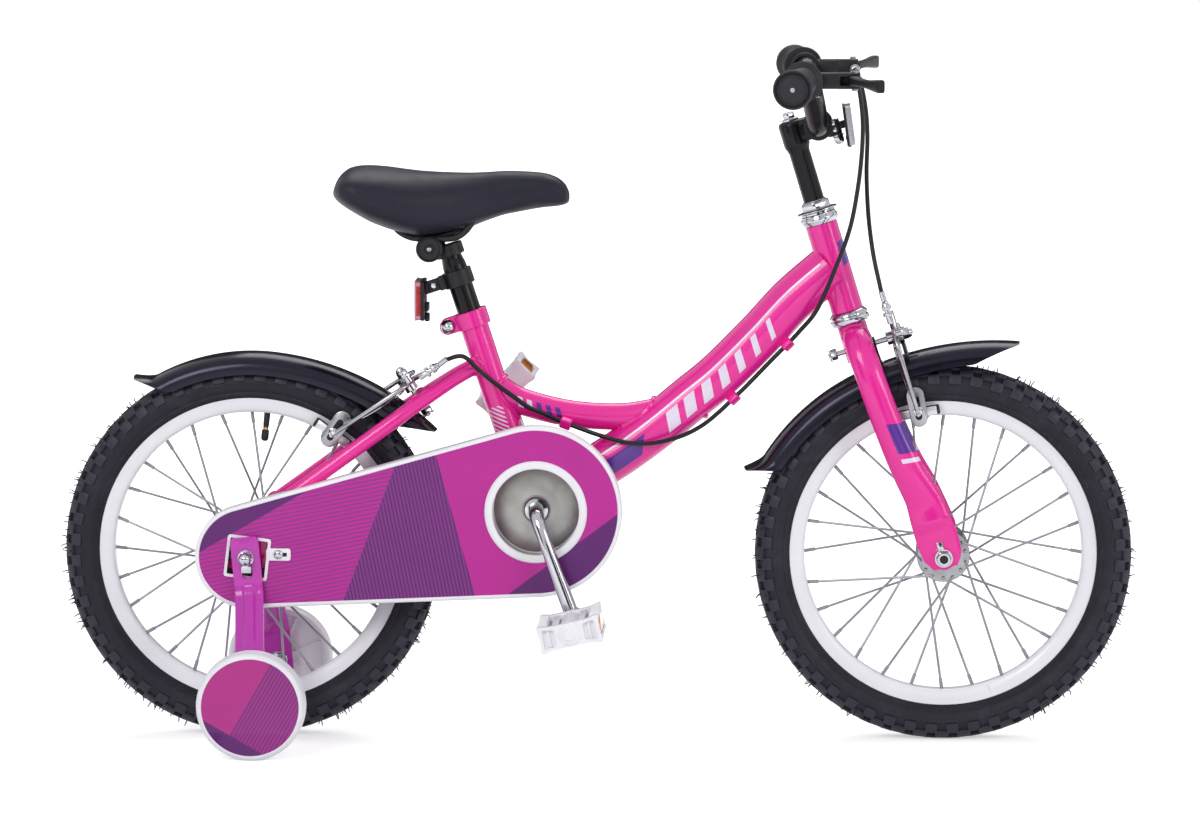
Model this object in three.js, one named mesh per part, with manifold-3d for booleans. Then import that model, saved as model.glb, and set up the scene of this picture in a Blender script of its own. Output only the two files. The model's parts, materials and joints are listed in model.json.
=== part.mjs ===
// A child's bicycle with 16 inch wheels, stabilisers, mudguards and two caliper brakes.
// Millimetres and degrees. +X is the way it rides, +Y its left side, +Z up.
// The origin is on the ground, midway between the wheels.

import * as THREE from 'three';
import { mergeVertices } from 'three/addons/utils/BufferGeometryUtils.js';
import Module from 'manifold-3d';

// Driving dimensions
const wheelbase = 736;
const treadRadius = 200;
const headAngle = 73;
const forkOffset = 23;
const seatAngle = 71.9;
const bracketX = -62;
const bracketZ = 249;
const slip = 0.3;
const overrun = 4;
const weld = 0.0001;
const lowShare = 0.98;

// How many flats a round has
const flats = {
  spoke: 3, wire: 5, stud: 6, small: 8, bar: 10, tube: 12, large: 14, disc: 20, ring: 28, rim: 32,
};

const wheel = {
  blocks: 16, blockDepth: 3.5, tyreWidth: 49.6, treadWidth: 21, shoulderRadius: 191,
  shoulderWidth: 44, bulgeRadius: 178, seatRadius: 161.4, seatWidth: 27,
};
const rim = { radius: 161, innerRadius: 147, width: 27.6, floorWidth: 16, waistRadius: 150.5 };
const spoke = { count: 28, crosses: 2, radius: 1.05, tipSide: 2.1, bend: 4 };
const axle = { radius: 4.75, nutRadius: 9.4, nutLength: 8, washerRadius: 11, washerThick: 1.6 };
const frontHub = {
  width: 92, flange: 29, flangeRadius: 26, flangeThick: 4.6, barrelRadius: 12, endRadius: 9, length: 130,
};
const rearHub = {
  width: 110, flange: 31, flangeRadius: 27, flangeThick: 4.6, barrelRadius: 15, endRadius: 10, length: 188,
};
const valve = {
  radius: 3.3, hole: 4.4, length: 33, capRadius: 4.1, capLength: 12, rearAngle: 83.57, frontAngle: 109.29,
};

// Swept tubes are given by where they start and end and by shares of that span: how far along,
// how far off the straight line in the side view, and how far across.
const headTube = { from: 276, to: 373, radius: 17, bore: 14.4, joinBack: -3, joinAt: 326 };
const downTube = {
  radius: 25, steps: 9,
  shares: [
    [0.1317, 0.0038, 0], [0.2592, 0.0216, 0], [0.408, 0.0365, 0], [0.5114, 0.037, 0],
    [0.6329, 0.0372, 0], [0.7508, 0.0306, 0], [0.8764, 0.0145, 0],
  ],
};
const topTube = {
  radius: 14.3, steps: 5, seatForward: -1.3, seatAt: 136.1, endForward: 4.8, endUp: 18,
  shares: [
    [0.1456, -0.0662, 0], [0.3073, -0.0932, 0], [0.4773, -0.102, 0], [0.6551, -0.0899, 0],
      [0.8298, -0.0586, 0],
  ],
};
const seatTube = { radius: 15, from: 8, top: 213, boreDepth: 120 };
const bracketShell = { radius: 28.5, width: 68, bore: 25.8 };
const seatStay = {
  radius: 8.2, steps: 6, foreForward: -6.2, foreAt: 159.8, foreSide: 7, endForward: 25, endUp: 48.4,
  shares: [
    [0.1103, -0.0119, 0.0166], [0.2636, -0.0148, 0.0455], [0.4065, -0.0129, 0.0561],
      [0.7309, -0.0061, 0.0275],
  ],
};
const chainStay = {
  radius: 9, endRadius: 7.2, flat: 0.85, steps: 3, foreBack: 16, foreDrop: 4, foreSide: 23,
    endForward: 27, endUp: 6.4,
  shares: [[0.1676, 0.0018, 0.003], [0.3351, 0.0035, 0.0135], [0.6543, 0.0018, 0.0028]],
};
const stay = { endSide: 57, endHalf: 6.2 };
const bridge = { radius: 7.5, forward: 179, up: 162.4, half: 35 };
const lowBridge = { radius: 6, forward: 228, up: 36.4, half: 33 };
const dropout = {
  gap: 110, thick: 4.6, slot: 5.9, back: 22, backTop: 8, backFoot: 13, neck: 14, neckTop: 54,
    foreTop: 32, fore: 40,
  foreFoot: 2, chin: 30, chinFoot: 12,
};
const guide = { radius: 8, bore: 4.4, tip: 5.6, holeHalf: 12, sides: 4, side: 9, lowSide: 18.4 };
const collar = {
  from: 199, to: 217, wall: 2.6, earReach: 14, earWidth: 17, earRoot: 2, slit: 2.4, boltRadius: 3.2,
    headRadius: 6.8,
  earShare: 0.86, boltShare: 0.55, shaftIn: 1, shaftOut: 4, nutLength: 5,
  dome: [[1, 0], [0.9, 0.48], [0.5, 0.87], [0, 1]], domeHeight: 6.2,
};

const headset = {
  lowerFrom: 262.3, lowerRadius: 20.8, lowerLip: 4, upperTo: 383.5, upperRadius: 19.6,
  nutFrom: 383.8, washerTop: 388, washerRadius: 21.4, nutTop: 397, nutRadius: 15.6,
};
const steerer = { radius: 12.7, top: 398.5, bore: 11.5, boreFrom: 300 };
const crown = { bladeSteps: 14, radius: 15.5, from: 222, to: 262, boltHeight: 235 };
const stem = {
  quill: 11.1, from: 318, headBelow: 15.7, headAbove: 12.3, headRadius: 13.8, reach: 27.3, height: 473.7,
  clampRadius: 15.8, clampWidth: 38, armFrom: 2, armTo: 1, armWidth: 24, armHeight: 20, earReach: 18,
    earHeight: 15, slit: 2.2,
  pinchRadius: 3, pinchHead: 5.6, pinchLength: 27, boltRadius: 6.6, boltHeight: 9,
};
const bar = {
  radius: 11.1, flat: 34, middle: 16, lift: 55.6, bendAt: 112, bendForward: 31, endForward: 17.7,
    endRise: 1,
  halfWidth: 253, steps: 19, riseShares: [0.126, 0.486, 0.881], reachShares: [0.205, 0.487, 0.795],
  outShares: [0.376, 0.695],
};
const grip = {
  length: 112, overhang: 7, radius: 14.6, flangeRadius: 21, flangeThick: 4, capRadius: 20.4, capThick: 9,
  ribs: 3, ribProud: 0.7, ribDeep: 0.9, ribEnd: 4,
};
const lever = {
  inset: 122, clampRadius: 15.4, clampWidth: 22, bodyFrom: 5.6, bodyTo: 56, bodyHeight: 15, bodyWidth: 22,
  pivotForward: 52, bladeHeight: 11, bladeBevel: 1.2, slotIn: 2.1, slotWidth: 37.8, slotOut: 25.9,
    barFit: 0.35,
  barrelRadius: 4.4, barrelLength: 14, barrelForward: 54, barrelDrop: 2, barrelRoot: 2, holeDepth: 8,
  hookForward: 57, hookLength: 14, hookWidth: 6,
};
// The blade in plan for the right side: forward of the bar, and out from the bracket's middle.
const bladeOutline = [
  [45.5, 0], [59.5, 1], [59.5, 18], [65.5, 44], [74.3, 78], [80.8, 108], [75.8, 112], [70, 104], [61.5, 72],
  [50.5, 40], [45.5, 16],
];
const frontReflector = {
  width: 52, height: 43, thick: 9, forward: 58.5, drop: 7.7, tilt: 9, side: 27, ring: 15, ringWidth: 10,
    lensIn: 5,
  armDrop: 5, armHeight: 8,
};

const caliper = {
  padRadius: 153.6, armRadius: 5.2, armThick: 5, spread: 38, boltRadius: 3, nutRadius: 6.6, nutLength: 7,
  bossRadius: 10, padLength: 46, padHeight: 10, padThick: 8, padGap: 2.6, postOut: 10,
  rearForward: 166.5, rearUp: 178.43, rearBack: 42, frontForward: 41, frontBack: 74,
  cableOut: 46, anchorRise: 8, sides: 6, steps: 6, barrelRise: 31, barrelRadius: 4, barrelLength: 24,
    padHub: 7,
};
const cable = { radius: 2.4, rearSteps: 40, frontSteps: 19, lead: 10.3, frontLead: 12.3, startLead: 12 };
// Each run of housing hangs between two held places, by shares as the swept tubes do.
const cableShares = {
  bar: [
    [0.0065, 0.0044, 0.0361], [0.0615, 0.0293, 0.0537], [0.1488, 0.0586, 0.0583], [0.2622, 0.0824, 0.0599],
    [0.388, 0.0991, 0.0577], [0.5196, 0.1071, 0.0408], [0.6488, 0.0978, 0.0181], [0.8392, 0.0695, -0.0166],
    [0.941, 0.0302, 0.008],
  ],
  down: [[0.2264, 0.0006, 0.0049], [0.7789, 0.0063, 0.0049]],
  under: [
    [0.095, 0.0664, -0.0117], [0.2057, 0.1289, -0.0338], [0.334, 0.169, -0.066], [0.4969, 0.1843, -0.0881],
    [0.6509, 0.1581, -0.0857], [0.8147, 0.0922, -0.0548], [0.9556, 0.0235, -0.0073],
  ],
  seat: [
    [0.062, 0.0106, 0.0179], [0.1785, 0.0197, 0.0352], [0.2999, 0.0316, 0.0492], [0.4713, 0.012, 0.0748],
    [0.6081, -0.0031, 0.1007], [0.7517, -0.0301, 0.1039], [0.9038, -0.0721, 0.0504],
  ],
  front: [
    [0.0119, 0.0057, -0.0369], [0.0864, 0.0187, -0.0407], [0.1901, 0.0235, -0.0506],
      [0.3057, 0.017, -0.069],
    [0.4729, -0.0038, -0.0738], [0.6593, -0.0153, -0.0755], [0.8298, -0.0139, -0.0489],
      [0.9748, -0.0024, -0.0027],
  ],
};

const mudguard = {
  halfWidth: 29.5, depth: 22, wall: 1.8, clearance: 10, steps: 12, lip: 11, lipShare: 0.1,
  bracket: 14, tab: 2.4,
};
const frontGuardSweep = { from: 70.5, to: 157, frontLift: 27, turn: 118, rearLift: 6 };
const rearGuardSweep = { from: 33, to: 124, frontLift: 24, turn: 84, rearLift: 0 };

const chain = {
  pitch: 12.7, side: -44.2, rollerRadius: 3.8, rollerSides: 3, plateHalf: 4.1, plateThick: 1.1, inside: 4,
};
const ring = { teeth: 32, thick: 2.4, toothHeight: 3.2, rootDepth: 4.4, rootHalf: 2.4 };
const cog = { teeth: 18, bodyRadius: 21, bodyFrom: -49, bodyTo: -37 };
const crank = {
  length: 118, angle: 20.4, radius: 8.4, bossRadius: 12.5, bossWidth: 19, near: 94, far: 84, elbow: 18,
  nearElbow: 60, farElbow: 50, steps: 16, nutRadius: 15, nutThick: 6, spindle: 6.2, spindleLength: 98,
};
const pedal = {
  length: 66, width: 90, height: 25, barrelRadius: 12, windowLength: 15, windowWidth: 58, gap: 3,
  nearTilt: 13, farTilt: 46, endHeight: 29, endLength: 11,
};
const guard = {
  bigRadius: 91, smallRadius: 55, face: -70, wall: 2.2, depth: 17, bevel: 2.4, hole: 45.7,
    ringRadius: 54, ringProud: 2,
  windowLength: 40, windowHeight: 39, windowTurn: 7, stayGap: 2.5, screwRadius: 5, tabLength: 26,
    tabHeight: 13,
  tabReach: 34, frame: 4.5,
};
const stabiliser = {
  radius: 57, width: 30, inner: 146, wall: 3.6, rimWall: 7, hubRadius: 11, pin: 5, armWidth: 30,
    armThick: 4,
  armTop: 22, bendAt: 38, footTop: 108, footEnd: 158, footSide: 141, topSide: 75.5, bossRadius: 12,
    bossFrom: 59.9, lean: 5.3, drop: 143.4,
  rib: 9, ribProud: 3, slotDrop: 16, bore: 5.6, headRadius: 9, headThick: 6, pinLength: 17,
};

const post = { radius: 12.7, from: 112, shoulder: 272, neck: 11.1, neckFrom: 279, to: 297 };
const clamp = {
  radius: 16, from: 284, to: 298, barrelBack: 17.7, barrelAt: 293.8, barrelRadius: 8.4,
  halfWidth: 16.4,
};
const rail = {
  sides: 5, steps: 8, radius: 3.5, side: 22, eyeRadius: 14, eyeThick: 12,
  // forward of the eye, share of the side, above the saddle's base
  places: [
    [80.6, 0.545, 21], [56.6, 0.68, 14], [36.6, 0.9, 7], [16.6, 1, 3.5], [0, 1, 3], [-19.4, 1, 3.5],
    [-37.4, 1, 10], [-47.4, 1, 18],
  ],
};
const saddle = {
  ahead: 147.6, behind: 101.9, overEye: 8.24, halfWidth: 77, height: 78, sides: 18, tuck: 0.12,
};
const pan = {
  above: 17, thick: 5, tail: -61.4,
  half: [[90.6, 12], [66.6, 14], [26.6, 24], [-19.4, 42], [-49.4, 46], [-59.4, 30]],
};
const rearReflector = {
  at: 254, ringRadius: 16, ringWidth: 17, armLength: 34, armHeight: 13, armWidth: 12, height: 43,
    width: 50, thick: 13, drop: 9,
};

const finishes = {
  pink: [0xe93aa6, 0.25, 0.1], magenta: [0xb638a6, 0.3, 0.1], guard: [0xc0329b, 0.35, 0],
  white: [0xe3e1ee, 0.4, 0], black: [0x2a2830, 0.4, 0], rubber: [0x1c1b20, 0.8, 0],
  softBlack: [0x2c2b35, 0.65, 0], chrome: [0xc9c9cc, 0.15, 1], steel: [0x9d9d9a, 0.35, 0.9],
  clear: [0xd8d8dc, 0.2, 0], red: [0xb01820, 0.25, 0],
};

const radians = THREE.MathUtils.degToRad;
const point = (x, y, z) => new THREE.Vector3(x, y, z);
const acrossAxis = point(0, 1, 0);
const boltAxis = point(1, 0, 0);
const upAxis = point(0, 0, 1);

const tyreSegments = 3 * wheel.blocks;
const axleHeight = treadRadius * Math.cos(Math.PI / tyreSegments);
const rearAxle = point(-wheelbase / 2, 0, axleHeight);
const frontAxle = point(wheelbase / 2, 0, axleHeight);

// The steering frame: local z runs up the steering axis, local x points forward across it,
// and its origin is the foot of the front axle on that axis.
const steerTilt = radians(headAngle - 90);
const steerTurn = new THREE.Quaternion().setFromAxisAngle(acrossAxis, steerTilt);
const steerBase = frontAxle.clone().sub(point(forkOffset, 0, 0).applyQuaternion(steerTurn));
const steerFrame = new THREE.Matrix4().compose(steerBase, steerTurn, point(1, 1, 1));
const steered = (x, y, z) => point(x, y, z).applyMatrix4(steerFrame);

// The seat frame: local z runs up the seat tube from the height of the crank.
const seatOffset = -6.5;
const seatTurn = new THREE.Quaternion().setFromAxisAngle(acrossAxis, radians(seatAngle - 90));
const seatFrame = new THREE.Matrix4().compose(point(bracketX + seatOffset, 0, bracketZ), seatTurn,
  point(1, 1, 1));
const seated = (x, y, z) => point(x, y, z).applyMatrix4(seatFrame);

// Closed solids from geometry, and back

function solid(geometry) {
  const plain = geometry.index ? geometry.toNonIndexed() : geometry.clone();
  for (const name of Object.keys(plain.attributes)) {
    if (name !== 'position') plain.deleteAttribute(name);
  }
  const merged = mergeVertices(plain, weld);
  const index = merged.index.array;
  const places = merged.attributes.position;
  const corners = [0, 1, 2].map(() => point(0, 0, 0));
  const triangles = [];
  let volume = 0;
  for (let i = 0; i < index.length; i += 3) {
    const [a, b, c] = [index[i], index[i + 1], index[i + 2]];
    if (a === b || b === c || c === a) continue;
    triangles.push([a, b, c]);
    [a, b, c].forEach((vertex, k) => corners[k].fromBufferAttribute(places, vertex));
    volume += corners[0].dot(corners[1].clone().cross(corners[2]));
  }
  const turned = volume < 0 ? triangles.map(([a, b, c]) => [a, c, b]) : triangles;
  return new wasm.Manifold(new wasm.Mesh({
    numProp: 3,
    vertProperties: Float32Array.from(places.array),
    triVerts: Uint32Array.from(turned.flat()),
  }));
}

const isSolid = (shape) => typeof shape.getMesh === 'function';
const asSolid = (shape) => (isSolid(shape) ? shape : solid(shape));

function join(...shapes) {
  return shapes.flat().map(asSolid).reduce((whole, next) => whole.add(next));
}

function cut(shape, ...tools) {
  return tools.flat().map(asSolid).reduce((whole, next) => whole.subtract(next), asSolid(shape));
}

function geometryOf(body) {
  const mesh = body.getMesh();
  const geometry = new THREE.BufferGeometry();
  geometry.setAttribute('position', new THREE.BufferAttribute(Float32Array.from(mesh.vertProperties), 3));
  geometry.setIndex(new THREE.BufferAttribute(Uint32Array.from(mesh.triVerts), 1));
  geometry.computeVertexNormals();
  return geometry;
}

const wasm = await Module();
wasm.setup();

// Basic forms

// The radius of a bore whose flats just clear a shaft of the given radius.
const boreFor = (radius, sides) => (radius + slip) / Math.cos(Math.PI / sides);

function rod(from, to, radius, sides = flats.bar, endRadius = radius) {
  const run = to.clone().sub(from);
  const geometry = new THREE.CylinderGeometry(endRadius, radius, run.length(), sides);
  geometry.applyQuaternion(new THREE.Quaternion().setFromUnitVectors(acrossAxis, run.clone().normalize()));
  const middle = from.clone().add(to).multiplyScalar(0.5);
  return geometry.translate(middle.x, middle.y, middle.z);
}

const acrossRod = (x, z, from, to, radius, sides) => rod(point(x, from, z), point(x, to, z), radius, sides);

// A turned piece: profile points are [radius, height] along the axis from the origin point.
function turned(profile, origin, axis, sides, closed = true) {
  const points = profile.map(([radius, height]) => new THREE.Vector2(radius, height));
  if (closed) points.push(points[0].clone());
  const geometry = new THREE.LatheGeometry(points, sides);
  geometry.applyQuaternion(new THREE.Quaternion().setFromUnitVectors(acrossAxis, axis.clone().normalize()));
  return geometry.translate(origin.x, origin.y, origin.z);
}

function shapeOf(points) {
  return new THREE.Shape(points.map(([x, y]) => new THREE.Vector2(x, y)));
}

// A plate whose outline lies in the X, Z plane, between two places across the bicycle.
function sidePlate(shape, from, to, bevel = 0) {
  const geometry = new THREE.ExtrudeGeometry(shape, {
    depth: to - from - 2 * bevel, steps: 1, curveSegments: flats.bar, bevelEnabled: bevel > 0,
    bevelThickness: bevel, bevelSize: bevel, bevelOffset: -bevel, bevelSegments: 1,
  });
  geometry.rotateX(Math.PI / 2);
  return geometry.translate(0, to - bevel, 0);
}

// A plate whose outline lies in the Y, Z plane, between two places along the bicycle.
function frontPlate(shape, from, to) {
  const geometry = new THREE.ExtrudeGeometry(shape, { depth: to - from, steps: 1, curveSegments: 6,
    bevelEnabled: false });
  geometry.applyMatrix4(new THREE.Matrix4().set(0, 0, 1, from, 1, 0, 0, 0, 0, 1, 0, 0, 0, 0, 0, 1));
  return geometry;
}

function block(x, y, z, length, width, height) {
  return new THREE.BoxGeometry(length, width, height).translate(x, y, z);
}

// A tube along a curve. sizeAt gives the half size along the reference direction and across it.
function tube(curve, sizeAt, sides, steps, reference = acrossAxis) {
  const geometry = new THREE.CylinderGeometry(1, 1, 1, sides, steps);
  const places = geometry.attributes.position;
  const size = typeof sizeAt === 'number' ? () => [sizeAt, sizeAt] : sizeAt;
  for (let i = 0; i < places.count; i += 1) {
    const share = THREE.MathUtils.clamp(places.getY(i) + 0.5, 0, 1);
    const [along, across] = size(share);
    const tangent = curve.getTangent(share).normalize();
    const side = reference.clone().addScaledVector(tangent, -reference.dot(tangent)).normalize();
    const other = side.clone().cross(tangent);
    const place = curve.getPoint(share);
    place.addScaledVector(side, places.getX(i) * along).addScaledVector(other, places.getZ(i) * across);
    places.setXYZ(i, place.x, place.y, place.z);
  }
  return geometry;
}

const smooth = (points) => new THREE.CatmullRomCurve3(points, false, 'catmullrom', 0.5);

// Places between two others, by shares of the span from one to the other.
function swept(from, to, shares) {
  const run = to.clone().sub(from);
  const span = run.length();
  const off = point(-run.z, 0, run.x).normalize();
  return shares.map(([along, rise, side]) => from.clone().addScaledVector(run, along)
    .addScaledVector(off, rise * span).addScaledVector(acrossAxis, side * span));
}

function between(table, share) {
  const last = table.length - 1;
  const place = THREE.MathUtils.clamp(share * last, 0, last);
  const step = Math.min(Math.floor(place), last - 1);
  return table[step].map((value, k) => THREE.MathUtils.lerp(value, table[step + 1][k], place - step));
}

function mirrored(geometry) {
  return geometry.clone().applyMatrix4(new THREE.Matrix4().makeScale(1, -1, 1));
}

const moved = (geometry, frame) => geometry.clone().applyMatrix4(frame);
const onSide = (geometry, side) => (side < 0 ? geometry : mirrored(geometry));

function hexagon(radius) {
  return shapeOf([0, 1, 2, 3, 4, 5].map((corner) => {
    const angle = corner * Math.PI / 3;
    return [radius * Math.cos(angle), radius * Math.sin(angle)];
  }));
}

// The assembly and its nested groups

const bicycle = new THREE.Group();
const steeringGroup = new THREE.Group();
steeringGroup.position.copy(steerBase);
steeringGroup.quaternion.copy(steerTurn);
const seatGroup = new THREE.Group();
seatGroup.position.copy(seated(0, 0, 0));
seatGroup.quaternion.copy(seatTurn);
const headGroup = new THREE.Group();
headGroup.position.copy(steerBase);
headGroup.quaternion.copy(steerTurn);
bicycle.add(steeringGroup, headGroup, seatGroup);

function add(name, shape, finish, group = bicycle) {
  const [color, roughness, metalness] = finishes[finish];
  const mesh = new THREE.Mesh(geometryOf(asSolid(shape)),
    new THREE.MeshStandardMaterial({ color, roughness, metalness }));
  mesh.name = name;
  group.add(mesh);
  return mesh;
}

// Wheels

function makeTyre() {
  const half = [
    [wheel.seatRadius / Math.cos(Math.PI / tyreSegments), wheel.seatWidth / 2],
    [wheel.bulgeRadius, wheel.tyreWidth / 2], [wheel.shoulderRadius, wheel.shoulderWidth / 2],
    [treadRadius, wheel.treadWidth / 2],
  ];
  const profile = [...half, ...half.map(([radius, side]) => [radius, -side]).reverse()];
  const geometry = turned(profile, point(0, 0, 0), acrossAxis, tyreSegments);
  const places = geometry.attributes.position;
  const ringPoints = profile.length + 1;
  for (let i = 0; i < places.count; i += 1) {
    const row = i % ringPoints;
    const station = Math.floor(i / ringPoints) % tyreSegments;
    const centre = row === 3 || row === 4;
    const shoulder = row === 2 || row === 5;
    const low = (centre && station % 3 === 2) || (shoulder && station % 3 === 0);
    if (!low) continue;
    const radius = Math.hypot(places.getX(i), places.getZ(i));
    const shrink = (radius - wheel.blockDepth) / radius;
    places.setXYZ(i, places.getX(i) * shrink, places.getY(i), places.getZ(i) * shrink);
  }
  return geometry.rotateY(-Math.PI / tyreSegments);
}

function makeRim(valveAngle) {
  const half = [[rim.innerRadius, rim.floorWidth / 2], [rim.waistRadius, rim.width / 2],
    [rim.radius, rim.width / 2]];
  const profile = [...half, ...half.map(([radius, place]) => [radius, -place]).reverse()];
  const hoop = turned(profile, point(0, 0, 0), acrossAxis, flats.rim);
  const out = point(Math.cos(radians(valveAngle)), 0, Math.sin(radians(valveAngle)));
  const inside = out.clone().multiplyScalar(rim.innerRadius - overrun);
  const outside = out.clone().multiplyScalar(rim.radius + overrun);
  return cut(hoop, rod(inside, outside, valve.hole, flats.small));
}

function makeHub(hub, valveAngle) {
  const end = hub.width / 2 - slip;
  const face = hub.flange + hub.flangeThick / 2;
  const back = hub.flange - hub.flangeThick / 2;
  const bore = boreFor(axle.radius, flats.small);
  const half = [
    [bore, end], [hub.endRadius, end], [hub.endRadius, face],
    [hub.flangeRadius, face], [hub.flangeRadius, back], [hub.barrelRadius, back - hub.flangeThick],
  ];
  const profile = [...half, ...half.map(([radius, side]) => [radius, -side]).reverse()];
  const shapes = [turned(profile, point(0, 0, 0), acrossAxis, flats.tube)];
  const perSide = spoke.count / 2;
  const step = 2 * Math.PI / perSide;
  const tip = rim.innerRadius * Math.cos(Math.PI / flats.rim) - slip - spoke.radius / 4;
  const hole = hub.flangeRadius - spoke.bend;
  for (let i = 0; i < spoke.count; i += 1) {
    const side = i % 2 === 0 ? -1 : 1;
    const lean = Math.floor(i / 2) % 2 === 0 ? 1 : -1;
    const rimTurn = radians(valveAngle) + (2 * i + 1) * Math.PI / spoke.count;
    const hubTurn = rimTurn + lean * spoke.crosses * step;
    const layer = lean * spoke.radius;
    const start = point(hole * Math.cos(hubTurn), side * (hub.flange + layer), hole * Math.sin(hubTurn));
    const finish = point(tip * Math.cos(rimTurn), side * (spoke.tipSide + layer), tip * Math.sin(rimTurn));
    shapes.push(rod(start, finish, spoke.radius, flats.spoke));
  }
  return join(shapes);
}

function makeValve(angle) {
  const out = point(Math.cos(radians(angle)), 0, Math.sin(radians(angle)));
  const top = wheel.seatRadius - slip;
  const tip = rim.innerRadius - valve.length;
  const at = (radius) => out.clone().multiplyScalar(radius);
  return join(
    rod(at(tip + valve.capLength / 2), at(top), valve.radius, flats.stud),
    rod(at(tip), at(tip + valve.capLength), valve.capRadius, flats.stud),
  );
}

function addWheel(name, hub, centre, valveAngle, group) {
  const holder = new THREE.Group();
  holder.position.copy(centre);
  holder.quaternion.copy(group.quaternion).invert();
  group.add(holder);
  add(`${name}_tyre`, makeTyre(), 'rubber', holder);
  add(`${name}_rim`, makeRim(valveAngle), 'white', holder);
  add(`${name}_hub_and_spokes`, makeHub(hub, valveAngle), 'chrome', holder);
  add(`${name}_valve`, makeValve(valveAngle), 'rubber', holder);
}

function makeAxle(hub, outer) {
  return rod(point(0, -outer, 0), point(0, outer, 0), axle.radius, flats.small);
}

// An axle nut with its washer, turned up against a face at the given distance from the middle.
function makeAxleNut(face, side) {
  const bore = boreFor(axle.radius, flats.small);
  const washer = acrossRod(0, 0, 0, axle.washerThick, axle.washerRadius, flats.small);
  const nut = new THREE.ExtrudeGeometry(hexagon(axle.nutRadius),
    { depth: axle.nutLength, bevelEnabled: false });
  nut.rotateX(-Math.PI / 2).translate(0, axle.washerThick, 0);
  const hole = rod(point(0, -overrun, 0), point(0, axle.nutLength + overrun, 0), bore, flats.small);
  const whole = geometryOf(cut(join(washer, nut), hole));
  whole.translate(0, face + slip, 0);
  return side < 0 ? mirrored(whole) : whole;
}

addWheel('front', frontHub, point(forkOffset, 0, 0), valve.frontAngle, steeringGroup);
addWheel('rear', rearHub, rearAxle, valve.rearAngle, bicycle);

// Frame

const headJoin = steered(headTube.joinBack, 0, headTube.joinAt);
const bracketAt = point(bracketX, 0, bracketZ);
const downRoute = [headJoin, ...swept(headJoin, bracketAt, downTube.shares), bracketAt];
const topFrom = seated(topTube.seatForward, 0, topTube.seatAt);
const topTo = downRoute[5].clone().add(point(topTube.endForward, 0, topTube.endUp));
const topRoute = [topFrom, ...swept(topFrom, topTo, topTube.shares), topTo];
const fromRearAxle = (forward, side, up) => rearAxle.clone().add(point(forward, side, up));

function seatStayCurve(side) {
  const from = seated(seatStay.foreForward, seatStay.foreSide, seatStay.foreAt);
  const to = fromRearAxle(seatStay.endForward, stay.endSide, seatStay.endUp);
  const route = [from, ...swept(from, to, seatStay.shares), to];
  return smooth(route.map((place) => point(place.x, side * place.y, place.z)));
}

function chainStayCurve(side) {
  const from = bracketAt.clone().add(point(-chainStay.foreBack, chainStay.foreSide, -chainStay.foreDrop));
  const to = fromRearAxle(chainStay.endForward, stay.endSide, chainStay.endUp);
  const route = [from, ...swept(from, to, chainStay.shares), to];
  return smooth(route.map((place) => point(place.x, side * place.y, place.z)));
}

function makeDropout(side) {
  const x = rearAxle.x;
  const z = rearAxle.z;
  const shape = shapeOf([
    [x - dropout.back, z + dropout.backTop], [x + dropout.neck, z + dropout.neckTop],
      [x + dropout.foreTop, z + dropout.neckTop],
    [x + dropout.fore, z + dropout.foreFoot], [x + dropout.chin, z - dropout.chinFoot],
      [x - dropout.back, z - dropout.backFoot],
  ]);
  const inner = dropout.gap / 2;
  const plate = sidePlate(shape, inner, inner + dropout.thick);
  const slotEnd = acrossRod(x, z, inner - overrun, inner + dropout.thick + overrun, dropout.slot,
    flats.stud);
  const run = 2 * overrun + dropout.back;
  const slotWidth = 2 * dropout.slot * lowShare;
  const slot = block(x - run / 2, inner + dropout.thick / 2, z, run, dropout.thick + 2 * overrun,
    slotWidth);
  return geometryOf(cut(plate, join(slotEnd, slot))).scale(1, side, 1);
}

// A cable guide: a square lug that stands on a tube, drilled along the cable.
function makeGuide(place, along, reach) {
  const half = along.clone().normalize().multiplyScalar(guide.holeHalf);
  const tip = place.clone().addScaledVector(reach.clone().normalize(), -guide.tip);
  return {
    body: rod(tip, place.clone().add(reach), guide.radius, guide.sides),
    hole: rod(place.clone().sub(half), place.clone().add(half), guide.bore, flats.stud),
  };
}

// Two guides hang under the down tube and one beside the top tube.
const guidePlaces = [
  { place: downRoute[1].clone().add(point(-6.2, -guide.side, -47.5)), along: point(1, 0, 1),
    reach: point(-8, 8, 8) },
  { place: downRoute[3].clone().add(point(14.4, -guide.side, -24.7)), along: point(1, 0, 0.95),
    reach: point(-8, 8, 8) },
  { place: topRoute[3].clone().add(point(-2.3, -guide.lowSide, -8.5)), along: point(-1, 0.1, 0.35),
    reach: point(-1, 9, 5) },
];

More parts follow.
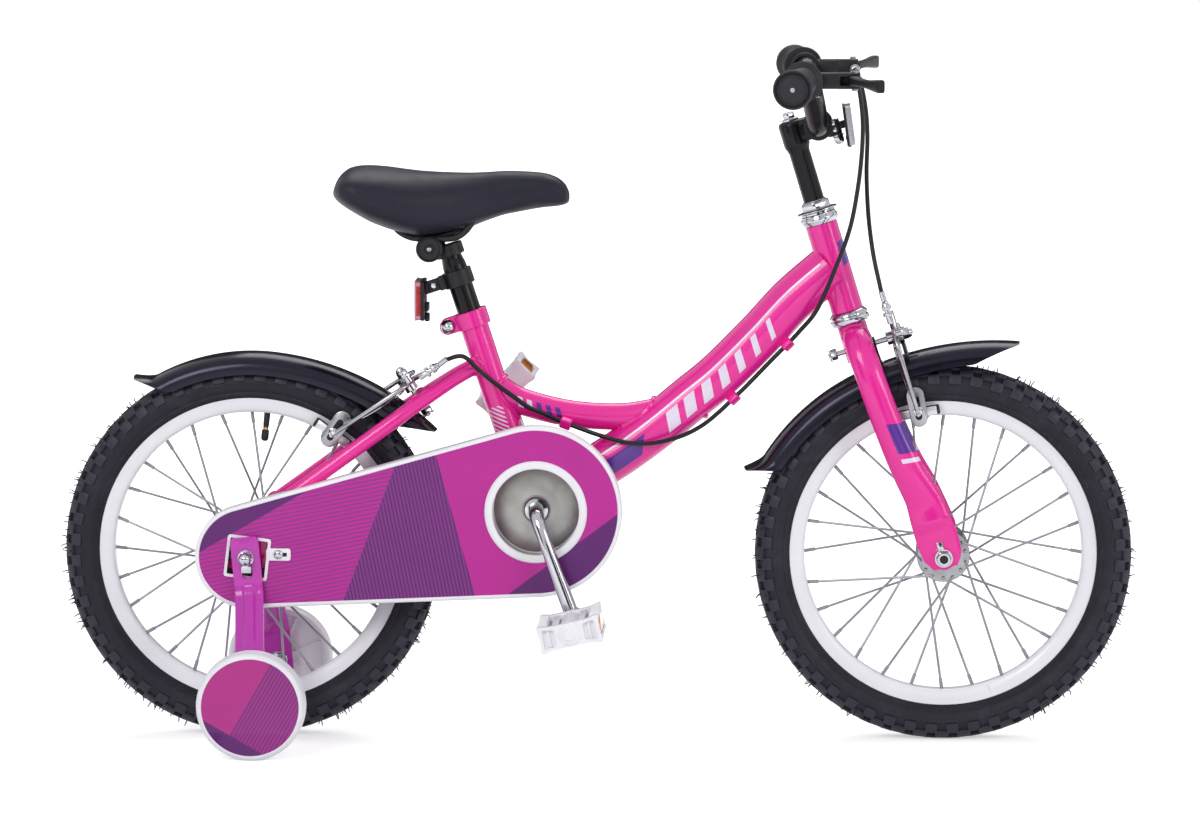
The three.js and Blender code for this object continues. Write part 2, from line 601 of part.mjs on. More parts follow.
function makeFrame() {
  const head = rod(steered(0, 0, headTube.from), steered(0, 0, headTube.to), headTube.radius, flats.large);
  const headBore = rod(steered(0, 0, headTube.from - overrun), steered(0, 0, headTube.to + overrun),
    headTube.bore, flats.large);
  const down = tube(smooth(downRoute), downTube.radius, flats.tube, downTube.steps);
  const top = tube(smooth(topRoute), topTube.radius, flats.tube, topTube.steps);
  const seat = rod(seated(0, 0, seatTube.from), seated(0, 0, seatTube.top), seatTube.radius, flats.tube);
  const seatBore = rod(seated(0, 0, seatTube.top - seatTube.boreDepth),
    seated(0, 0, seatTube.top + overrun),
    boreFor(post.radius, flats.tube), flats.tube);
  const halfShell = bracketShell.width / 2;
  const shell = acrossRod(bracketX, bracketZ, -halfShell, halfShell, bracketShell.radius, flats.large);
  const shellBore = acrossRod(bracketX, bracketZ, -halfShell - overrun, halfShell + overrun,
    bracketShell.bore, flats.large);
  const rears = [-1, 1].flatMap((side) => [
    tube(seatStayCurve(side), seatStay.radius, flats.small, seatStay.steps),
    tube(chainStayCurve(side), (share) => {
      const size = THREE.MathUtils.lerp(chainStay.radius, chainStay.endRadius, share);
      return [size * chainStay.flat, size];
    }, flats.small, chainStay.steps),
    makeDropout(side),
  ]);
  const [across, lower] = [bridge, lowBridge].map(({ radius, forward, up, half }) => rod(
    fromRearAxle(forward, -half, up), fromRearAxle(forward, half, up), radius, flats.bar,
  ));
  const guides = guidePlaces.map(({ place, along, reach }) => makeGuide(place, along, reach));
  const steel = join(head, down, top, seat, shell, rears, across, lower, guides.map((each) => each.body));
  const boltHole = rearBrake.boltRod(boreFor(caliper.boltRadius, flats.small));
  return cut(steel, headBore, seatBore, shellBore, guides.map((each) => each.hole), boltHole);
}

// Brakes: each caliper is built about its pivot, with its bolt along local x, then placed.

function caliperFrame(pivot, forward, upward) {
  const side = upward.clone().cross(forward);
  return new THREE.Matrix4().makeBasis(forward.clone().normalize(), side.normalize(),
    upward.clone().normalize())
    .setPosition(pivot);
}

function makeArm(layer, padSide, cableSide, axleAt) {
  const plane = layer * (caliper.armThick + slip);
  const padFrom = plane - axleAt.x;
  const drop = axleAt.z + Math.sqrt(caliper.padRadius ** 2 - padFrom ** 2);
  const padTurn = Math.atan2(padFrom, drop - axleAt.z);
  const at = (y, z) => point(plane, y, z);
  const s = padSide;
  const reach = rim.width / 2 + caliper.padGap + caliper.padThick;
  const lowArm = tube(smooth([
    at(0, 0), at(s * 18, 6), at(s * (caliper.spread - 4), -4), at(s * caliper.spread, -26),
    at(s * (caliper.spread - 1), -54), at(s * (reach + caliper.postOut - 2), drop),
  ]), () => [caliper.armThick / 2, caliper.armRadius], caliper.sides, caliper.steps, boltAxis);
  const boss = rod(at(0, 0).add(point(-caliper.armThick / 2, 0, 0)),
    at(0, 0).add(point(caliper.armThick / 2, 0, 0)),
    caliper.bossRadius, flats.small);
  const rise = layer > 0 ? caliper.anchorRise : caliper.barrelRise;
  const end = at(cableSide * caliper.cableOut, rise);
  const highArm = tube(smooth([at(0, 0), at(cableSide * 20, layer > 0 ? 3 : 18), end]),
    () => [caliper.armThick / 2, caliper.armRadius * 0.85], caliper.sides, 3, boltAxis);
  const parts = [lowArm, boss, highArm];
  if (layer > 0) {
    parts.push(rod(end.clone().add(point(-4, 0, 0)), end.clone().add(point(5, 0, 0)),
      caliper.barrelRadius, flats.small));
  } else {
    const half = point(0, 0, caliper.barrelLength / 2);
    parts.push(rod(end.clone().sub(half), end.clone().add(half), caliper.barrelRadius, flats.small));
  }
  const postFrom = point(plane, s * (reach - 1), drop);
  const postTo = point(plane, s * (reach + caliper.postOut), drop);
  parts.push(rod(postFrom, postTo, caliper.padHub, caliper.sides));
  const padMiddle = rim.width / 2 + caliper.padGap + caliper.padThick / 2;
  const pad = block(0, 0, 0, caliper.padLength, caliper.padThick, caliper.padHeight).rotateY(padTurn);
  parts.push(pad.translate(plane, s * padMiddle, drop));
  const bore = rod(point(-3 * caliper.armThick, 0, 0), point(3 * caliper.armThick, 0, 0),
    boreFor(caliper.boltRadius, flats.small), flats.small);
  return cut(join(parts), bore);
}

function makeBrake(pivot, forward, upward, back, cableSide, axlePlace) {
  const frame = caliperFrame(pivot, forward, upward);
  const axleAt = axlePlace.clone().applyMatrix4(frame.clone().invert());
  const front = caliper.armThick * 1.5 + 2 * slip;
  const place = (geometry) => moved(geometry, frame);
  const shaft = rod(point(-back, 0, 0), point(front + caliper.nutLength, 0, 0), caliper.boltRadius,
    flats.stud);
  const nut = (x, length) => frontPlate(hexagon(caliper.nutRadius), x, x + length);
  const dome = rod(point(front + caliper.nutLength - 1, 0, 0), point(front + caliper.nutLength + 4, 0, 0),
    caliper.nutRadius * 0.8, flats.stud, caliper.nutRadius * 0.4);
  const spacer = rod(point(-caliper.armThick / 2 - slip - 7, 0, 0),
    point(-caliper.armThick / 2 - slip, 0, 0), 7, flats.small);
  const bolt = join(shaft, nut(front, caliper.nutLength), nut(-back + 3, caliper.nutLength), dome, spacer);
  return {
    bolt: place(geometryOf(bolt)),
    arms: [0, 1].map((layer) => {
      const padSide = layer > 0 ? -cableSide : cableSide;
      return place(geometryOf(makeArm(layer, padSide, cableSide, axleAt)));
    }),
    boltRod: (radius) => place(rod(point(-back - overrun, 0, 0), point(front, 0, 0), radius, flats.small)),
    barrelTop: point(0, cableSide * caliper.cableOut,
      caliper.barrelRise + caliper.barrelLength / 2).applyMatrix4(frame),
    frame,
  };
}

const rearUp = point(75, 0, 50).normalize();
const rearOut = point(-50, 0, 75).normalize();
const rearPivot = fromRearAxle(caliper.rearForward, 0, caliper.rearUp);
const rearBrake = makeBrake(rearPivot, rearOut, rearUp, caliper.rearBack, 1, rearAxle);
const frontPivot = point(caliper.frontForward, 0, crown.boltHeight);
const frontBrake = makeBrake(frontPivot, boltAxis, upAxis, caliper.frontBack, -1, point(forkOffset, 0, 0));

add('frame', makeFrame(), 'pink');
add('rear_brake_bolt', rearBrake.bolt, 'chrome');
add('rear_brake_arm_inner', rearBrake.arms[0], 'chrome');
add('rear_brake_arm_outer', rearBrake.arms[1], 'chrome');
add('front_brake_bolt', frontBrake.bolt, 'chrome', steeringGroup);
add('front_brake_arm_inner', frontBrake.arms[0], 'chrome', steeringGroup);
add('front_brake_arm_outer', frontBrake.arms[1], 'chrome', steeringGroup);

const barPoint = (side, reach) => {
  const share = (reach - bar.bendAt) / (bar.halfWidth - bar.bendAt);
  return point(
    THREE.MathUtils.lerp(bar.bendForward, bar.endForward, share), side * reach,
    stem.height + bar.lift + bar.endRise * share,
  );
};

// Each housing starts inside its lever and ends against its brake's adjuster.
const leverAt = bar.halfWidth - lever.inset;
const housingAt = (side, inward) => {
  const hub = barPoint(side, leverAt).applyMatrix4(steerFrame);
  return hub.add(point(lever.barrelForward, -side * inward, -lever.barrelDrop));
};
const housingIn = lever.clampWidth / 2 + lever.barrelLength - lever.holeDepth + slip;
const steerUp = upAxis.clone().applyQuaternion(steerTurn);
const rearCableEnd = rearBrake.barrelTop.clone().addScaledVector(rearUp, slip);
const rearCableLead = rearBrake.barrelTop.clone().addScaledVector(rearUp, cable.lead);
const rearHeld = [housingAt(-1, housingIn + cable.startLead), ...guidePlaces.map(({ place }) => place),
  rearCableLead];
const rearRuns = [cableShares.bar, cableShares.down, cableShares.under, cableShares.seat];
const rearRoute = rearRuns.flatMap((shares, i) => [rearHeld[i],
  ...swept(rearHeld[i], rearHeld[i + 1], shares)]);
const rearPath = smooth([housingAt(-1, housingIn), ...rearRoute, rearCableLead, rearCableEnd]);
add('rear_brake_cable', tube(rearPath, cable.radius, flats.wire, cable.rearSteps), 'black');
const frontBarrelTop = frontBrake.barrelTop.clone().applyMatrix4(steerFrame);
const frontCableEnd = frontBarrelTop.clone().addScaledVector(steerUp, slip);
const frontCableLead = frontBarrelTop.clone().addScaledVector(steerUp, cable.frontLead);
const frontStart = housingAt(1, housingIn + cable.startLead);
const frontHang = swept(frontStart, frontCableLead, cableShares.front);
const frontRoute = [housingAt(1, housingIn), frontStart, ...frontHang, frontCableLead, frontCableEnd];
add('front_brake_cable', tube(smooth(frontRoute), cable.radius, flats.wire, cable.frontSteps), 'black');

// Rear wheel fixings, seat collar and headset

const addNuts = (name, hub, faces, centre, group) => {
  const holder = new THREE.Group();
  holder.position.copy(centre);
  group.add(holder);
  add(`${name}_axle`, makeAxle(hub, hub.length / 2), 'steel', holder);
  add(`${name}_axle_nut_right`, makeAxleNut(faces[0], -1), 'chrome', holder);
  add(`${name}_axle_nut_left`, makeAxleNut(faces[1], 1), 'chrome', holder);
};

const armFace = stabiliser.topSide + stabiliser.armThick / 2;
const forkEndFace = frontHub.width / 2 + slip + 2 * 2.5;
addNuts('rear', rearHub, [armFace, armFace], rearAxle, bicycle);
addNuts('front', frontHub, [forkEndFace, forkEndFace], point(forkOffset, 0, 0), steeringGroup);

function makeCollar() {
  const inner = boreFor(seatTube.radius, flats.large);
  const outer = inner + collar.wall;
  const middle = (collar.from + collar.to) / 2;
  const height = collar.to - collar.from;
  const earLength = collar.earReach + 2 * collar.earRoot;
  const band = rod(point(0, 0, collar.from), point(0, 0, collar.to), outer, flats.large);
  const ear = block(-outer - collar.earReach / 2, 0, middle, earLength, collar.earWidth,
    height * collar.earShare);
  const hole = rod(point(0, 0, collar.from - overrun), point(0, 0, collar.to + overrun), inner,
    flats.large);
  const slit = block(
    -outer - collar.earReach / 2, 0, middle, 2 * (collar.earReach + overrun), collar.slit,
      height + 2 * overrun,
  );
  const boltX = -outer - collar.earReach * collar.boltShare;
  const bore = rod(point(boltX, -collar.earWidth, middle), point(boltX, collar.earWidth, middle),
    boreFor(collar.boltRadius, flats.small), flats.small);
  add('seat_clamp_collar', cut(join(band, ear), hole, slit, bore), 'pink', seatGroup);
  const side = collar.earWidth / 2 + slip;
  const shaft = rod(point(boltX, -side - collar.shaftIn, middle),
    point(boltX, side + collar.shaftOut, middle),
    collar.boltRadius, flats.small);
  const domeProfile = collar.dome.map(([out, up]) => [collar.headRadius * out, collar.domeHeight * up]);
  const dome = turned([[0, 0], ...domeProfile], point(boltX, -side, middle), point(0, -1, 0), flats.bar,
    false);
  const nutProfile = [[0, 0], [collar.headRadius, 0], [collar.headRadius, collar.nutLength],
    [0, collar.nutLength]];
  const nut = turned(nutProfile, point(boltX, side, middle), acrossAxis, 6, false);
  add('seat_clamp_bolt', join(shaft, dome, nut), 'chrome', seatGroup);
}

function makeHeadset() {
  const bore = boreFor(steerer.radius, flats.large);
  const up = point(0, 0, 1);
  const foot = point(0, 0, 0);
  const low = headset.lowerFrom;
  const top = headTube.from - slip;
  add('headset_lower_cup', turned([
    [bore, low], [headset.lowerRadius - 2, low], [headset.lowerRadius, low + headset.lowerLip],
    [headset.lowerRadius - 1, low + 2 * headset.lowerLip], [headTube.radius, top], [bore, top],
  ], foot, up, flats.large), 'chrome', headGroup);
  const base = headTube.to + slip;
  add('headset_upper_cup', turned([
    [bore, base], [headTube.radius + 0.6, base], [headset.upperRadius, base + 4],
      [headset.upperRadius - 1, headset.upperTo],
    [bore, headset.upperTo],
  ], foot, up, flats.large), 'chrome', headGroup);
  add('headset_locknut', turned([
    [bore, headset.nutFrom], [headset.washerRadius, headset.nutFrom + 1],
    [headset.washerRadius, headset.washerTop], [headset.nutRadius, headset.washerTop + 0.5],
    [headset.nutRadius, headset.nutTop - 1], [headset.nutRadius - 1, headset.nutTop],
      [bore, headset.nutTop],
  ], foot, up, flats.large), 'chrome', steeringGroup);
}

function makeBracketCups() {
  const half = bracketShell.width / 2;
  const bore = boreFor(crank.radius, flats.large);
  for (const [name, side] of [['right', -1], ['left', 1]]) {
    add(`bottom_bracket_cup_${name}`, turned([
      [bore, half - 9], [bracketShell.bore - 1, half - 9], [bracketShell.bore - 1, half + slip],
      [bracketShell.radius - 1, half + slip], [bracketShell.radius - 3, half + 4.5], [bore, half + 4.5],
    ], point(bracketX, 0, bracketZ), point(0, side, 0), flats.large), 'steel');
  }
}

// Fork and front end, in the steering frame

function makeFork() {
  const lug = rod(point(0, 0, crown.from), point(0, 0, crown.to), crown.radius, flats.large);
  const steererTube = rod(point(0, 0, crown.from + 8), point(0, 0, steerer.top), steerer.radius,
    flats.large);
  const steererBore = rod(point(0, 0, steerer.boreFrom), point(0, 0, steerer.top + overrun),
    steerer.bore, flats.large);
  const sizes = [
    [14, 11], [14.5, 11], [15, 10.6], [15.2, 10.5], [15.4, 10.5], [15.6, 10.5], [16, 10.3], [16.6, 10],
      [17.4, 9],
    [18.6, 6.4], [21, 3.2], [22.4, 2.5], [20.6, 2.5], [13, 2.5],
  ];
  const end = frontHub.width / 2 + slip + 2.5;
  const blades = [-1, 1].map((side) => {
    const blade = tube(smooth([
      point(0, side * 5, 250), point(0.5, side * 21, 247), point(2, side * 36, 234),
        point(3.5, side * 43.5, 213),
      point(4.6, side * 46.3, 192), point(6, side * 47.5, 168), point(8, side * 48, 144),
        point(10.6, side * 48.4, 120),
      point(14.4, side * end, 94), point(19.4, side * end, 68), point(21, side * end, 44),
        point(22.2, side * end, 22),
      point(22.6, side * end, 2), point(22, side * end, -10.5),
    ]), (share) => between(sizes, share), flats.small, crown.bladeSteps, point(1, 0, 0));
    return blade;
  });
  const holes = [-1, 1].map((side) => rod(
    point(forkOffset, side * (end - 8), 0), point(forkOffset, side * (end + 8), 0), dropout.slot, flats.bar,
  ));
  const boltHole = frontBrake.boltRod(boreFor(caliper.boltRadius, flats.small));
  add('fork', cut(join(lug, steererTube, blades), steererBore, holes, boltHole), 'pink', steeringGroup);
}

function makeStem() {
  const headFrom = stem.height - stem.headBelow;
  const headTo = stem.height + stem.headAbove;
  const quill = rod(point(0, 0, stem.from), point(0, 0, headFrom + overrun), stem.quill, flats.large);
  const head = rod(point(0, 0, headFrom), point(0, 0, headTo), stem.headRadius, flats.large);
  const arm = new THREE.Shape();
  arm.moveTo(0, headFrom + stem.armFrom);
  arm.lineTo(stem.reach, stem.height - stem.armHeight * 0.62);
  arm.lineTo(stem.reach, stem.height + stem.armHeight * 0.62);
  arm.lineTo(0, headTo - stem.armTo);
  const bridgePlate = sidePlate(arm, -stem.armWidth / 2, stem.armWidth / 2);
  const barrel = acrossRod(stem.reach, stem.height, -stem.clampWidth / 2, stem.clampWidth / 2,
    stem.clampRadius, flats.large);
  const earX = stem.reach + stem.clampRadius - 1.5;
  const earZ = stem.height - stem.earHeight * 0.55;
  const ear = block(earX, 0, earZ, stem.earReach * 0.8, stem.clampWidth * 0.6, stem.earHeight);
  const slit = block(earX + 2, 0, earZ, stem.earReach * 1.6, stem.clampWidth + overrun, stem.slit);
  const barBore = acrossRod(stem.reach, stem.height, -stem.clampWidth, stem.clampWidth,
    boreFor(bar.radius, flats.bar), flats.bar);
  const body = cut(join(quill, head, bridgePlate, barrel, ear), slit, barBore);
  const pinchX = earX + 2.4;
  const pinch = rod(point(pinchX, 0, earZ - stem.pinchLength / 2),
    point(pinchX, 0, earZ + stem.earHeight / 2 + 2), stem.pinchRadius, flats.small);
  const pinchNut = rod(point(pinchX, 0, earZ - stem.earHeight / 2 - 6),
    point(pinchX, 0, earZ - stem.earHeight / 2), stem.pinchHead, 6);
  add('stem', join(body, pinch, pinchNut), 'black', steeringGroup);
  const top = headTo + slip;
  add('stem_bolt', turned([
    [0, 0], [stem.boltRadius + 2.4, 0], [stem.boltRadius + 2.4, 1.8], [stem.boltRadius, 2],
      [stem.boltRadius, stem.boltHeight - 1.5],
    [stem.boltRadius - 1.6, stem.boltHeight], [0, stem.boltHeight],
  ], point(0, 0, top), point(0, 0, 1), flats.small, false), 'chrome', steeringGroup);
}

function makeBar() {
  const span = bar.bendAt - bar.flat;
  const half = (side) => [
    point(stem.reach, side * bar.flat, stem.height),
    ...bar.riseShares.map((rise, i) => point(
      THREE.MathUtils.lerp(stem.reach, bar.bendForward, rise),
        side * (bar.flat + span * bar.reachShares[i]),
      stem.height + bar.lift * rise,
    )),
    barPoint(side, bar.bendAt),
    ...bar.outShares.map((share) => barPoint(side, THREE.MathUtils.lerp(bar.bendAt, bar.halfWidth, share))),
    barPoint(side, bar.halfWidth),
  ];
  const middle = [point(stem.reach, -bar.middle, stem.height), point(stem.reach, bar.middle, stem.height)];
  const route = smooth([...half(-1).reverse(), ...middle, ...half(1)]);
  add('handlebar', tube(route, bar.radius, flats.bar, bar.steps, point(1, 0, 0)), 'black', steeringGroup);
}

function makeGrip(side) {
  const outer = bar.halfWidth + grip.overhang;
  const start = barPoint(side, outer - grip.length);
  const axis = barPoint(side, outer).sub(start);
  const length = axis.length();
  const bore = boreFor(bar.radius, flats.bar) + slip;
  const barEnd = barPoint(side, bar.halfWidth).distanceTo(start) + slip * overrun;
  const ribs = [];
  const ribFrom = grip.flangeThick + grip.ribEnd;
  const ribTo = length - grip.capThick - grip.ribEnd;
  for (let i = 0; i <= 2 * grip.ribs; i += 1) {
    const height = THREE.MathUtils.lerp(ribFrom, ribTo, i / (2 * grip.ribs));
    ribs.push([grip.radius + (i % 2 === 0 ? -grip.ribDeep : grip.ribProud), height]);
  }
  return turned([
    [bore, 0], [grip.flangeRadius, 0], [grip.flangeRadius, grip.flangeThick],
      [grip.radius, grip.flangeThick + 3], ...ribs,
    [grip.capRadius - 2, length - grip.capThick], [grip.capRadius, length - grip.capThick + 2],
      [grip.capRadius - 1, length - 2],
    [grip.capRadius - 5, length], [0, length], [0, barEnd], [bore, barEnd],
  ], start, axis, flats.bar);
}

// Brake levers, each in a level frame about the bar, for the right side, mirrored for the left.

function leverFrame() {
  const turn = new THREE.Quaternion().setFromAxisAngle(acrossAxis, -steerTilt);
  return new THREE.Matrix4().compose(barPoint(-1, leverAt), turn, point(1, 1, 1));
}

function makeLeverBracket(frame) {
  const half = lever.clampWidth / 2;
  const fit = lever.bladeHeight + 2 * slip;
  const length = lever.bodyTo - lever.bodyFrom;
  const clampRing = acrossRod(0, 0, -half, half, lever.clampRadius, flats.large);
  const body = block(lever.bodyFrom + length / 2, 0, 0, length, lever.bodyWidth, lever.bodyHeight);
  const alongBarrel = (inward) => point(lever.barrelForward, inward, -lever.barrelDrop);
  const tip = half + lever.barrelLength;
  const barrel = rod(alongBarrel(half - lever.barrelRoot), alongBarrel(tip), lever.barrelRadius,
    flats.small);
  const cableHole = rod(
    alongBarrel(tip - lever.holeDepth), alongBarrel(tip + overrun),
      boreFor(cable.radius, flats.small) + slip, flats.small,
  );
  const intoFrame = frame.clone().invert();
  const [from, to] = [-1, 1].map((way) => barPoint(-1,
    leverAt + way * lever.clampWidth).applyMatrix4(intoFrame));
  const bore = rod(from, to, boreFor(bar.radius, flats.bar) + lever.barFit, flats.bar);
  const slotLength = lever.slotOut + lever.slotIn;
  const slot = block(lever.pivotForward, lever.slotIn - slotLength / 2, 0, lever.slotWidth, slotLength,
    fit);
  const hook = block(lever.hookForward, half, 0, lever.hookLength, lever.hookWidth, fit);
  return cut(join(clampRing, body, barrel), bore, slot, hook, cableHole);
}

function makeLeverBlade() {
  const shape = shapeOf(bladeOutline.map(([forward, outward]) => [forward, -outward]));
  const bevel = lever.bladeBevel;
  const blade = new THREE.ExtrudeGeometry(shape, {
    depth: lever.bladeHeight - 2 * bevel, bevelThickness: bevel, bevelSize: bevel, bevelOffset: -bevel,
      bevelSegments: 1,
  });
  return blade.translate(0, 0, bevel - lever.bladeHeight / 2);
}

function addLevers() {
  const frame = leverFrame();
  const bracket = moved(geometryOf(makeLeverBracket(frame)), frame);
  const blade = moved(makeLeverBlade(), frame);
  for (const [name, side] of [['right', -1], ['left', 1]]) {
    add(`brake_lever_bracket_${name}`, onSide(bracket, side), 'black', steeringGroup);
    add(`brake_lever_${name}`, onSide(blade, side), 'black', steeringGroup);
    add(`grip_${name}`, makeGrip(side), 'softBlack', steeringGroup);
  }
}

function makeFrontReflector() {
  const ringSide = -frontReflector.side;
  const half = frontReflector.ringWidth / 2;
  const ringBody = acrossRod(stem.reach, stem.height, ringSide - half, ringSide + half,
    frontReflector.ring, flats.large);
  const armFrom = stem.reach + bar.radius + 1;
  const armTo = frontReflector.forward - frontReflector.thick / 2 + 1;
  const arm = block((armFrom + armTo) / 2, ringSide, stem.height - frontReflector.armDrop,
    armTo - armFrom, frontReflector.ringWidth, frontReflector.armHeight);
  const bore = acrossRod(stem.reach, stem.height, ringSide - 2 * half, ringSide + 2 * half,
    boreFor(bar.radius, flats.bar), flats.bar);
  const lens = block(0, 0, 0, frontReflector.thick, frontReflector.width, frontReflector.height);
  lens.rotateY(radians(frontReflector.tilt))
    .translate(frontReflector.forward, ringSide + frontReflector.lensIn, stem.height - frontReflector.drop);
  add('front_reflector', join(cut(join(ringBody, arm), bore), lens), 'clear', steeringGroup);
}

// Mudguards: a curved channel swept round the wheel, in the wheel's own frame.

function makeMudguard(sweep, lipAt) {
  const half = mudguard.halfWidth;
  const wall = mudguard.wall;
  const outer = [[-1, -1], [-0.92, -0.36], [-0.5, -0.05], [0.5, -0.05], [0.92, -0.36], [1, -1]];
  const inner = outer.map(([across, down]) => [across * (half - wall),
    down * (mudguard.depth - wall) - wall]);
  inner[0][1] = -mudguard.depth;
  inner[inner.length - 1][1] = -mudguard.depth;
  const shape = shapeOf([...outer.map(([across, down]) => [across * half, down * mudguard.depth]),
    ...inner.reverse()]);
  const geometry = new THREE.ExtrudeGeometry(shape,
    { depth: 1, steps: mudguard.steps, bevelEnabled: false });
  const places = geometry.attributes.position;
  const crownRadius = treadRadius + mudguard.clearance + wall;
  for (let i = 0; i < places.count; i += 1) {
    const share = places.getZ(i);
    const angle = THREE.MathUtils.lerp(sweep.from, sweep.to, share);
    const front = Math.max(0, (sweep.turn - angle) / (sweep.turn - sweep.from));
    const rear = Math.max(0, (angle - sweep.turn) / (sweep.to - sweep.turn));
    const lipShare = Math.max(0,
      (lipAt > 0 ? share : 1 - share) - 1 + mudguard.lipShare) / mudguard.lipShare;
    const lift = sweep.frontLift * front * front + sweep.rearLift * rear * rear + mudguard.lip * lipShare * lipShare;
    const flatten = 1 - 0.45 * lipShare;
    const radius = crownRadius + lift + places.getY(i) * flatten;
    places.setXYZ(i, radius * Math.cos(radians(angle)), places.getX(i), radius * Math.sin(radians(angle)));
  }
  return geometry;
}

function mudguardTab(frame, plane, drop) {
  const width = mudguard.bracket;
  const shape = shapeOf([[-width / 2, -drop], [width / 2, -drop], [width / 2, 6], [-width / 2, 6]]);
  const plate = cut(frontPlate(shape, plane, plane + mudguard.tab),
    rod(point(plane - overrun, 0, 0), point(plane + overrun + mudguard.tab, 0, 0),
      boreFor(caliper.boltRadius, flats.small), flats.small));
  return moved(geometryOf(plate), frame);
}

function addMudguards() {
  const rear = makeMudguard(rearGuardSweep, 1).translate(rearAxle.x, 0, rearAxle.z);
  const rearTab = mudguardTab(rearBrake.frame, -bridge.radius * 2 - 16.4, 19);
  add('rear_mudguard', join(rear, rearTab), 'black');
  const front = makeMudguard(frontGuardSweep, 1).rotateY(-steerTilt).translate(forkOffset, 0, 0);
  const frontTab = mudguardTab(frontBrake.frame, -24.4, 24);
  add('front_mudguard', join(front, frontTab), 'black', steeringGroup);
}

// Chain drive

const chainFrom = { x: bracketX, z: bracketZ, radius: chain.pitch / (2 * Math.sin(Math.PI / ring.teeth)) };
const chainTo = { x: rearAxle.x, z: rearAxle.z, radius: chain.pitch / (2 * Math.sin(Math.PI / cog.teeth)) };

// Places along the chain's closed path, one for each whole pair of links that fits, with their outward
// direction.
function chainPlaces() {
  const across = Math.hypot(chainTo.x - chainFrom.x, chainTo.z - chainFrom.z);
  const line = Math.atan2(chainTo.z - chainFrom.z, chainTo.x - chainFrom.x);
  const taper = Math.asin((chainFrom.radius - chainTo.radius) / across);
  const straight = across * Math.cos(taper);
  const wrapBig = chainFrom.radius * (Math.PI + 2 * taper);
  const wrapSmall = chainTo.radius * (Math.PI - 2 * taper);
  const total = 2 * straight + wrapBig + wrapSmall;
  const arc = (wheelSpec, angle) => ({
    x: wheelSpec.x + wheelSpec.radius * Math.cos(angle),
      z: wheelSpec.z + wheelSpec.radius * Math.sin(angle), out: angle,
  });
  const startBig = line - Math.PI / 2 + taper;
  const count = 2 * Math.round(total / (2 * chain.pitch));
  return Array.from({ length: count }, (_, i) => {
    let run = (i / count) * total;
    if (run < wrapBig) return arc(chainFrom, startBig + (run - wrapBig) / chainFrom.radius);
    run -= wrapBig;
    const leave = arc(chainFrom, startBig);
    const leaveDirection = startBig + Math.PI / 2;
    if (run < straight) {
      return {
        x: leave.x + run * Math.cos(leaveDirection), z: leave.z + run * Math.sin(leaveDirection),
          out: startBig, straight: true,
      };
    }
    run -= straight;
    if (run < wrapSmall) return arc(chainTo, startBig + run / chainTo.radius);
    run -= wrapSmall;
    const last = startBig + wrapSmall / chainTo.radius;
    const back = arc(chainTo, last);
    return {
      x: back.x + run * Math.cos(last + Math.PI / 2), z: back.z + run * Math.sin(last + Math.PI / 2),
        out: last, straight: true,
    };
  });
}

function makeChain() {
  const places = chainPlaces();
  const corners = places.filter((place, i) => {
    const before = places[(i + places.length - 1) % places.length];
    const after = places[(i + 1) % places.length];
    return !(place.straight && before.straight && after.straight);
  });
  const offset = (amount) => shapeOf(corners.map(({ x, z, out }) => [x + amount * Math.cos(out),
    z + amount * Math.sin(out)]));
  const half = chain.inside / 2;
  const shapes = [-1, 1].map((side) => {
    const band = offset(chain.plateHalf);
    band.holes.push(new THREE.Path(offset(-chain.plateHalf).getPoints().reverse()));
    const low = side < 0 ? chain.side - half - chain.plateThick : chain.side + half;
    return sidePlate(band, low, low + chain.plateThick);
  });
  const outer = half + chain.plateThick / 2;
  const rollers = places.map(({ x, z }) => acrossRod(x, z, chain.side - outer, chain.side + outer,
    chain.rollerRadius, chain.rollerSides));
  return join(shapes, rollers);
}

// A toothed wheel about its own centre, teeth turned so that their gaps take the chain's rollers.
function toothed(teeth, pitchRadius, phase, from, to, hole) {
  const points = [];
  for (let tooth = 0; tooth < teeth; tooth += 1) {
    const angle = phase + (tooth + 0.5) * 2 * Math.PI / teeth;
    for (const [radius, side] of [
      [pitchRadius - ring.rootDepth, -ring.rootHalf], [pitchRadius + ring.toothHeight, 0],
      [pitchRadius - ring.rootDepth, ring.rootHalf],
    ]) {
      const turn = angle + side / pitchRadius;
      points.push([radius * Math.cos(turn), radius * Math.sin(turn)]);
    }
  }
  const shape = shapeOf(points);
  if (hole > 0) shape.holes.push(new THREE.Path().absarc(0, 0, hole, 0, 2 * Math.PI, true));
  return sidePlate(shape, from, to);
}

function addDrive() {
  const places = chainPlaces();
  const phaseOf = (spec) => {
    const touching = places.find((place) => Math.abs(Math.hypot(place.x - spec.x,
      place.z - spec.z) - spec.radius) < 0.01);
    return Math.atan2(touching.z - spec.z, touching.x - spec.x);
  };
  add('chain', makeChain(), 'steel');
  const bore = boreFor(rearHub.endRadius, flats.disc);
  const teeth = toothed(cog.teeth, chainTo.radius, phaseOf(chainTo), chain.side - ring.thick / 2,
    chain.side + ring.thick / 2, 0);
  const body = rod(point(0, cog.bodyFrom, 0), point(0, cog.bodyTo, 0), cog.bodyRadius, flats.large);
  const hole = rod(point(0, cog.bodyFrom - overrun, 0), point(0, cog.bodyTo + overrun, 0), bore,
    flats.disc);
  add('rear_sprocket', geometryOf(cut(join(teeth, body), hole)).translate(rearAxle.x, 0, rearAxle.z),
    'steel');
  const ringHole = boreFor(crank.radius, flats.disc);
  const disc = toothed(ring.teeth, chainFrom.radius, phaseOf(chainFrom), chain.side - ring.thick / 2,
    chain.side + ring.thick / 2, ringHole);
  add('chainring', disc.translate(bracketX, 0, bracketZ), 'steel');
}

// Cranks and pedals

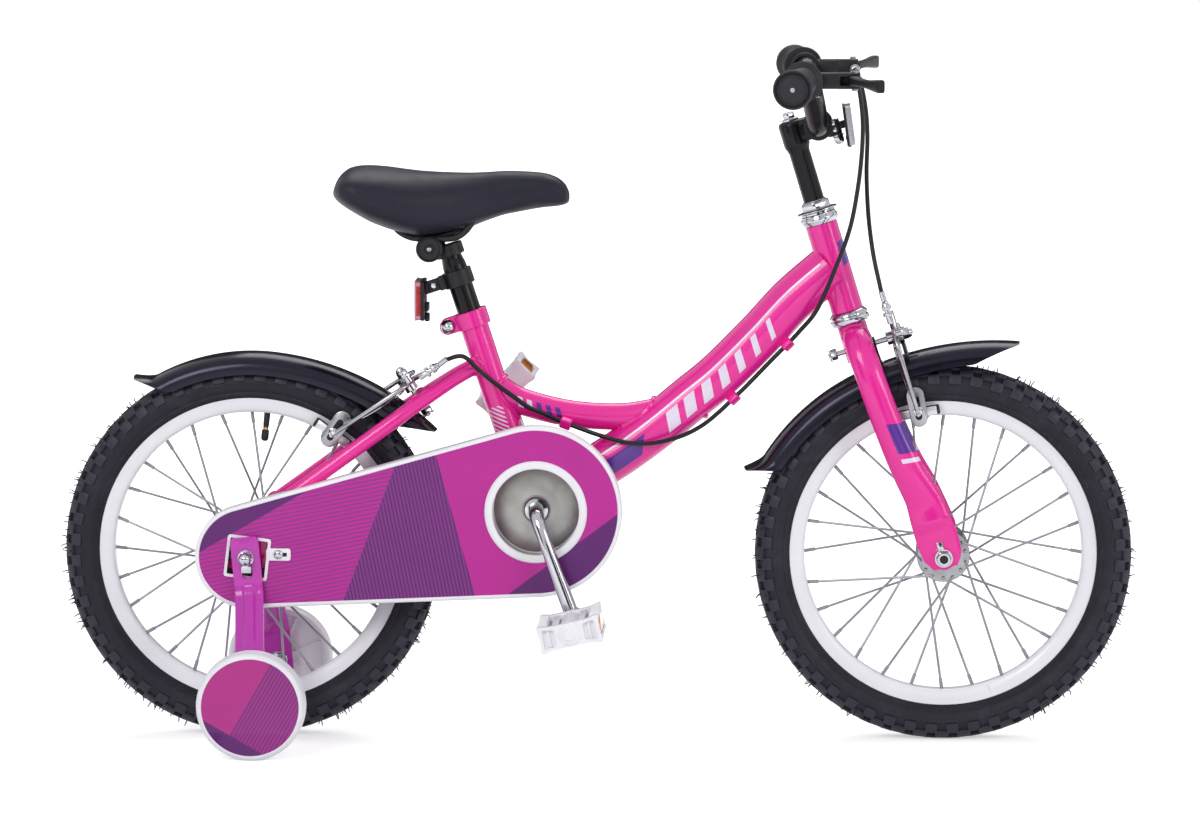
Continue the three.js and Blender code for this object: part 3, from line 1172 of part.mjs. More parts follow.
const crankTurn = radians(crank.angle);
const pedalPlace = (side) => {
  const sign = side < 0 ? 1 : -1;
  return point(bracketX + sign * crank.length * Math.sin(crankTurn), 0,
    bracketZ - sign * crank.length * Math.cos(crankTurn));
};

function makeCrank() {
  const along = (sign, reach, y) => point(
    bracketX + sign * reach * Math.sin(crankTurn), y, bracketZ - sign * reach * Math.cos(crankTurn),
  );
  const near = [
    along(1, crank.length, -crank.near), along(1, crank.length * 0.6, -crank.near + 2.5),
      along(1, crank.elbow + 12, -crank.near + 6),
    along(1, 7, -crank.near + 14), along(0, 0, -crank.nearElbow), along(0, 0, -crank.nearElbow + 15),
  ];
  const far = [
    along(0, 0, crank.farElbow - 14), along(0, 0, crank.farElbow), along(-1, 7, crank.far - 13),
      along(-1, crank.elbow + 12, crank.far - 6),
    along(-1, crank.length * 0.6, crank.far - 2.5), along(-1, crank.length, crank.far),
  ];
  const crankArm = tube(smooth([...near, ...far]), crank.radius, flats.small, crank.steps,
    point(Math.cos(crankTurn), 0, Math.sin(crankTurn)));
  const parts = [crankArm];
  for (const side of [-1, 1]) {
    const at = pedalPlace(side);
    const reach = side < 0 ? crank.near : crank.far;
    const y = (amount) => side * (reach + amount);
    parts.push(acrossRod(at.x, at.z, y(-crank.bossWidth / 2), y(crank.bossWidth / 2), crank.bossRadius,
      flats.bar));
    parts.push(acrossRod(at.x, at.z, y(0), y(crank.spindleLength), crank.spindle, flats.small));
  }
  const ringFace = chain.side - ring.thick / 2 - slip;
  parts.push(acrossRod(bracketX, bracketZ, ringFace - crank.nutThick, ringFace, crank.nutRadius,
    flats.bar));
  const inFace = chain.side + ring.thick / 2 + slip;
  parts.push(acrossRod(bracketX, bracketZ, inFace, inFace + 1.6, crank.nutRadius, flats.bar));
  add('crank', join(parts), 'chrome');
}

function makePedal(side, tilt) {
  const reach = side < 0 ? crank.near : crank.far;
  const inner = reach + crank.bossWidth / 2 + pedal.gap;
  const outer = inner + pedal.width;
  const half = pedal.length / 2;
  const quarter = [
    [half - 2, 0], [half, pedal.endHeight / 2 - 2], [half - 2, pedal.endHeight / 2],
      [half - pedal.endLength, pedal.height / 2],
  ];
  const upper = [...quarter, ...quarter.map(([x, z]) => [-x, z]).reverse()];
  const shape = shapeOf([...upper, ...upper.slice(1, -1).map(([x, z]) => [x, -z]).reverse()]);
  const body = sidePlate(shape, inner, outer);
  const middle = (inner + outer) / 2;
  const windows = [-1, 1].map((end) => block(
    end * (pedal.barrelRadius + pedal.windowLength / 2 - 1), middle, 0, pedal.windowLength,
      pedal.windowWidth, pedal.endHeight + overrun,
  ));
  const cap = acrossRod(0, 0, inner, outer + 2, pedal.barrelRadius, flats.bar);
  const bore = acrossRod(0, 0, inner - overrun, outer - 4, boreFor(crank.spindle, flats.small),
    flats.small);
  const whole = geometryOf(cut(join(cut(body, windows), cap), bore)).rotateY(-radians(tilt));
  const at = pedalPlace(side);
  return (side < 0 ? mirrored(whole) : whole).translate(at.x, 0, at.z);
}

// Chain guard

function guardShape(inset) {
  const big = guard.bigRadius - inset;
  const small = guard.smallRadius - inset;
  const across = Math.hypot(chainTo.x - bracketX, chainTo.z - bracketZ);
  const line = Math.atan2(bracketZ - chainTo.z, bracketX - chainTo.x);
  const taper = Math.asin((big - small) / across);
  const shape = new THREE.Shape();
  shape.absarc(bracketX, bracketZ, big, line - Math.PI / 2 - taper, line + Math.PI / 2 + taper, false);
  shape.absarc(chainTo.x, chainTo.z, small, line + Math.PI / 2 + taper,
    line - Math.PI / 2 - taper + 2 * Math.PI, false);
  return shape;
}

function makeGuard() {
  const inner = guard.face + guard.depth;
  const outerForm = sidePlate(guardShape(0), guard.face, inner + guard.bevel, guard.bevel);
  const hollow = sidePlate(guardShape(guard.wall + 0.6), guard.face + guard.wall, inner + 2 * overrun);
  const trim = block((bracketX + chainTo.x) / 2, inner + 10, bracketZ, wheelbase, 20, 2 * wheelbase);
  const lip = acrossRod(bracketX, bracketZ, guard.face - guard.ringProud, guard.face + guard.wall,
    guard.ringRadius, 28);
  const mouth = acrossRod(bracketX, bracketZ, guard.face - overrun, guard.face + 2 * overrun,
    guard.hole, 28);
  const turn = radians(guard.windowTurn);
  const windowBlock = (grow, from, to) => block(0, (from + to) / 2, 0, guard.windowLength + grow,
    to - from, guard.windowHeight + grow)
    .rotateY(turn).translate(chainTo.x + 1, 0, chainTo.z - 0.5);
  const frameEdge = windowBlock(2 * guard.frame, guard.face - 1.2, guard.face + guard.wall);
  const opening = windowBlock(0, guard.face - overrun, guard.face + 2 * overrun);
  const tab = block(chainTo.x + guard.tabReach, guard.face - 0.6, chainTo.z + 3, guard.tabLength, 1.4,
    guard.tabHeight);
  const seat = -stay.endSide - stay.endHalf - slip;
  const screw = acrossRod(chainTo.x + guard.tabReach, chainTo.z + 3, guard.face - 3.4, seat,
    guard.screwRadius, flats.small);
  const clears = [
    tube(seatStayCurve(-1), seatStay.radius + guard.stayGap, flats.small, seatStay.steps),
    tube(chainStayCurve(-1), chainStay.radius + guard.stayGap, flats.small, chainStay.steps),
    block(chainTo.x + 10, -dropout.gap / 2 - dropout.thick / 2, chainTo.z + 20, 90,
      dropout.thick + 2 * slip, 100),
  ];
  const shell = cut(outerForm, hollow, trim);
  const cover = cut(join(shell, lip, frameEdge, tab), mouth, opening, clears);
  add('chain_guard', join(cover, screw), 'guard');
}

// Stabilisers

function makeStabiliserArm(side) {
  const t = stabiliser.armThick / 2;
  const { topSide, footSide, armTop, bendAt, footTop, footEnd } = stabiliser;
  const shape = shapeOf([
    [topSide - t, armTop], [topSide + t, armTop], [topSide + t, -bendAt], [footSide + t, -footTop + 1],
      [footSide + t, -footEnd],
    [footSide - t, -footEnd], [footSide - t, -footTop - 1], [topSide - t, -bendAt - 2],
  ]);
  const half = stabiliser.armWidth / 2;
  const plate = frontPlate(shape, -half, half);
  const boss = acrossRod(0, 0, stabiliser.bossFrom, topSide, stabiliser.bossRadius, flats.bar);
  const ribShape = shapeOf([
    [topSide, -26], [topSide + t + stabiliser.ribProud, -32],
      [topSide + t + stabiliser.ribProud, -bendAt + 1],
    [footSide + t + stabiliser.ribProud - 3, -footTop + 4], [footSide, -footTop - 4], [topSide, -bendAt],
  ]);
  const ribBody = frontPlate(ribShape, -stabiliser.rib / 2, stabiliser.rib / 2);
  const across = (z, from, to, radius, sides) => acrossRod(0, z, from, to, radius, sides);
  const bore = stabiliser.bore;
  const slotRound = across(0, stabiliser.bossFrom - overrun, topSide + overrun, bore, flats.small);
  const slotLow = across(-stabiliser.slotDrop, topSide - overrun, topSide + overrun, bore, flats.small);
  const slotRun = block(0, topSide, -stabiliser.slotDrop / 2, 2 * bore * 0.95, 2 * overrun,
    stabiliser.slotDrop);
  const { drop, pin, headRadius, headThick, pinLength } = stabiliser;
  const bolt = across(-drop, footSide - t - 1, footSide + t + pinLength, pin, flats.small);
  const head = across(-drop, footSide - t - headThick, footSide - t + 0.5, headRadius, 6);
  const whole = join(cut(join(plate, boss, ribBody), slotRound, slotLow, slotRun), bolt, head);
  const geometry = geometryOf(whole).rotateY(-radians(stabiliser.lean)).translate(rearAxle.x, 0,
    rearAxle.z);
  return side < 0 ? mirrored(geometry) : geometry;
}

function makeStabiliserWheel(side) {
  const { radius, width, inner, wall, rimWall, hubRadius, pin } = stabiliser;
  const outer = inner + width;
  const bore = boreFor(pin, flats.small) + slip;
  const profile = [
    [0, outer + 1], [radius - 6, outer], [radius - 2, outer - 3], [radius, outer - 8],
    [radius, inner + 6], [radius - 5, inner], [radius - rimWall, inner + 1],
      [radius - rimWall - 2, outer - wall],
    [hubRadius, outer - wall], [hubRadius, inner + 1], [bore, inner + 1], [bore, outer - wall - 2],
      [0, outer - wall - 2],
  ];
  const height = stabiliser.radius * Math.cos(Math.PI / flats.disc);
  const lean = radians(stabiliser.lean);
  const x = rearAxle.x + stabiliser.drop * Math.sin(lean);
  const geometry = turned(profile, point(0, 0, 0), acrossAxis, flats.disc,
    false).rotateY(Math.PI / flats.disc);
  geometry.translate(x, 0, height);
  return side < 0 ? mirrored(geometry) : geometry;
}

function addStabilisers() {
  for (const [name, side] of [['right', -1], ['left', 1]]) {
    add(`stabiliser_arm_${name}`, makeStabiliserArm(side), 'magenta');
    add(`stabiliser_wheel_${name}`, makeStabiliserWheel(side), 'white');
  }
}

// Seat post, saddle and rear reflector, in the seat frame where they follow the post

function addPost() {
  add('seat_post', join(
    rod(point(0, 0, post.from), point(0, 0, post.shoulder), post.radius, flats.tube),
    rod(point(0, 0, post.shoulder), point(0, 0, post.neckFrom), post.radius, flats.tube, post.neck),
    rod(point(0, 0, post.neckFrom), point(0, 0, post.to), post.neck, flats.tube),
  ), 'black', seatGroup);
  const sides = flats.tube;
  const socket = rod(point(0, 0, clamp.from), point(0, 0, clamp.to), clamp.radius, sides);
  const reach = block(-clamp.barrelBack * 0.7, 0, clamp.barrelAt - 2, clamp.barrelBack * 0.9,
    2 * clamp.halfWidth, 11);
  const barrel = acrossRod(-clamp.barrelBack, clamp.barrelAt, -clamp.halfWidth, clamp.halfWidth,
    clamp.barrelRadius, flats.small);
  const bore = rod(point(0, 0, clamp.from - overrun), point(0, 0, clamp.to + overrun),
    boreFor(post.neck, sides), sides);
  add('saddle_clamp', cut(join(socket, reach, barrel), bore), 'black', seatGroup);

  const { at, ringRadius, ringWidth, armLength, armHeight, armWidth, height, width, thick,
    drop } = rearReflector;
  const band = rod(point(0, 0, at - ringWidth / 2), point(0, 0, at + ringWidth / 2), ringRadius, sides);
  const arm = block(-post.radius - armLength / 2, 0, at, armLength, armWidth, armHeight);
  const hole = rod(point(0, 0, at - ringWidth), point(0, 0, at + ringWidth),
    boreFor(post.radius, sides), sides);
  const lens = block(0, 0, 0, thick, width, height).rotateY(-radians(seatAngle - 90));
  lens.translate(-post.radius - armLength, 0, at - drop);
  add('rear_reflector', cut(join(band, arm, lens), hole), 'red', seatGroup);
}

// Saddle sections from nose to tail: place along, half width, top, lower edge, as shares.
const saddleShares = [
  [0.0, 0.06, 0.6, 0.52], [0.03, 0.2, 0.85, 0.5], [0.09, 0.28, 0.945, 0.47], [0.18, 0.33, 0.96, 0.42],
  [0.3, 0.38, 0.945, 0.34], [0.42, 0.46, 0.93, 0.26], [0.54, 0.62, 0.93, 0.14], [0.64, 0.8, 0.95, 0.04],
  [0.74, 0.94, 0.975, 0.04], [0.83, 1.0, 1.0, 0.14], [0.91, 0.98, 1.0, 0.3], [0.965, 0.86, 0.96, 0.42],
    [1.0, 0.5, 0.78, 0.56],
];
const saddleEye = seated(-clamp.barrelBack, 0, clamp.barrelAt);
const saddleBase = saddleEye.z + saddle.overEye;

function makeSaddleCover() {
  const steps = saddleShares.length - 1;
  const front = saddleEye.x + saddle.ahead;
  const back = saddleEye.x - saddle.behind;
  const geometry = new THREE.CylinderGeometry(1, 1, 1, saddle.sides, steps);
  const places = geometry.attributes.position;
  for (let i = 0; i < places.count; i += 1) {
    const [along, half, top, bottom] = saddleShares[Math.round((places.getY(i) + 0.5) * steps)];
    const across = places.getX(i);
    const up = places.getZ(i);
    const low = saddleBase + saddle.height * bottom;
    const high = saddleBase + saddle.height * top;
    const side = Math.sign(across) * Math.abs(across) ** 0.8;
    const rise = Math.sign(up) * Math.abs(up) ** 0.75;
    const height = THREE.MathUtils.lerp(low, high, (rise + 1) / 2);
    const pull = up < 0 ? 1 + saddle.tuck * up : 1;
    places.setXYZ(i, THREE.MathUtils.lerp(front, back, along), side * half * saddle.halfWidth * pull,
      height);
  }
  return geometry;
}

function makeSaddleBase() {
  const parts = [];
  for (const side of [-1, 1]) {
    const route = smooth(rail.places.map(([forward, share, above]) => point(
      saddleEye.x + forward, side * rail.side * share, saddleBase + above,
    )));
    parts.push(tube(route, rail.radius, rail.sides, rail.steps));
    const from = clamp.halfWidth + 2 * slip;
    parts.push(acrossRod(saddleEye.x, saddleEye.z, side * from, side * (from + rail.eyeThick),
      rail.eyeRadius, flats.bar));
  }
  const outline = [...pan.half, [pan.tail, 0],
    ...pan.half.map(([forward, side]) => [forward, -side]).reverse()];
  const plate = new THREE.ExtrudeGeometry(shapeOf(outline), { depth: pan.thick, bevelEnabled: false });
  return join(parts, plate.translate(saddleEye.x, 0, saddleBase + pan.above));
}

makeCollar();
makeHeadset();
makeBracketCups();
makeFork();
makeStem();
makeBar();
addLevers();
makeFrontReflector();
addMudguards();
addDrive();
makeCrank();
add('pedal_right', makePedal(-1, pedal.nearTilt), 'white');
add('pedal_left', makePedal(1, pedal.farTilt), 'white');
makeGuard();
addStabilisers();
addPost();
const cover = makeSaddleCover();
const base = makeSaddleBase();
add('saddle_cover', cover, 'softBlack');
add('saddle_base', cut(base, cover), 'black');

export default bicycle;
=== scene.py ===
import json
import math
import random

import bmesh
import bpy
from mathutils import Matrix, Vector
from mathutils.bvhtree import BVHTree


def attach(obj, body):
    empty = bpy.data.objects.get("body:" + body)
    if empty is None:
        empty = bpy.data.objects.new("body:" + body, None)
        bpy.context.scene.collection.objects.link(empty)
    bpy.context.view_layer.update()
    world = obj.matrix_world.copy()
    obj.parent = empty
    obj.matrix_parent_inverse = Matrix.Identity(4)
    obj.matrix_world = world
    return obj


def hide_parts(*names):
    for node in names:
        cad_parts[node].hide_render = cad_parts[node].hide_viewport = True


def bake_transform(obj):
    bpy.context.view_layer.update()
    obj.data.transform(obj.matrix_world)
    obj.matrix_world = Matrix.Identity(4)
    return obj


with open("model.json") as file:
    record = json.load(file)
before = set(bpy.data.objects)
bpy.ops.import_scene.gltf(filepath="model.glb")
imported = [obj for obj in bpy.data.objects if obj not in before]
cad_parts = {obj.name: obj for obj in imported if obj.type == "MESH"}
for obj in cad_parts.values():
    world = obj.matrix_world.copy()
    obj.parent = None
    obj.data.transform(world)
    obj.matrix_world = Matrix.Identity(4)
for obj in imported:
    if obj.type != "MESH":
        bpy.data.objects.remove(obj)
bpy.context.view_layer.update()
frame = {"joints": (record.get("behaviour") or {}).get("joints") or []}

# Studio
# A seamless pale floor in a soft white room, with three broad lamps. Four dark cards stand
# out of sight round the stage, so that the bright metal has something to mirror.


def add_node(tree, kind, inputs=None, **settings):
    """A shader node whose sockets take either a value or another node's output."""
    made = tree.nodes.new("ShaderNode" + kind)
    for name, value in settings.items():
        setattr(made, name, value)
    for name, value in (inputs or {}).items():
        if isinstance(value, bpy.types.NodeSocket):
            tree.links.new(value, made.inputs[name])
        else:
            made.inputs[name].default_value = value
    return made


def sum_of(tree, first, second, operation="ADD"):
    return add_node(tree, "Math", {0: first, 1: second}, operation=operation).outputs[0]


def seen_directly(tree):
    """1 for rays that look straight, by a mirror or through glass, else 0."""
    rays = add_node(tree, "LightPath")
    mirrored = sum_of(tree, rays.outputs["Is Glossy Ray"], rays.outputs["Is Transmission Ray"])
    return sum_of(tree, rays.outputs["Is Camera Ray"], mirrored)


scene = bpy.context.scene
scene.view_settings.view_transform = "Standard"

camera_turn = math.radians(2.197)
camera_rise = math.radians(6.661)
camera_target = Vector((0.00315, 0.0, 0.34744))
camera_distance = 5.8417
camera_back = Vector((
    math.sin(camera_turn) * math.cos(camera_rise),
    -math.cos(camera_turn) * math.cos(camera_rise),
    math.sin(camera_rise),
))
camera = bpy.data.objects.new("camera", bpy.data.cameras.new("camera"))
camera.data.lens = 164.8
camera.data.sensor_width = 36.0
camera.location = camera_target + camera_back * camera_distance
camera.rotation_mode = "QUATERNION"
camera.rotation_quaternion = (-camera_back).to_track_quat("-Z", "Y")
scene.collection.objects.link(camera)
scene.camera = camera


def add_lamp(name, place, size, power):
    lamp = bpy.data.lights.new(name, "AREA")
    lamp.size = size
    lamp.energy = power
    made = bpy.data.objects.new(name, lamp)
    made.location = place
    made.rotation_mode = "QUATERNION"
    made.rotation_quaternion = (camera_target - Vector(place)).to_track_quat("-Z", "Y")
    scene.collection.objects.link(made)


add_lamp("lamp_front", (-1.6, -3.2, 2.3), 1.5, 50.0)
add_lamp("lamp_side", (2.9, -2.2, 1.5), 1.3, 30.0)
add_lamp("lamp_above", (0.2, 1.9, 3.0), 2.2, 40.0)

world = bpy.data.worlds.new("white_room")
world.use_nodes = True
scene.world = world
room = world.node_tree
room.nodes.clear()
room_light = add_node(room, "Background", {"Color": (0.95, 0.97, 1.0, 1.0), "Strength": 0.5})
room_white = add_node(room, "Background", {"Color": (1.0, 1.0, 1.0, 1.0), "Strength": 1.0})
room_mix = add_node(
    room, "MixShader", {0: seen_directly(room), 1: room_light.outputs[0], 2: room_white.outputs[0]}
)
add_node(room, "OutputWorld", {"Surface": room_mix.outputs[0]})


def put_in_scene(build, name):
    """Makes an object of a finished drawing."""
    mesh = bpy.data.meshes.new(name)
    build.to_mesh(mesh)
    build.free()
    made = bpy.data.objects.new(name, mesh)
    scene.collection.objects.link(made)
    return made


def add_board(name, half, place, paint):
    """A flat square painted on both sides."""
    build = bmesh.new()
    bmesh.ops.create_grid(build, x_segments=1, y_segments=1, size=half, matrix=place)
    made = put_in_scene(build, name)
    made.data.materials.append(paint)
    return made


floor_half = 14.0
floor_paint = bpy.data.materials.new("floor_paint")
floor_paint.use_nodes = True
floor_tree = floor_paint.node_tree
floor_shader = floor_tree.nodes["Principled BSDF"]
floor_shader.inputs["Base Color"].default_value = (0.86, 0.86, 0.87, 1.0)
floor_shader.inputs["Roughness"].default_value = 0.9
floor_shader.inputs["Emission Color"].default_value = (1.0, 1.0, 1.0, 1.0)
floor_place = add_node(floor_tree, "TexCoord").outputs["Object"]
floor_reach = add_node(floor_tree, "VectorMath", {0: floor_place}, operation="LENGTH").outputs["Value"]
floor_lift = add_node(floor_tree, "MapRange", {0: floor_reach, 1: 0.7, 2: 2.2, 3: 0.5, 4: 1.0}).outputs[0]
floor_glow = sum_of(floor_tree, seen_directly(floor_tree), floor_lift, "MULTIPLY")
floor_tree.links.new(floor_glow, floor_shader.inputs["Emission Strength"])
floor = add_board("floor", floor_half, Matrix(), floor_paint)

card_paint = bpy.data.materials.new("card_paint")
card_paint.use_nodes = True
card_shader = card_paint.node_tree.nodes["Principled BSDF"]
card_shader.inputs["Base Color"].default_value = (0.02, 0.02, 0.02, 1.0)
card_shader.inputs["Roughness"].default_value = 0.9
card_places = [
    ("card_left", -2.0, -2.4, 0.6), ("card_right", 2.2, -2.2, 0.6), ("card_middle", 0.5, -3.4, 0.6),
    ("card_back", 0.2, 3.4, 2.0),
]
for card_name, card_x, card_y, card_half in card_places:
    card_turn = Matrix.Rotation(math.atan2(card_y, card_x), 4, "Z") @ Matrix.Rotation(math.pi / 2, 4, "Y")
    card_at = Matrix.Translation((card_x, card_y, card_half)) @ card_turn
    card = add_board(card_name, card_half, card_at, card_paint)
    card.visible_camera = False
    card.visible_diffuse = False
    card.visible_shadow = False

# Frame
# A step-through frame of welded steel tubes: head tube, thick swept down tube, slim top tube, seat
# tube, crank shell and two pairs of stays with plate ends. It is sprayed glossy pink, with plain
# stripes and blocks laid on under the lacquer. Every mesh below is drawn in millimetres.

millimetre = 0.001
across = Vector((0, 1, 0))
joints = {joint["name"]: joint for joint in frame["joints"]}


def joint_place(name):
    return Vector(joints[name]["pos_m"]) / millimetre


def shift(x, y, z):
    return Matrix.Translation((x, y, z))


def on_circle(radius, turn):
    return radius * math.cos(turn), radius * math.sin(turn)


def leaning(foot, up):
    """The place and turn of a tube's own axes: x forward, z up along it."""
    up = Vector(up).normalized()
    forward = across.cross(up).normalized()
    turn = Matrix((forward, across, up)).transposed().to_4x4()
    return Matrix.Translation(foot) @ turn


rear_axle = joint_place("rear_wheel_spin")
front_axle = joint_place("front_wheel_spin")
crank_axle = joint_place("crank_spin")
steer_frame = leaning(joint_place("steering"), joints["steering"]["axis"])
seat_foot = crank_axle + Vector((-6.5, 0, 0))
seat_frame = leaning(seat_foot, joints["seat_height"]["axis"])
steer_foot = steer_frame.translation
steer_up, steer_forward = steer_frame.col[2].to_3d(), steer_frame.col[0].to_3d()
seat_up, seat_forward = seat_frame.col[2].to_3d(), seat_frame.col[0].to_3d()
upright = Matrix.Rotation(math.pi / 2, 4, "X")
hands = ((-1, "right"), (1, "left"))


def tint(code):
    """A colour written as on a paint card, in the shader's linear values."""
    shares = [int(code[place:place + 2], 16) / 255 for place in (0, 2, 4)]
    return tuple(
        share / 12.92 if share <= 0.04045 else ((share + 0.055) / 1.055) ** 2.4 for share in shares
    ) + (1,)


def along_direction(tree, place, direction):
    """How far a place lies along a direction, in metres."""
    return add_node(tree, "VectorMath", {0: place, 1: direction}, operation="DOT_PRODUCT").outputs["Value"]


def from_point(tree, place, point):
    return add_node(tree, "VectorMath", {0: place, 1: point * millimetre}, operation="SUBTRACT").outputs[0]


def blended(tree, share, under, over):
    return add_node(tree, "Mix", {0: share, 6: under, 7: over}, data_type="RGBA").outputs[2]


def surface(name, colour, roughness, metallic=0, coat=0, mottle=0.12, cloud=12,
            gloss_play=0.06, grain=900, depth=0.03, specular=0.32, cells=0):
    """A finish with cloudy colour, uneven gloss and a fine relief, which may have cells as moulded
    prisms and pressed grain do. colour is a tint or a function of the material's nodes."""
    made = bpy.data.materials.new(name)
    made.use_nodes = True
    tree = made.node_tree
    shader = tree.nodes["Principled BSDF"]
    place = add_node(tree, "TexCoord").outputs["Object"]
    base = colour(tree, place) if callable(colour) else colour
    clouds = add_node(tree, "TexNoise", {"Vector": place, "Scale": cloud, "Detail": 5}).outputs[0]
    shade = add_node(tree, "MapRange", {0: clouds, 1: 0.3, 2: 0.7, 3: 1 - mottle, 4: 1}).outputs[0]
    tone = add_node(tree, "CombineColor", {0: shade, 1: shade, 2: shade}).outputs[0]
    painted = add_node(
        tree, "Mix", {0: 1, 6: base, 7: tone}, data_type="RGBA", blend_type="MULTIPLY"
    ).outputs[2]
    tree.links.new(painted, shader.inputs["Base Color"])
    fine = add_node(tree, "TexNoise", {"Vector": place, "Scale": grain, "Detail": 3}).outputs[0]
    smears = add_node(tree, "TexNoise", {"Vector": place, "Scale": 3.1 * cloud, "Detail": 6}).outputs[0]
    gloss = add_node(
        tree, "MapRange",
        {0: smears, 1: 0.25, 2: 0.75, 3: roughness - gloss_play / 2, 4: roughness + gloss_play / 2},
    ).outputs[0]
    tree.links.new(gloss, shader.inputs["Roughness"])
    if cells:
        pebbles = add_node(tree, "TexVoronoi", {"Vector": place, "Scale": cells}).outputs["Distance"]
        fine = sum_of(tree, fine, pebbles)
    relief = add_node(
        tree, "Bump", {"Height": fine, "Strength": 1, "Distance": depth * millimetre}
    ).outputs[0]
    tree.links.new(relief, shader.inputs["Normal"])
    shader.inputs["Metallic"].default_value = metallic
    shader.inputs["Specular IOR Level"].default_value = specular
    shader.inputs["Coat Weight"].default_value = coat
    shader.inputs["Coat Roughness"].default_value = 0.05
    return made


def smooth_route(points, steps):
    """Places along a smooth curve through the given points."""
    points = [Vector(point) for point in points]
    first = points[0] * 2 - points[1]
    last = points[-1] * 2 - points[-2]
    guides = [first, *points, last]
    spans = len(points) - 1
    places = []
    for step in range(steps + 1):
        run = min(step / steps * spans, spans - 1e-9)
        span = int(run)
        t = run - span
        a, b, c, d = guides[span:span + 4]
        leave, arrive = (c - a) / 2, (d - b) / 2
        places.append(
            b + leave * t + (3 * (c - b) - 2 * leave - arrive) * t ** 2
            + (2 * (b - c) + leave + arrive) * t ** 3
        )
    return places


def between(table, share):
    """A value read from evenly spaced entries."""
    place = min(max(share, 0), 1) * (len(table) - 1)
    step = min(int(place), len(table) - 2)
    return table[step] + (table[step + 1] - table[step]) * (place - step)


def eased(table, share):
    """A value read from entries of (share, value), rounded off between them."""
    for (start, low), (stop, high) in zip(table, table[1:]):
        if share <= stop:
            part = max(0, (share - start) / (stop - start))
            return low + (high - low) * (3 - 2 * part) * part * part
    return table[-1][1]


def loft(build, rings, closed=False, material=0):
    """A skin drawn as one ring and extruded through the others, which have as many points."""
    station = build.verts.layers.int.get("station") or build.verts.layers.int.new("station")
    first = [build.verts.new(point) for point in rings[0]]
    for number, vert in enumerate(first):
        vert[station] = number
    start = [build.edges.new((first[number - 1], first[number])) for number in range(len(first))]
    edges = start
    faces = []
    for ring in rings[1:]:
        grown = bmesh.ops.extrude_edge_only(build, edges=edges)["geom"]
        verts = {item for item in grown if isinstance(item, bmesh.types.BMVert)}
        for vert in verts:
            vert.co = ring[vert[station]]
        faces += [item for item in grown if isinstance(item, bmesh.types.BMFace)]
        edges = [
            item for item in grown
            if isinstance(item, bmesh.types.BMEdge) and all(vert in verts for vert in item.verts)
        ]
    if closed:
        faces += bmesh.ops.bridge_loops(build, edges=edges + start)["faces"]
    else:
        for rim in (start, edges):
            faces += bmesh.ops.contextual_create(build, geom=rim)["faces"]
    for face in faces:
        face.material_index = material
    return faces


def ring_about(place, side, up, width, height, sides, squareness=1):
    """Points round a place: an ellipse, or with less squareness a rounder cornered block."""
    points = []
    for step in range(sides):
        angle = 2 * math.pi * step / sides
        run, rise = math.cos(angle), math.sin(angle)
        run = math.copysign(abs(run) ** squareness, run)
        rise = math.copysign(abs(rise) ** squareness, rise)
        points.append(place + side * run * width + up * rise * height)
    return points


def half_sizes(size_at, share):
    """The half sizes that a tube has at a place: one number, a pair, or a function of the share."""
    size = size_at(share) if callable(size_at) else size_at
    return size if isinstance(size, tuple) else (size, size)


def tube_rings(places, size_at, sides, reference=across, squareness=1):
    """Rings along a route. size_at gives the half sizes along the reference and across it."""
    rings = []
    last = len(places) - 1
    for step, place in enumerate(places):
        tangent = (places[min(step + 1, last)] - places[max(step - 1, 0)]).normalized()
        side = (reference - tangent * reference.dot(tangent)).normalized()
        up = side.cross(tangent)
        width, height = half_sizes(size_at, step / last)
        rings.append(ring_about(place, side, up, width, height, sides, squareness))
    return rings


def tube(build, places, size_at, sides=24, reference=across, material=0, squareness=1):
    return loft(build, tube_rings(places, size_at, sides, reference, squareness), material=material)


def straight(start, end, steps=1):
    start, end = Vector(start), Vector(end)
    return [start.lerp(end, step / steps) for step in range(steps + 1)]


def turned(build, profile, origin, axis, steps=32, material=0):
    """A lathe-turned solid: the profile's (radius, height) points spun about an axis."""
    axis = Vector(axis).normalized()
    origin = Vector(origin)
    out = axis.orthogonal().normalized()
    verts = [build.verts.new(origin + out * radius + axis * height) for radius, height in profile]
    ends_on_axis = not (profile[0][0] or profile[-1][0])
    edges = [build.edges.new(pair) for pair in zip(verts, verts[1:] + verts[:1 - ends_on_axis])]
    before = set(build.faces)
    bmesh.ops.spin(
        build, geom=verts + edges, cent=origin, axis=axis, angle=2 * math.pi, steps=steps,
        use_merge=True,
    )
    for face in build.faces:
        if face not in before:
            face.material_index = material


def pin(build, start, end, radius, steps=20, chamfer=0.6, material=0):
    """A round bar with chamfered ends."""
    start, end = Vector(start), Vector(end)
    length = (end - start).length
    chamfer = min(chamfer, length / 3, radius / 2)
    turned(build, [
        (0, 0), (radius - chamfer, 0), (radius, chamfer), (radius, length - chamfer),
        (radius - chamfer, length), (0, length),
    ], start, end - start, steps, material)


def soften(build, faces, bevel, segments, material):
    """Rounds off the edges of a set of faces and gives all of them their material."""
    edges = list({edge for face in faces for edge in face.edges})
    for face in faces:
        face.material_index = material
    if bevel > 0:
        faces |= set(bmesh.ops.bevel(
            build, geom=edges, offset=bevel, segments=segments, affect="EDGES", profile=0.5,
            material=-1, clamp_overlap=True,
        )["faces"])
    for face in faces:
        if face.is_valid:
            face.material_index = material


def block(build, size, matrix=Matrix(), bevel=1, segments=2, material=0):
    """A box with rounded edges, centred in the given frame."""
    made = bmesh.ops.create_cube(build, size=1, matrix=matrix @ Matrix.Diagonal((*size, 1)))
    soften(build, {face for vert in made["verts"] for face in vert.link_faces}, bevel, segments, material)


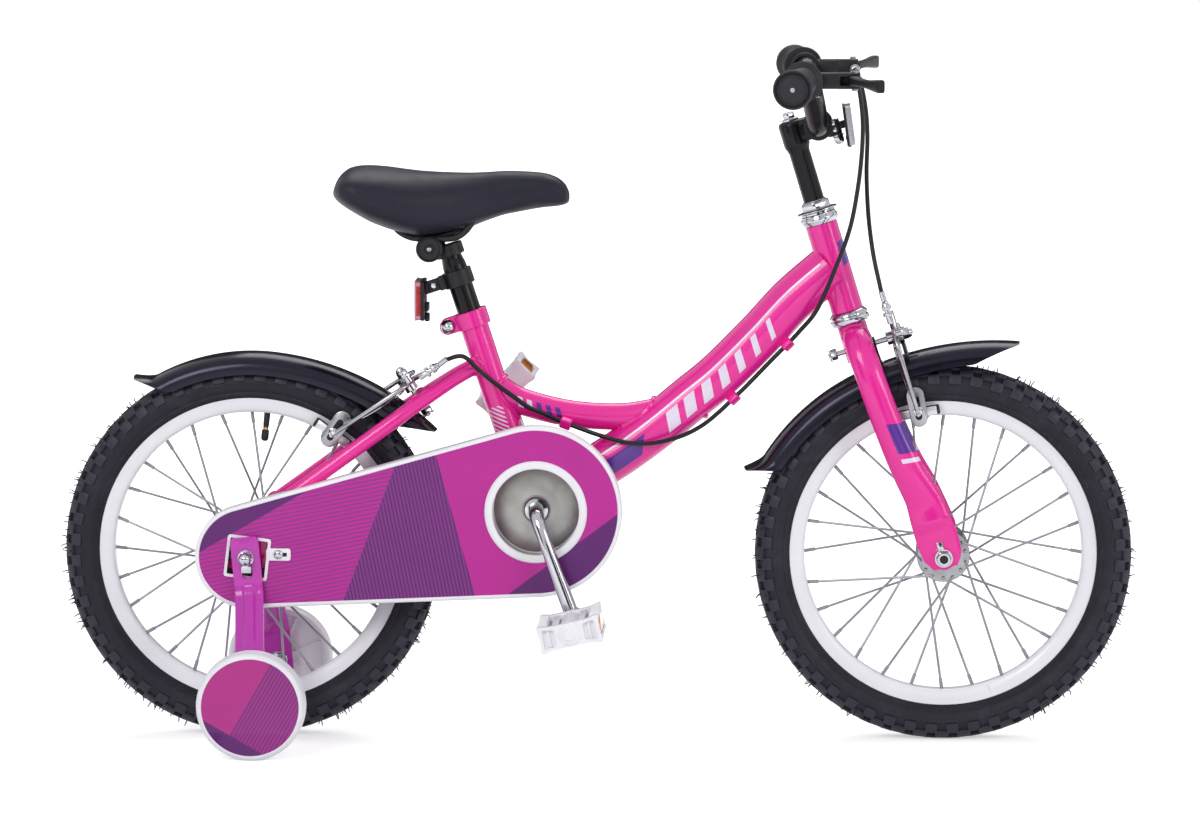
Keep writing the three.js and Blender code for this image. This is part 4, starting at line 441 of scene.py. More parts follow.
def plate(build, outline, matrix, thickness, bevel=0.6, segments=2, material=0):
    """A flat piece cut to an outline in the frame's x, y plane, with softened edges."""
    verts = [build.verts.new(matrix @ Vector((x, y, -thickness / 2))) for x, y in outline]
    face = build.faces.new(verts)
    lift = matrix.to_3x3() @ Vector((0, 0, thickness))
    grown = bmesh.ops.extrude_face_region(build, geom=[face])["geom"]
    top = [item for item in grown if isinstance(item, bmesh.types.BMVert)]
    bmesh.ops.translate(build, verts=top, vec=lift)
    if not face.is_valid:
        build.faces.new(verts)
    soften(build, {item for vert in verts + top for item in vert.link_faces}, bevel, segments, material)


def rounded(corners, radius, steps=4):
    """An outline whose corners are rounded off."""
    points = []
    count = len(corners)
    for number in range(count):
        corner = Vector(corners[number])
        before = Vector(corners[number - 1]) - corner
        after = Vector(corners[(number + 1) % count]) - corner
        reach = min(radius, before.length / 2.2, after.length / 2.2)
        start = corner + before.normalized() * reach
        end = corner + after.normalized() * reach
        for step in range(steps + 1):
            share = step / steps
            points.append(start.lerp(corner, share).lerp(corner.lerp(end, share), share))
    return [tuple(point) for point in points]


def oblong(x, y, radius, steps):
    """A rectangle with rounded corners, from its half sizes."""
    return rounded([(-x, -y), (x, -y), (x, y), (-x, y)], radius, steps)


def hexagon_nut(build, centre, axis, across_flats, height, material=0):
    """A nut with its corners turned off."""
    turn = Vector(axis).to_track_quat("Z", "Y").to_matrix().to_4x4()
    corners = [on_circle(across_flats / math.sqrt(3), math.pi * side / 3) for side in range(6)]
    middle = Vector(centre) + Vector(axis).normalized() * height / 2
    plate(build, corners, Matrix.Translation(middle) @ turn, height, bevel=height * 0.12, material=material)


def washer(build, foot, axis, bore, radius, thick, steps=28, material=0):
    """A plain flat ring that stands on its foot."""
    turned(build, [(bore, 0), (radius, 0), (radius, thick), (bore, thick)], foot, axis, steps, material)


def piece(build, name, finishes, body, nodes=(), angle=35):
    """Closes a bench drawing: merged, turned outwards, brought to metres and set on its body."""
    bmesh.ops.remove_doubles(build, verts=build.verts, dist=0.0005)
    bmesh.ops.recalc_face_normals(build, faces=build.faces)
    bmesh.ops.scale(build, vec=(millimetre,) * 3, verts=build.verts)
    made = put_in_scene(build, name)
    for finish in finishes if isinstance(finishes, list) else [finishes]:
        made.data.materials.append(finish)
    made.data.shade_smooth()
    made.data.set_sharp_from_angle(angle=math.radians(angle))
    if body:
        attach(made, body)
    if nodes:
        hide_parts(*nodes)
    return made


def steered(x, y, z):
    return steer_frame @ Vector((x, y, z))


def seated(x, y, z):
    return seat_frame @ Vector((x, y, z))


down_route = smooth_route([
    steered(-3, 0, 326), (208, 0, 469), (173, 0, 431), (130.7, 0, 388.5), (98.8, 0, 362),
    (61.2, 0, 331), (23, 0, 303), (-20, 0, 276), crank_axle,
], 72)
top_route = smooth_route([
    (-112, 0, 378), (-88, 0, 362), (-60, 0, 352.5), (-30, 0, 346), (2, 0, 343), (34, 0, 343.5),
    (66, 0, 349),
], 40)
head_from, head_to, head_radius, head_bore = 276, 373, 17, 14.4
down_radius, top_radius, seat_radius, seat_top = 25, 14.3, 15, 213
shell_radius, shell_bore, shell_half = 28.5, 25.8, 34
stay_radius, weld_radius = 8.2, 2.6


def seat_stay_route(side):
    return smooth_route([
        (-124, side * 7, 399), (-150, side * 17, 385), (-184, side * 32.5, 362.5),
        (-215, side * 42.5, 340.5), (-285, side * 51, 290), (-343, side * 57, 248),
    ], 40)


def chain_stay_route(side):
    return smooth_route([
        (-78, side * 23, 245), (-122, side * 29.5, 238), (-166, side * 38, 231),
        (-250, side * 46, 219), (-341, side * 57, 206),
    ], 32)


def chain_stay_size(share):
    return (stay_radius + 0.8 - 1.6 * share) * 0.85, stay_radius + 0.8 - 1.6 * share


def weld(build, target, places, size_at, towards, sides=40):
    """The bead of filler where a tube meets another: a wavy ring laid along the line where the
    tube's skin meets the target's."""
    tree = BVHTree.FromBMesh(target)
    start, end = (places[0], places[1]) if towards > 0 else (places[-1], places[-2])
    direction = (start - end).normalized()
    width, height = half_sizes(size_at, 0 if towards > 0 else 1)
    side = (across - direction * across.dot(direction)).normalized()
    up = side.cross(direction)
    outside = start - direction * 3.2 * max(width, height)
    line = []
    for point in ring_about(outside, side, up, width, height, sides):
        hit = tree.ray_cast(point, direction, 9 * max(width, height))[0]
        if hit is None:
            return
        line.append(hit)
    middle = sum(line, Vector()) / len(line)
    rings = []
    for step, place in enumerate(line):
        tangent = (line[(step + 1) % sides] - line[step - 1]).normalized()
        out = (place - middle - tangent * (place - middle).dot(tangent)).normalized()
        radius = weld_radius * (1 + 0.12 * math.cos(step * math.pi))
        rings.append(ring_about(place, out, out.cross(tangent), radius, radius, 10))
    loft(build, rings, closed=True)


def slanted(tree, along, rise, start, length, low, high, slope):
    """1 inside a slanted block of a stripe along the tube, else 0. Lengths are in metres."""
    shifted = sum_of(tree, along, sum_of(tree, rise, slope, "MULTIPLY"), "SUBTRACT")
    parts = [
        sum_of(tree, shifted, start, "GREATER_THAN"), sum_of(tree, shifted, start + length, "LESS_THAN"),
        sum_of(tree, rise, low, "GREATER_THAN"), sum_of(tree, rise, high, "LESS_THAN"),
    ]
    inside = parts[0]
    for part in parts[1:]:
        inside = sum_of(tree, inside, part, "MULTIPLY")
    return inside


pink = tint("f0249c")
lilac_white = tint("ecdff2")
purple = tint("5b2796")


def frame_stripes(tree, place):
    """The down tube's white line, a row of slanted bars that shorten upwards, and two purple
    blocks near the cranks; the top tube has a short row of the same bars."""
    along = add_node(tree, "Attribute", attribute_name="along").outputs["Fac"]
    rise = add_node(tree, "Attribute", attribute_name="rise").outputs["Fac"]
    colour = pink
    for start, length, low, high, slope, ink in frame_marks:
        inside = slanted(tree, along, rise, start, length, low, high, slope)
        colour = blended(tree, inside, colour, ink)
    return colour


# Each mark: where it starts, its length, its lower and upper edge across the tube, its slant and
# its colour. The down tube is measured from the head tube, and the top tube from a metre on.
frame_marks = [
    (0.006, 0.375, 0.0100, 0.0120, 0, lilac_white),
    (0.268, 0.086, -0.0135, 0.0035, -0.9, purple),
    (0.366, 0.03, -0.0135, 0.0035, -0.9, purple),
]
for mark in range(7):
    start, length = 0.086 + 0.0225 * mark, 0.0062 + 0.0016 * mark
    frame_marks.append((start, length, -0.0125, 0.0065, -0.55, lilac_white))
for mark in range(5):
    ink = lilac_white if mark < 2 else purple
    frame_marks.append((1.034 + 0.0105 * mark, 0.0058, -0.0045, 0.0055, -0.5, ink))


def tube_marks(tree, place):
    """A patch of fine white strokes low on the seat tube, and a purple badge on the head tube."""
    low = from_point(tree, place, seat_foot)
    rise, fore = along_direction(tree, low, seat_up), along_direction(tree, low, seat_forward)
    patch = slanted(tree, rise, fore, 0.082, 0.03, -0.013, 0.003, 0)
    run = sum_of(tree, rise, sum_of(tree, fore, 0.8, "MULTIPLY"))
    step = sum_of(tree, sum_of(tree, run, 1 / 0.0052, "MULTIPLY"), 0, "FRACT")
    strokes = sum_of(tree, patch, sum_of(tree, step, 0.42, "LESS_THAN"), "MULTIPLY")
    colour = blended(tree, strokes, pink, lilac_white)
    high = from_point(tree, place, steer_foot)
    rise, fore = along_direction(tree, high, steer_up), along_direction(tree, high, steer_forward)
    badge = slanted(tree, rise, fore, 0.318, 0.026, 0.0105, 0.03, 0.5)
    return blended(tree, badge, colour, purple)


def gloss_paint(name, colour):
    return surface(name, colour, 0.24, coat=0.4, mottle=0.05, cloud=16, grain=260, depth=0.02)


frame_paint = gloss_paint("frame_paint", frame_stripes)
plain_pink = gloss_paint("pink_paint", pink)
tube_paint = gloss_paint("tube_paint", tube_marks)

build = bmesh.new()
along_layer = build.verts.layers.float.new("along")
rise_layer = build.verts.layers.float.new("rise")


def measure(places, faces, start):
    """Marks each point of a tube with its place along the tube and its height across it."""
    lengths = [0]
    for a, b in zip(places, places[1:]):
        lengths.append(lengths[-1] + (b - a).length)
    last = len(places) - 1
    for vert in {vert for face in faces for vert in face.verts}:
        nearest = min(range(len(places)), key=lambda step: (places[step] - vert.co).length_squared)
        tangent = (places[min(nearest + 1, last)] - places[max(nearest - 1, 0)]).normalized()
        up = across.cross(tangent) * (1 if tangent.x < 0 else -1)
        vert[along_layer] = start + lengths[nearest] * millimetre
        vert[rise_layer] = (vert.co - places[nearest]).dot(up) * millimetre


measure(down_route, tube(build, down_route, down_radius, 48), 0)
measure(top_route, tube(build, top_route, top_radius, 36), 1)
turned(build, [
    (head_bore, head_from), (head_radius - 0.6, head_from), (head_radius, head_from + 0.6),
    (head_radius, head_to - 0.6), (head_radius - 0.6, head_to), (head_bore, head_to),
], steer_foot, steer_up, 48, 1)
turned(build, [
    (0, 8), (seat_radius, 8), (seat_radius, seat_top - 0.6), (seat_radius - 0.6, seat_top),
    (seat_radius - 2.2, seat_top), (seat_radius - 2.2, seat_top - 60), (0, seat_top - 60),
], seat_foot, seat_up, 40, 1)
turned(build, [
    (shell_bore, -shell_half), (shell_radius - 0.8, -shell_half), (shell_radius, 0.8 - shell_half),
    (shell_radius, shell_half - 0.8), (shell_radius - 0.8, shell_half), (shell_bore, shell_half),
], crank_axle, across, 48, 1)
rear_end_inner, rear_end_thick, rear_slot = 55, 4.6, 5.9
for side in (-1, 1):
    tube(build, seat_stay_route(side), stay_radius, 24, material=1)
    tube(build, chain_stay_route(side), chain_stay_size, 24, material=1)
    slot_round = [on_circle(rear_slot, math.radians(turn)) for turn in range(-90, 91, 30)]
    outline = rounded([(-22, 8), (14, 54), (32, 54), (40, 2), (30, -12), (-22, -13)], 5)
    end_at = Matrix.Translation(rear_axle + across * side * (rear_end_inner + rear_end_thick / 2)) @ upright
    plate(build, [*outline, (-22, -rear_slot), *slot_round, (-22, rear_slot)],
          end_at, rear_end_thick, 0.7, 2, 1)
for x, half, z, radius in ((-189, 35, 362, 7.5), (-140, 33, 236, 6)):
    pin(build, (x, -half, z), (x, half, z), radius, 24, 0.5, 1)
guide_places = [
    (Vector((201.8, -9, 421.5)), Vector((1, 0, 1)), Vector((-8, 8, 8))),
    (Vector((145.1, -9, 363.8)), Vector((1, 0, 0.95)), Vector((-8, 8, 8))),
    (Vector((-32.3, -18.4, 337.5)), Vector((-1, 0.1, 0.35)), Vector((-1, 9, 5))),
]
for place, along, reach in guide_places:
    along = along.normalized()
    out = -(reach - along * reach.dot(along)).normalized()
    turn = Matrix((along, out.cross(along), out)).transposed().to_4x4()
    block(build, (12, 11, 9), Matrix.Translation(place) @ turn, 1.4, 3, 1)
    block(build, (7, 4, 12), Matrix.Translation(place - out * 8) @ turn, 0.8, 2, 1)


def weld_onto(build, foot, up, low, high, radius, beads):
    """Beads round a turned post. Each is a tube's route, its size, which end meets the post, and sides."""
    target = bmesh.new()
    turned(target, [(0, low), (radius, low), (radius, high), (0, high)], foot, up, 64)
    for places, size_at, towards, sides in beads:
        weld(build, target, places, size_at, towards, sides)
    target.free()


target = bmesh.new()
tube(target, down_route, down_radius, 64)
weld(build, target, top_route, top_radius, -1)
target.free()
weld_onto(build, steer_foot, steer_up, head_from, head_to, head_radius, [(down_route, down_radius, 1, 56)])
weld_onto(build, seat_foot, seat_up, 8, seat_top, seat_radius, [
    (top_route, top_radius, 1, 40), *[(seat_stay_route(side), stay_radius, 1, 30) for side in (-1, 1)],
])
weld_onto(build, crank_axle, across, -shell_half, shell_half, shell_radius, [
    (down_route, down_radius, -1, 56), (straight(seated(0, 0, 8), seated(0, 0, 60), 4), seat_radius, 1, 40),
    *[(chain_stay_route(side), chain_stay_size, 1, 30) for side in (-1, 1)],
])
piece(build, "frame_tubes", [frame_paint, tube_paint], "frame", ["frame"])

# Wheels
# Two 16-inch wheels: knobbly black rubber tyres that still carry their moulding hairs, white
# painted rims, 28 wire spokes laced two-cross to steel hubs, rubber valves with dust caps, and
# axles held in the fork and frame ends by washers and hexagon nuts.

rubber_black = tint("211f2a")


def tyre_colour(tree, place):
    """Black with a bluish bloom, and faint rubbed patches as on new rubber."""
    rubs = add_node(
        tree, "TexNoise", {"Vector": place, "Scale": 26, "Detail": 8, "Roughness": 0.7},
    ).outputs[0]
    share = add_node(tree, "MapRange", {0: rubs, 1: 0.52, 2: 0.78, 3: 0, 4: 0.55}).outputs[0]
    return blended(tree, share, rubber_black, tint("3f3d49"))


tyre_rubber = surface(
    "tyre_rubber", tyre_colour, 0.56, mottle=0.25, cloud=30, gloss_play=0.16, grain=420,
    depth=0.12, specular=0.26,
)
# The knobs' rubber is the carcass's own rubber, painted lighter. This is painted light on the raised knobs,
# set against the darker carcass between them.
knob_rubber_painted_lit = surface(
    "knob_rubber_painted_lit", tint("2b2937"), 0.5, mottle=0.3, cloud=40, gloss_play=0.16, grain=700, depth=0.08,
    specular=0.34,
)
rim_paint = surface(
    "rim_paint", tint("f4f3f8"), 0.3, coat=0.3, mottle=0.05, cloud=20, grain=300, depth=0.012,
)
bright_steel = surface(
    "bright_steel", tint("a4a4a8"), 0.26, metallic=1, mottle=0.22, cloud=60, gloss_play=0.14,
    grain=1500, depth=0.01,
)
chrome = surface("chrome", tint("b9b9c0"), 0.12, metallic=1, cloud=40, gloss_play=0.08, depth=0.006)
spoke_steel = surface("spoke_steel", tint("9c9ca4"), 0.38, metallic=0.4, mottle=0.2, cloud=60, grain=1200)
brass = surface("brass", tint("c8a45a"), 0.3, metallic=1, mottle=0.3, cloud=200)
valve_rubber = surface("valve_rubber", tint("1d1c20"), 0.5, mottle=0.2, cloud=90, grain=1400)


def around(build, geometry, centre, axis, count):
    """Repeats what is drawn at even steps round an axis."""
    bmesh.ops.spin(
        build, geom=geometry, cent=centre, axis=axis, angle=2 * math.pi * (count - 1) / count,
        steps=count - 1, use_duplicate=True,
    )


def drawn_since(build, verts):
    """What was added to the drawing after the given set of points was noted."""
    fresh = [vert for vert in build.verts if vert not in verts]
    edges = list({edge for vert in fresh for edge in vert.link_edges})
    faces = list({face for vert in fresh for face in vert.link_faces})
    return fresh + edges + faces


def wheel_point(centre, radius, side, turn):
    x, z = on_circle(radius, turn)
    return centre + Vector((x, side, z))


def wheel_turn(centre, radius, side, turn, tip=0):
    """A frame on the wheel: x along its rim, y across it, z outwards, tipped towards the side."""
    return (
        Matrix.Translation(wheel_point(centre, radius, side, turn))
        @ Matrix.Rotation(-turn + math.pi / 2, 4, "Y") @ Matrix.Rotation(-tip, 4, "X")
    )


knob_count = 52
tyre_profile = [
    (161.6, 12.4), (163.2, 13.9), (165.2, 15.6), (168.2, 19.4), (169, 20.9), (169.9, 20.6),
    (172.6, 22.6), (176, 24), (178.6, 24.5), (180, 25), (181.4, 24.3), (184.6, 23.5),
    (188.6, 21.4), (192, 18.2), (194.6, 13.6), (195.9, 8), (196.4, 0),
]
hair_feet = {4: 199.6, 10: 198.6, 16: 196.6, 20.5: 192}


def make_tyre(name, centre, body, seed):
    """The carcass, its moulding hairs and four rows of knobs."""
    build = bmesh.new()
    chance = random.Random(seed)
    for hair in range(330):
        turn = chance.uniform(0, 2 * math.pi)
        side = chance.choice((-1, 1)) * chance.choice(tuple(hair_feet))
        radius = hair_feet[abs(side)]
        length = chance.uniform(4, 8.5)
        if math.sin(turn) < -0.94:
            continue
        foot = wheel_point(centre, radius - 2, side, turn)
        lean = Vector((chance.uniform(-0.4, 0.4), side * 0.022, chance.uniform(-0.4, 0.4)))
        out = ((foot - centre).normalized() + lean).normalized()
        bend = foot + out * length * 0.6
        tip = bend + (out + Vector((chance.uniform(-0.5, 0.5), 0, -0.25))).normalized() * length * 0.5
        tube(build, [foot, bend, tip], lambda share: (0.85 - 0.4 * share,) * 2, 5)
    knobs = [
        (197.6, 0, 0, (15, 9, 4.6), 0), (196.9, 9.6, 0.20, (14, 7.4, 4.6), 0.5),
        (192.8, 17, 0.80, (15, 9.4, 6.4), 0), (186.4, 21.6, 1.22, (13, 11, 5), 0.5),
    ]
    # The knobs take material 1, the rubber painted lighter as painted light.
    for radius, side, tip, size, lag in knobs:
        for way in (-1, 1) if side else (1,):
            noted = set(build.verts)
            turn = 2 * math.pi * lag / knob_count
            block(build, size, wheel_turn(centre, radius, way * side, turn, way * tip), 1, 2, 1)
            around(build, drawn_since(build, noted), centre, across, knob_count)
    outer = tyre_profile + [(radius, -side) for radius, side in reversed(tyre_profile[:-1])]
    turned(build, [*outer, (161.4, 0)], centre, across, 144)
    piece(build, name, [tyre_rubber, knob_rubber_painted_lit], body, [name], 40)


def make_rim(name, centre, body, turn):
    build = bmesh.new()
    half = [
        (147, 0), (147.1, 7.2), (147.9, 9.4), (150.5, 11.2), (155.4, 12.6), (160.4, 13.2), (162.2, 13.8),
        (163, 13.4), (163.1, 12.6), (162, 12.2), (157.4, 11), (154.2, 8.2),
    ]
    turned(build, half + [(radius, -side) for radius, side in reversed(half) if side], centre, across, 144)
    block(build, (0.5, 27, 11), wheel_turn(centre, 154.6, 0, turn + math.pi), 0.1, 1)
    piece(build, name, rim_paint, body, [name], 40)


def make_hub(name, centre, body, flange, flange_radius, barrel, end_radius, width, valve_turn):
    """The hub and its laced spokes, each with a hooked head, a straight shank and a nipple."""
    build = bmesh.new()
    for number in range(28):
        side = -1 if number % 2 == 0 else 1
        lean = 1 if (number // 2) % 2 else -1
        rim_turn = valve_turn + (2 * number + 1) * math.pi / 28
        hub_turn = rim_turn + lean * 2 * 2 * math.pi / 14
        plane = side * (flange + lean * 3.3)
        start = wheel_point(centre, flange_radius - 2.2, plane, hub_turn)
        tip = wheel_point(centre, 147.6, side * (2.1 + lean * 1.05), rim_turn)
        run = (tip - start).normalized()
        neck = start + run * 5
        inward = Vector((0, -side * lean, 0))
        wire = [start + inward * 5.2, start + inward * 1.4, start + run * 1.4, neck, tip]
        tube(build, wire, 1.3, 8, reference=run.cross(across).normalized(), material=2)
        turned(build, [(0, 5), (2, 5.2), (2.1, 5.8), (1.4, 6.6), (0, 6.9)], start, inward, 10)
        pin(build, tip - run * 12.5, tip + run * 1, 1.9, 10, 0.5, 2)
        turned(build, [(0, -1.2), (2.3, -1.2), (2.3, 0.2), (1.8, 0.9), (0, 0.9)], tip, -run, 10, 2)
    half = [
        (0, 0), (barrel, 0), (barrel, flange - 8), (barrel + 2.4, flange - 4.4), (barrel + 6, flange - 2.6),
        (flange_radius - 2.2, flange - 2.2), (flange_radius + 1.6, flange - 2.2),
        (flange_radius + 2.2, flange - 1.4), (flange_radius + 2.2, flange + 1.4),
        (flange_radius + 1.6, flange + 2.2), (barrel + 5, flange + 2.2), (barrel + 1.5, flange + 3.6),
        (end_radius + 1.6, flange + 5.4), (end_radius + 1.2, width / 2 - 1.5), (end_radius, width / 2),
        (0, width / 2),
    ]
    for out in (across, -across):
        turned(build, half, centre, out, 48)
    piece(build, name, [bright_steel, chrome, spoke_steel], body, [name])


def make_valve(name, centre, body, turn):
    build = bmesh.new()
    foot = wheel_point(centre, 150, 0, turn)
    inward = (centre - foot).normalized()
    stem = [(0, 0), (3.9, 0), (4.1, 1.6), (3.4, 4.6), (3.2, 16), (2.9, 19), (0, 19)]
    turned(build, stem, foot, inward, 20)
    collar = [(0, 18.6), (2.7, 18.6), (2.9, 19), (2.9, 21.4), (2.6, 21.8), (0, 21.8)]
    turned(build, collar, foot, inward, 20, 1)
    ridges = [(0, 22), (3.6, 22), (3.9, 22.6)]
    for ridge in range(5):
        start = 23 + ridge * 1.7
        ridges += [(3.9, start), (4.1, start + 0.4), (4.1, start + 1), (3.9, start + 1.4)]
    ridges += [(3.7, 32), (2.9, 33.6), (0, 34.2)]
    turned(build, ridges, foot, inward, 20)
    piece(build, name, [valve_rubber, brass], body, [name])


def make_axle(name, centre, body, length, thread_from):
    """The spindle, plain inside the hub and threaded beyond it."""
    build = bmesh.new()
    profile = [(0, 0), (4.4, 0), (4.4, thread_from)]
    for turn in range(int((length / 2 - thread_from - 1.2) / 1.3)):
        start = thread_from + turn * 1.3
        profile += [(4.75, start + 0.35), (4.75, start + 0.6), (4.35, start + 1.1)]
    profile += [(4.3, length / 2 - 0.8), (3.5, length / 2), (0, length / 2)]
    for side in (-1, 1):
        turned(build, profile, centre, across * side, 24)
    piece(build, name, bright_steel, body, [name], 30)


def make_axle_nut(name, centre, body, side, inner, domed):
    """A hexagon nut on a washer: domed, with a square tab, or open, with a dark disc of painted shade across
    its bore.
    """
    build = bmesh.new()
    out = across * side
    foot = centre + out * inner
    wide = 8.6 if domed else 9.8
    turned(build, [
        (5.2, 0), (wide - 0.4, 0), (wide, 0.4), (wide, 1.1), (wide - 0.4, 1.6), (5.2, 1.6),
    ], foot, out, 36)
    if domed:
        hexagon_nut(build, foot + out * 1.6, out, 13.6, 5.6)
        turned(build, [
            (0, 6.6), (6.6, 6.6), (6.9, 7.6), (6.8, 10), (6.2, 12.4), (4.9, 14.6), (3, 16), (0, 16.6),
        ], foot, out, 36)
        tab = Matrix.Translation(foot + out * 0.9 - Vector((-0.6, 0, 10.4)))
        block(build, (10.4, 1.6, 11), tab, 0.4, 2)
    else:
        hexagon_nut(build, foot + out * 1.6, out, 14.6, 6.4)
        turned(build, [(4.6, 8), (6.9, 8), (7.1, 8.8), (6.3, 10), (4.6, 10)], foot, out, 32)
        # A thin dark disc of valve rubber shuts the open nut's bore over the axle's end. This is painted
        # shade in the recess.
        turned(build, [(0, 9.4), (4.6, 9.4), (4.6, 9.7), (0, 9.7)], foot, out, 24, 1)
        tab = Matrix.Translation(foot + out * 0.8) @ steer_frame.to_3x3().to_4x4() @ shift(0, 0, 12)
        block(build, (6.4, 1.4, 12), tab, 0.5, 2)
    piece(build, name, [chrome, valve_rubber], body, [name], 30)


for end, centre, hub_sizes, turn, seed in [
    ("front", front_axle, (29, 26, 12, 9, 92), math.radians(109.29), 5),
    ("rear", rear_axle, (31, 27, 15, 10, 110), math.radians(83.57), 11),
]:
    body = end + "_wheel"
    make_tyre(end + "_tyre", centre, body, seed)
    make_rim(end + "_rim", centre, body, turn)
    make_hub(end + "_hub_and_spokes", centre, body, *hub_sizes, turn)
    make_valve(end + "_valve", centre, body, turn)

# Fork, headset and axle nuts
# A unicrown fork whose round blades sweep down from a short lug and flatten at the wheel nuts. It
# turns in two pressed steel cups, held down by a toothed washer and a hexagon locknut.


def fork_marks(tree, place):
    """One slanted purple block on the front half of each blade, over a thin pale line."""
    along = add_node(tree, "Attribute", attribute_name="along").outputs["Fac"]
    rise = add_node(tree, "Attribute", attribute_name="rise").outputs["Fac"]
    colour = blended(tree, slanted(tree, along, rise, 0.096, 0.034, -0.0015, 0.02, 0.3), pink, purple)
    return blended(tree, slanted(tree, along, rise, 0.136, 0.005, -0.0015, 0.02, 0.3), colour, lilac_white)


fork_paint = gloss_paint("fork_paint", fork_marks)
blade_sizes = [
    (14, 11), (14.5, 11), (15, 10.6), (15.2, 10.5), (15.4, 10.5), (15.6, 10.5), (16, 10.3), (16.6, 10),
    (17.4, 9), (18.6, 6.4), (21, 3.2), (22.4, 2.5), (20.6, 2.5), (13, 2.5),
]
blade_places = [
    (0, 5, 250), (0.5, 21, 247), (2, 36, 234), (3.5, 43.5, 213), (4.6, 46.3, 192), (6, 47.5, 168),
    (8, 48, 144), (10.6, 48.4, 120), (14.4, 48.8, 94), (19.4, 48.8, 68), (21, 48.8, 44), (22.2, 48.8, 22),
    (22.6, 48.8, 2), (22, 48.8, -10.5),
]


def blade_route(side):
    return smooth_route([steered(x, side * y, z) for x, y, z in blade_places], 78)


def blade_size(share):
    size = between([Vector(size) for size in blade_sizes], share)
    thick = eased([(0, size.y), (0.7, size.y), (0.785, 6.8), (0.815, 2.6), (1, 2.5)], share)
    return size.x, thick if share > 0.7 else size.y


build = bmesh.new()
fork_along = build.verts.layers.float.new("along")
fork_rise = build.verts.layers.float.new("rise")
for side in (-1, 1):
    places = blade_route(side)
    faces = tube(build, places, blade_size, 32, reference=steer_forward)
    for vert in {vert for face in faces for vert in face.verts}:
        nearest = min(places, key=lambda place: (place - vert.co).length_squared)
        vert[fork_along] = (steered(0, 0, 250) - nearest).dot(steer_up) * millimetre
        vert[fork_rise] = (vert.co - nearest).dot(steer_forward) * millimetre
turned(build, [
    (0, 222), (14.7, 222), (15.5, 222.8), (15.5, 260), (14.6, 262), (0, 262),
], steer_foot, steer_up, 48, 1)
threads = [(0, 255), (12.7, 255), (12.7, 384)]
for turn in range(14):
    threads += [(12.7, 384.2 + turn), (12.3, 384.7 + turn)]
threads += [(12.5, 398.5), (11.5, 398.5), (11.5, 300), (0, 300)]
turned(build, threads, steer_foot, steer_up, 40, 2)
weld_onto(build, steer_foot, steer_up, 222, 262, 15.5, [
    (blade_route(side)[3:], (12.6, 10.8), 1, 30) for side in (-1, 1)
])
for side in (-1, 1):
    for reach, size in ((50.9, 12.4), (45.9, 12)):
        turned(build, [(6.2, 0), (size, 0), (size, 0.5), (size - 0.6, 0.8), (6.2, 0.8)],
               front_axle + across * side * reach, across * side, 36, 1)
piece(build, "fork_blades", [fork_paint, plain_pink, bright_steel], "fork", ["fork"])

lower_cup = [
    (13.2, 262.3), (18.8, 262.3), (20.2, 263.2), (20.8, 265), (20.8, 267.6), (19.6, 268.6), (19.4, 269.6),
    (20.4, 270.4), (20.4, 272.6), (18.6, 274.4), (17.4, 275.7), (13.2, 275.7),
]
upper_cup = [
    (13.2, 373.3), (17.6, 373.3), (19.4, 376.4), (19.9, 378.2), (19.7, 380.2), (18.6, 381.6), (18.4, 383.5),
    (13.2, 383.5),
]
for name, profile in (("lower_cup", lower_cup), ("upper_cup", upper_cup)):
    build = bmesh.new()
    turned(build, profile, steer_foot, steer_up, 56)
    piece(build, name, chrome, "frame", ["headset_" + name], 50)
build = bmesh.new()
turned(build, [
    (13.2, 383.8), (17.2, 383.8), (18, 384.4), (18, 385.9), (17.2, 386.6), (13.2, 386.6),
], steer_foot, steer_up, 48)
turned(build, [(13.1, 386.7), (20.3, 386.7), (20.8, 387.1), (20.3, 388.2), (13.1, 388.2)],
       steer_foot, steer_up, 48)
for tooth in range(18):
    turn = 2 * math.pi * tooth / 18
    tooth_at = steer_frame @ shift(*on_circle(20.6, turn), 387.45) @ Matrix.Rotation(turn, 4, "Z")
    block(build, (2.2, 2.6, 1.4), tooth_at, 0.3, 1)
hexagon_nut(build, steered(0, 0, 388.4), steer_up, 29.6, 7.4)
turned(build, [(13.1, 395.6), (14.2, 395.6), (14.5, 396.2), (14.1, 397), (13.1, 397)],
       steer_foot, steer_up, 48)
piece(build, "locknut", chrome, "fork", ["headset_locknut"], 30)

make_axle("front_axle", front_axle, "fork", 120, 46.2)
make_axle("rear_axle", rear_axle, "frame", 176, 55.2)
for side, hand in hands:
    make_axle_nut("front_axle_nut_" + hand, front_axle, "fork", side, 51.6, False)
    make_axle_nut("rear_axle_nut_" + hand, rear_axle, "frame", side, 77.8, True)

# Crank bearing cups
# Two turned steel cups close the ends of the crank shell, each with a lock ring cut for a spanner.

for side, hand in hands:
    build = bmesh.new()
    turned(build, [
        (8.9, 25), (24.8, 25), (24.8, 34.3), (27.2, 34.3), (27.5, 34.8), (27.5, 37.2), (26.4, 38.2),
        (17.5, 38.5), (16.8, 38.1), (12, 38.1), (11.4, 38.5), (8.9, 38.5),
    ], crank_axle, across * side, 48)
    for notch in range(6):
        turn = math.pi * notch / 3
        notch_at = Matrix.Translation(wheel_point(crank_axle, 26.6, side * 36.2, turn))
        block(build, (5, 1.6, 5.2), notch_at @ Matrix.Rotation(-turn, 4, "Y"), 0.4, 1)
    piece(build, "bearing_cup_" + hand, bright_steel, "frame", ["bottom_bracket_cup_" + hand])

# Brakes
# Two side-pull caliper brakes. Each has two forged arms on one bolt, a wire return spring, slotted
# shoe holders with grey blocks, a cable anchor on one arm and a knurled adjuster on the other.

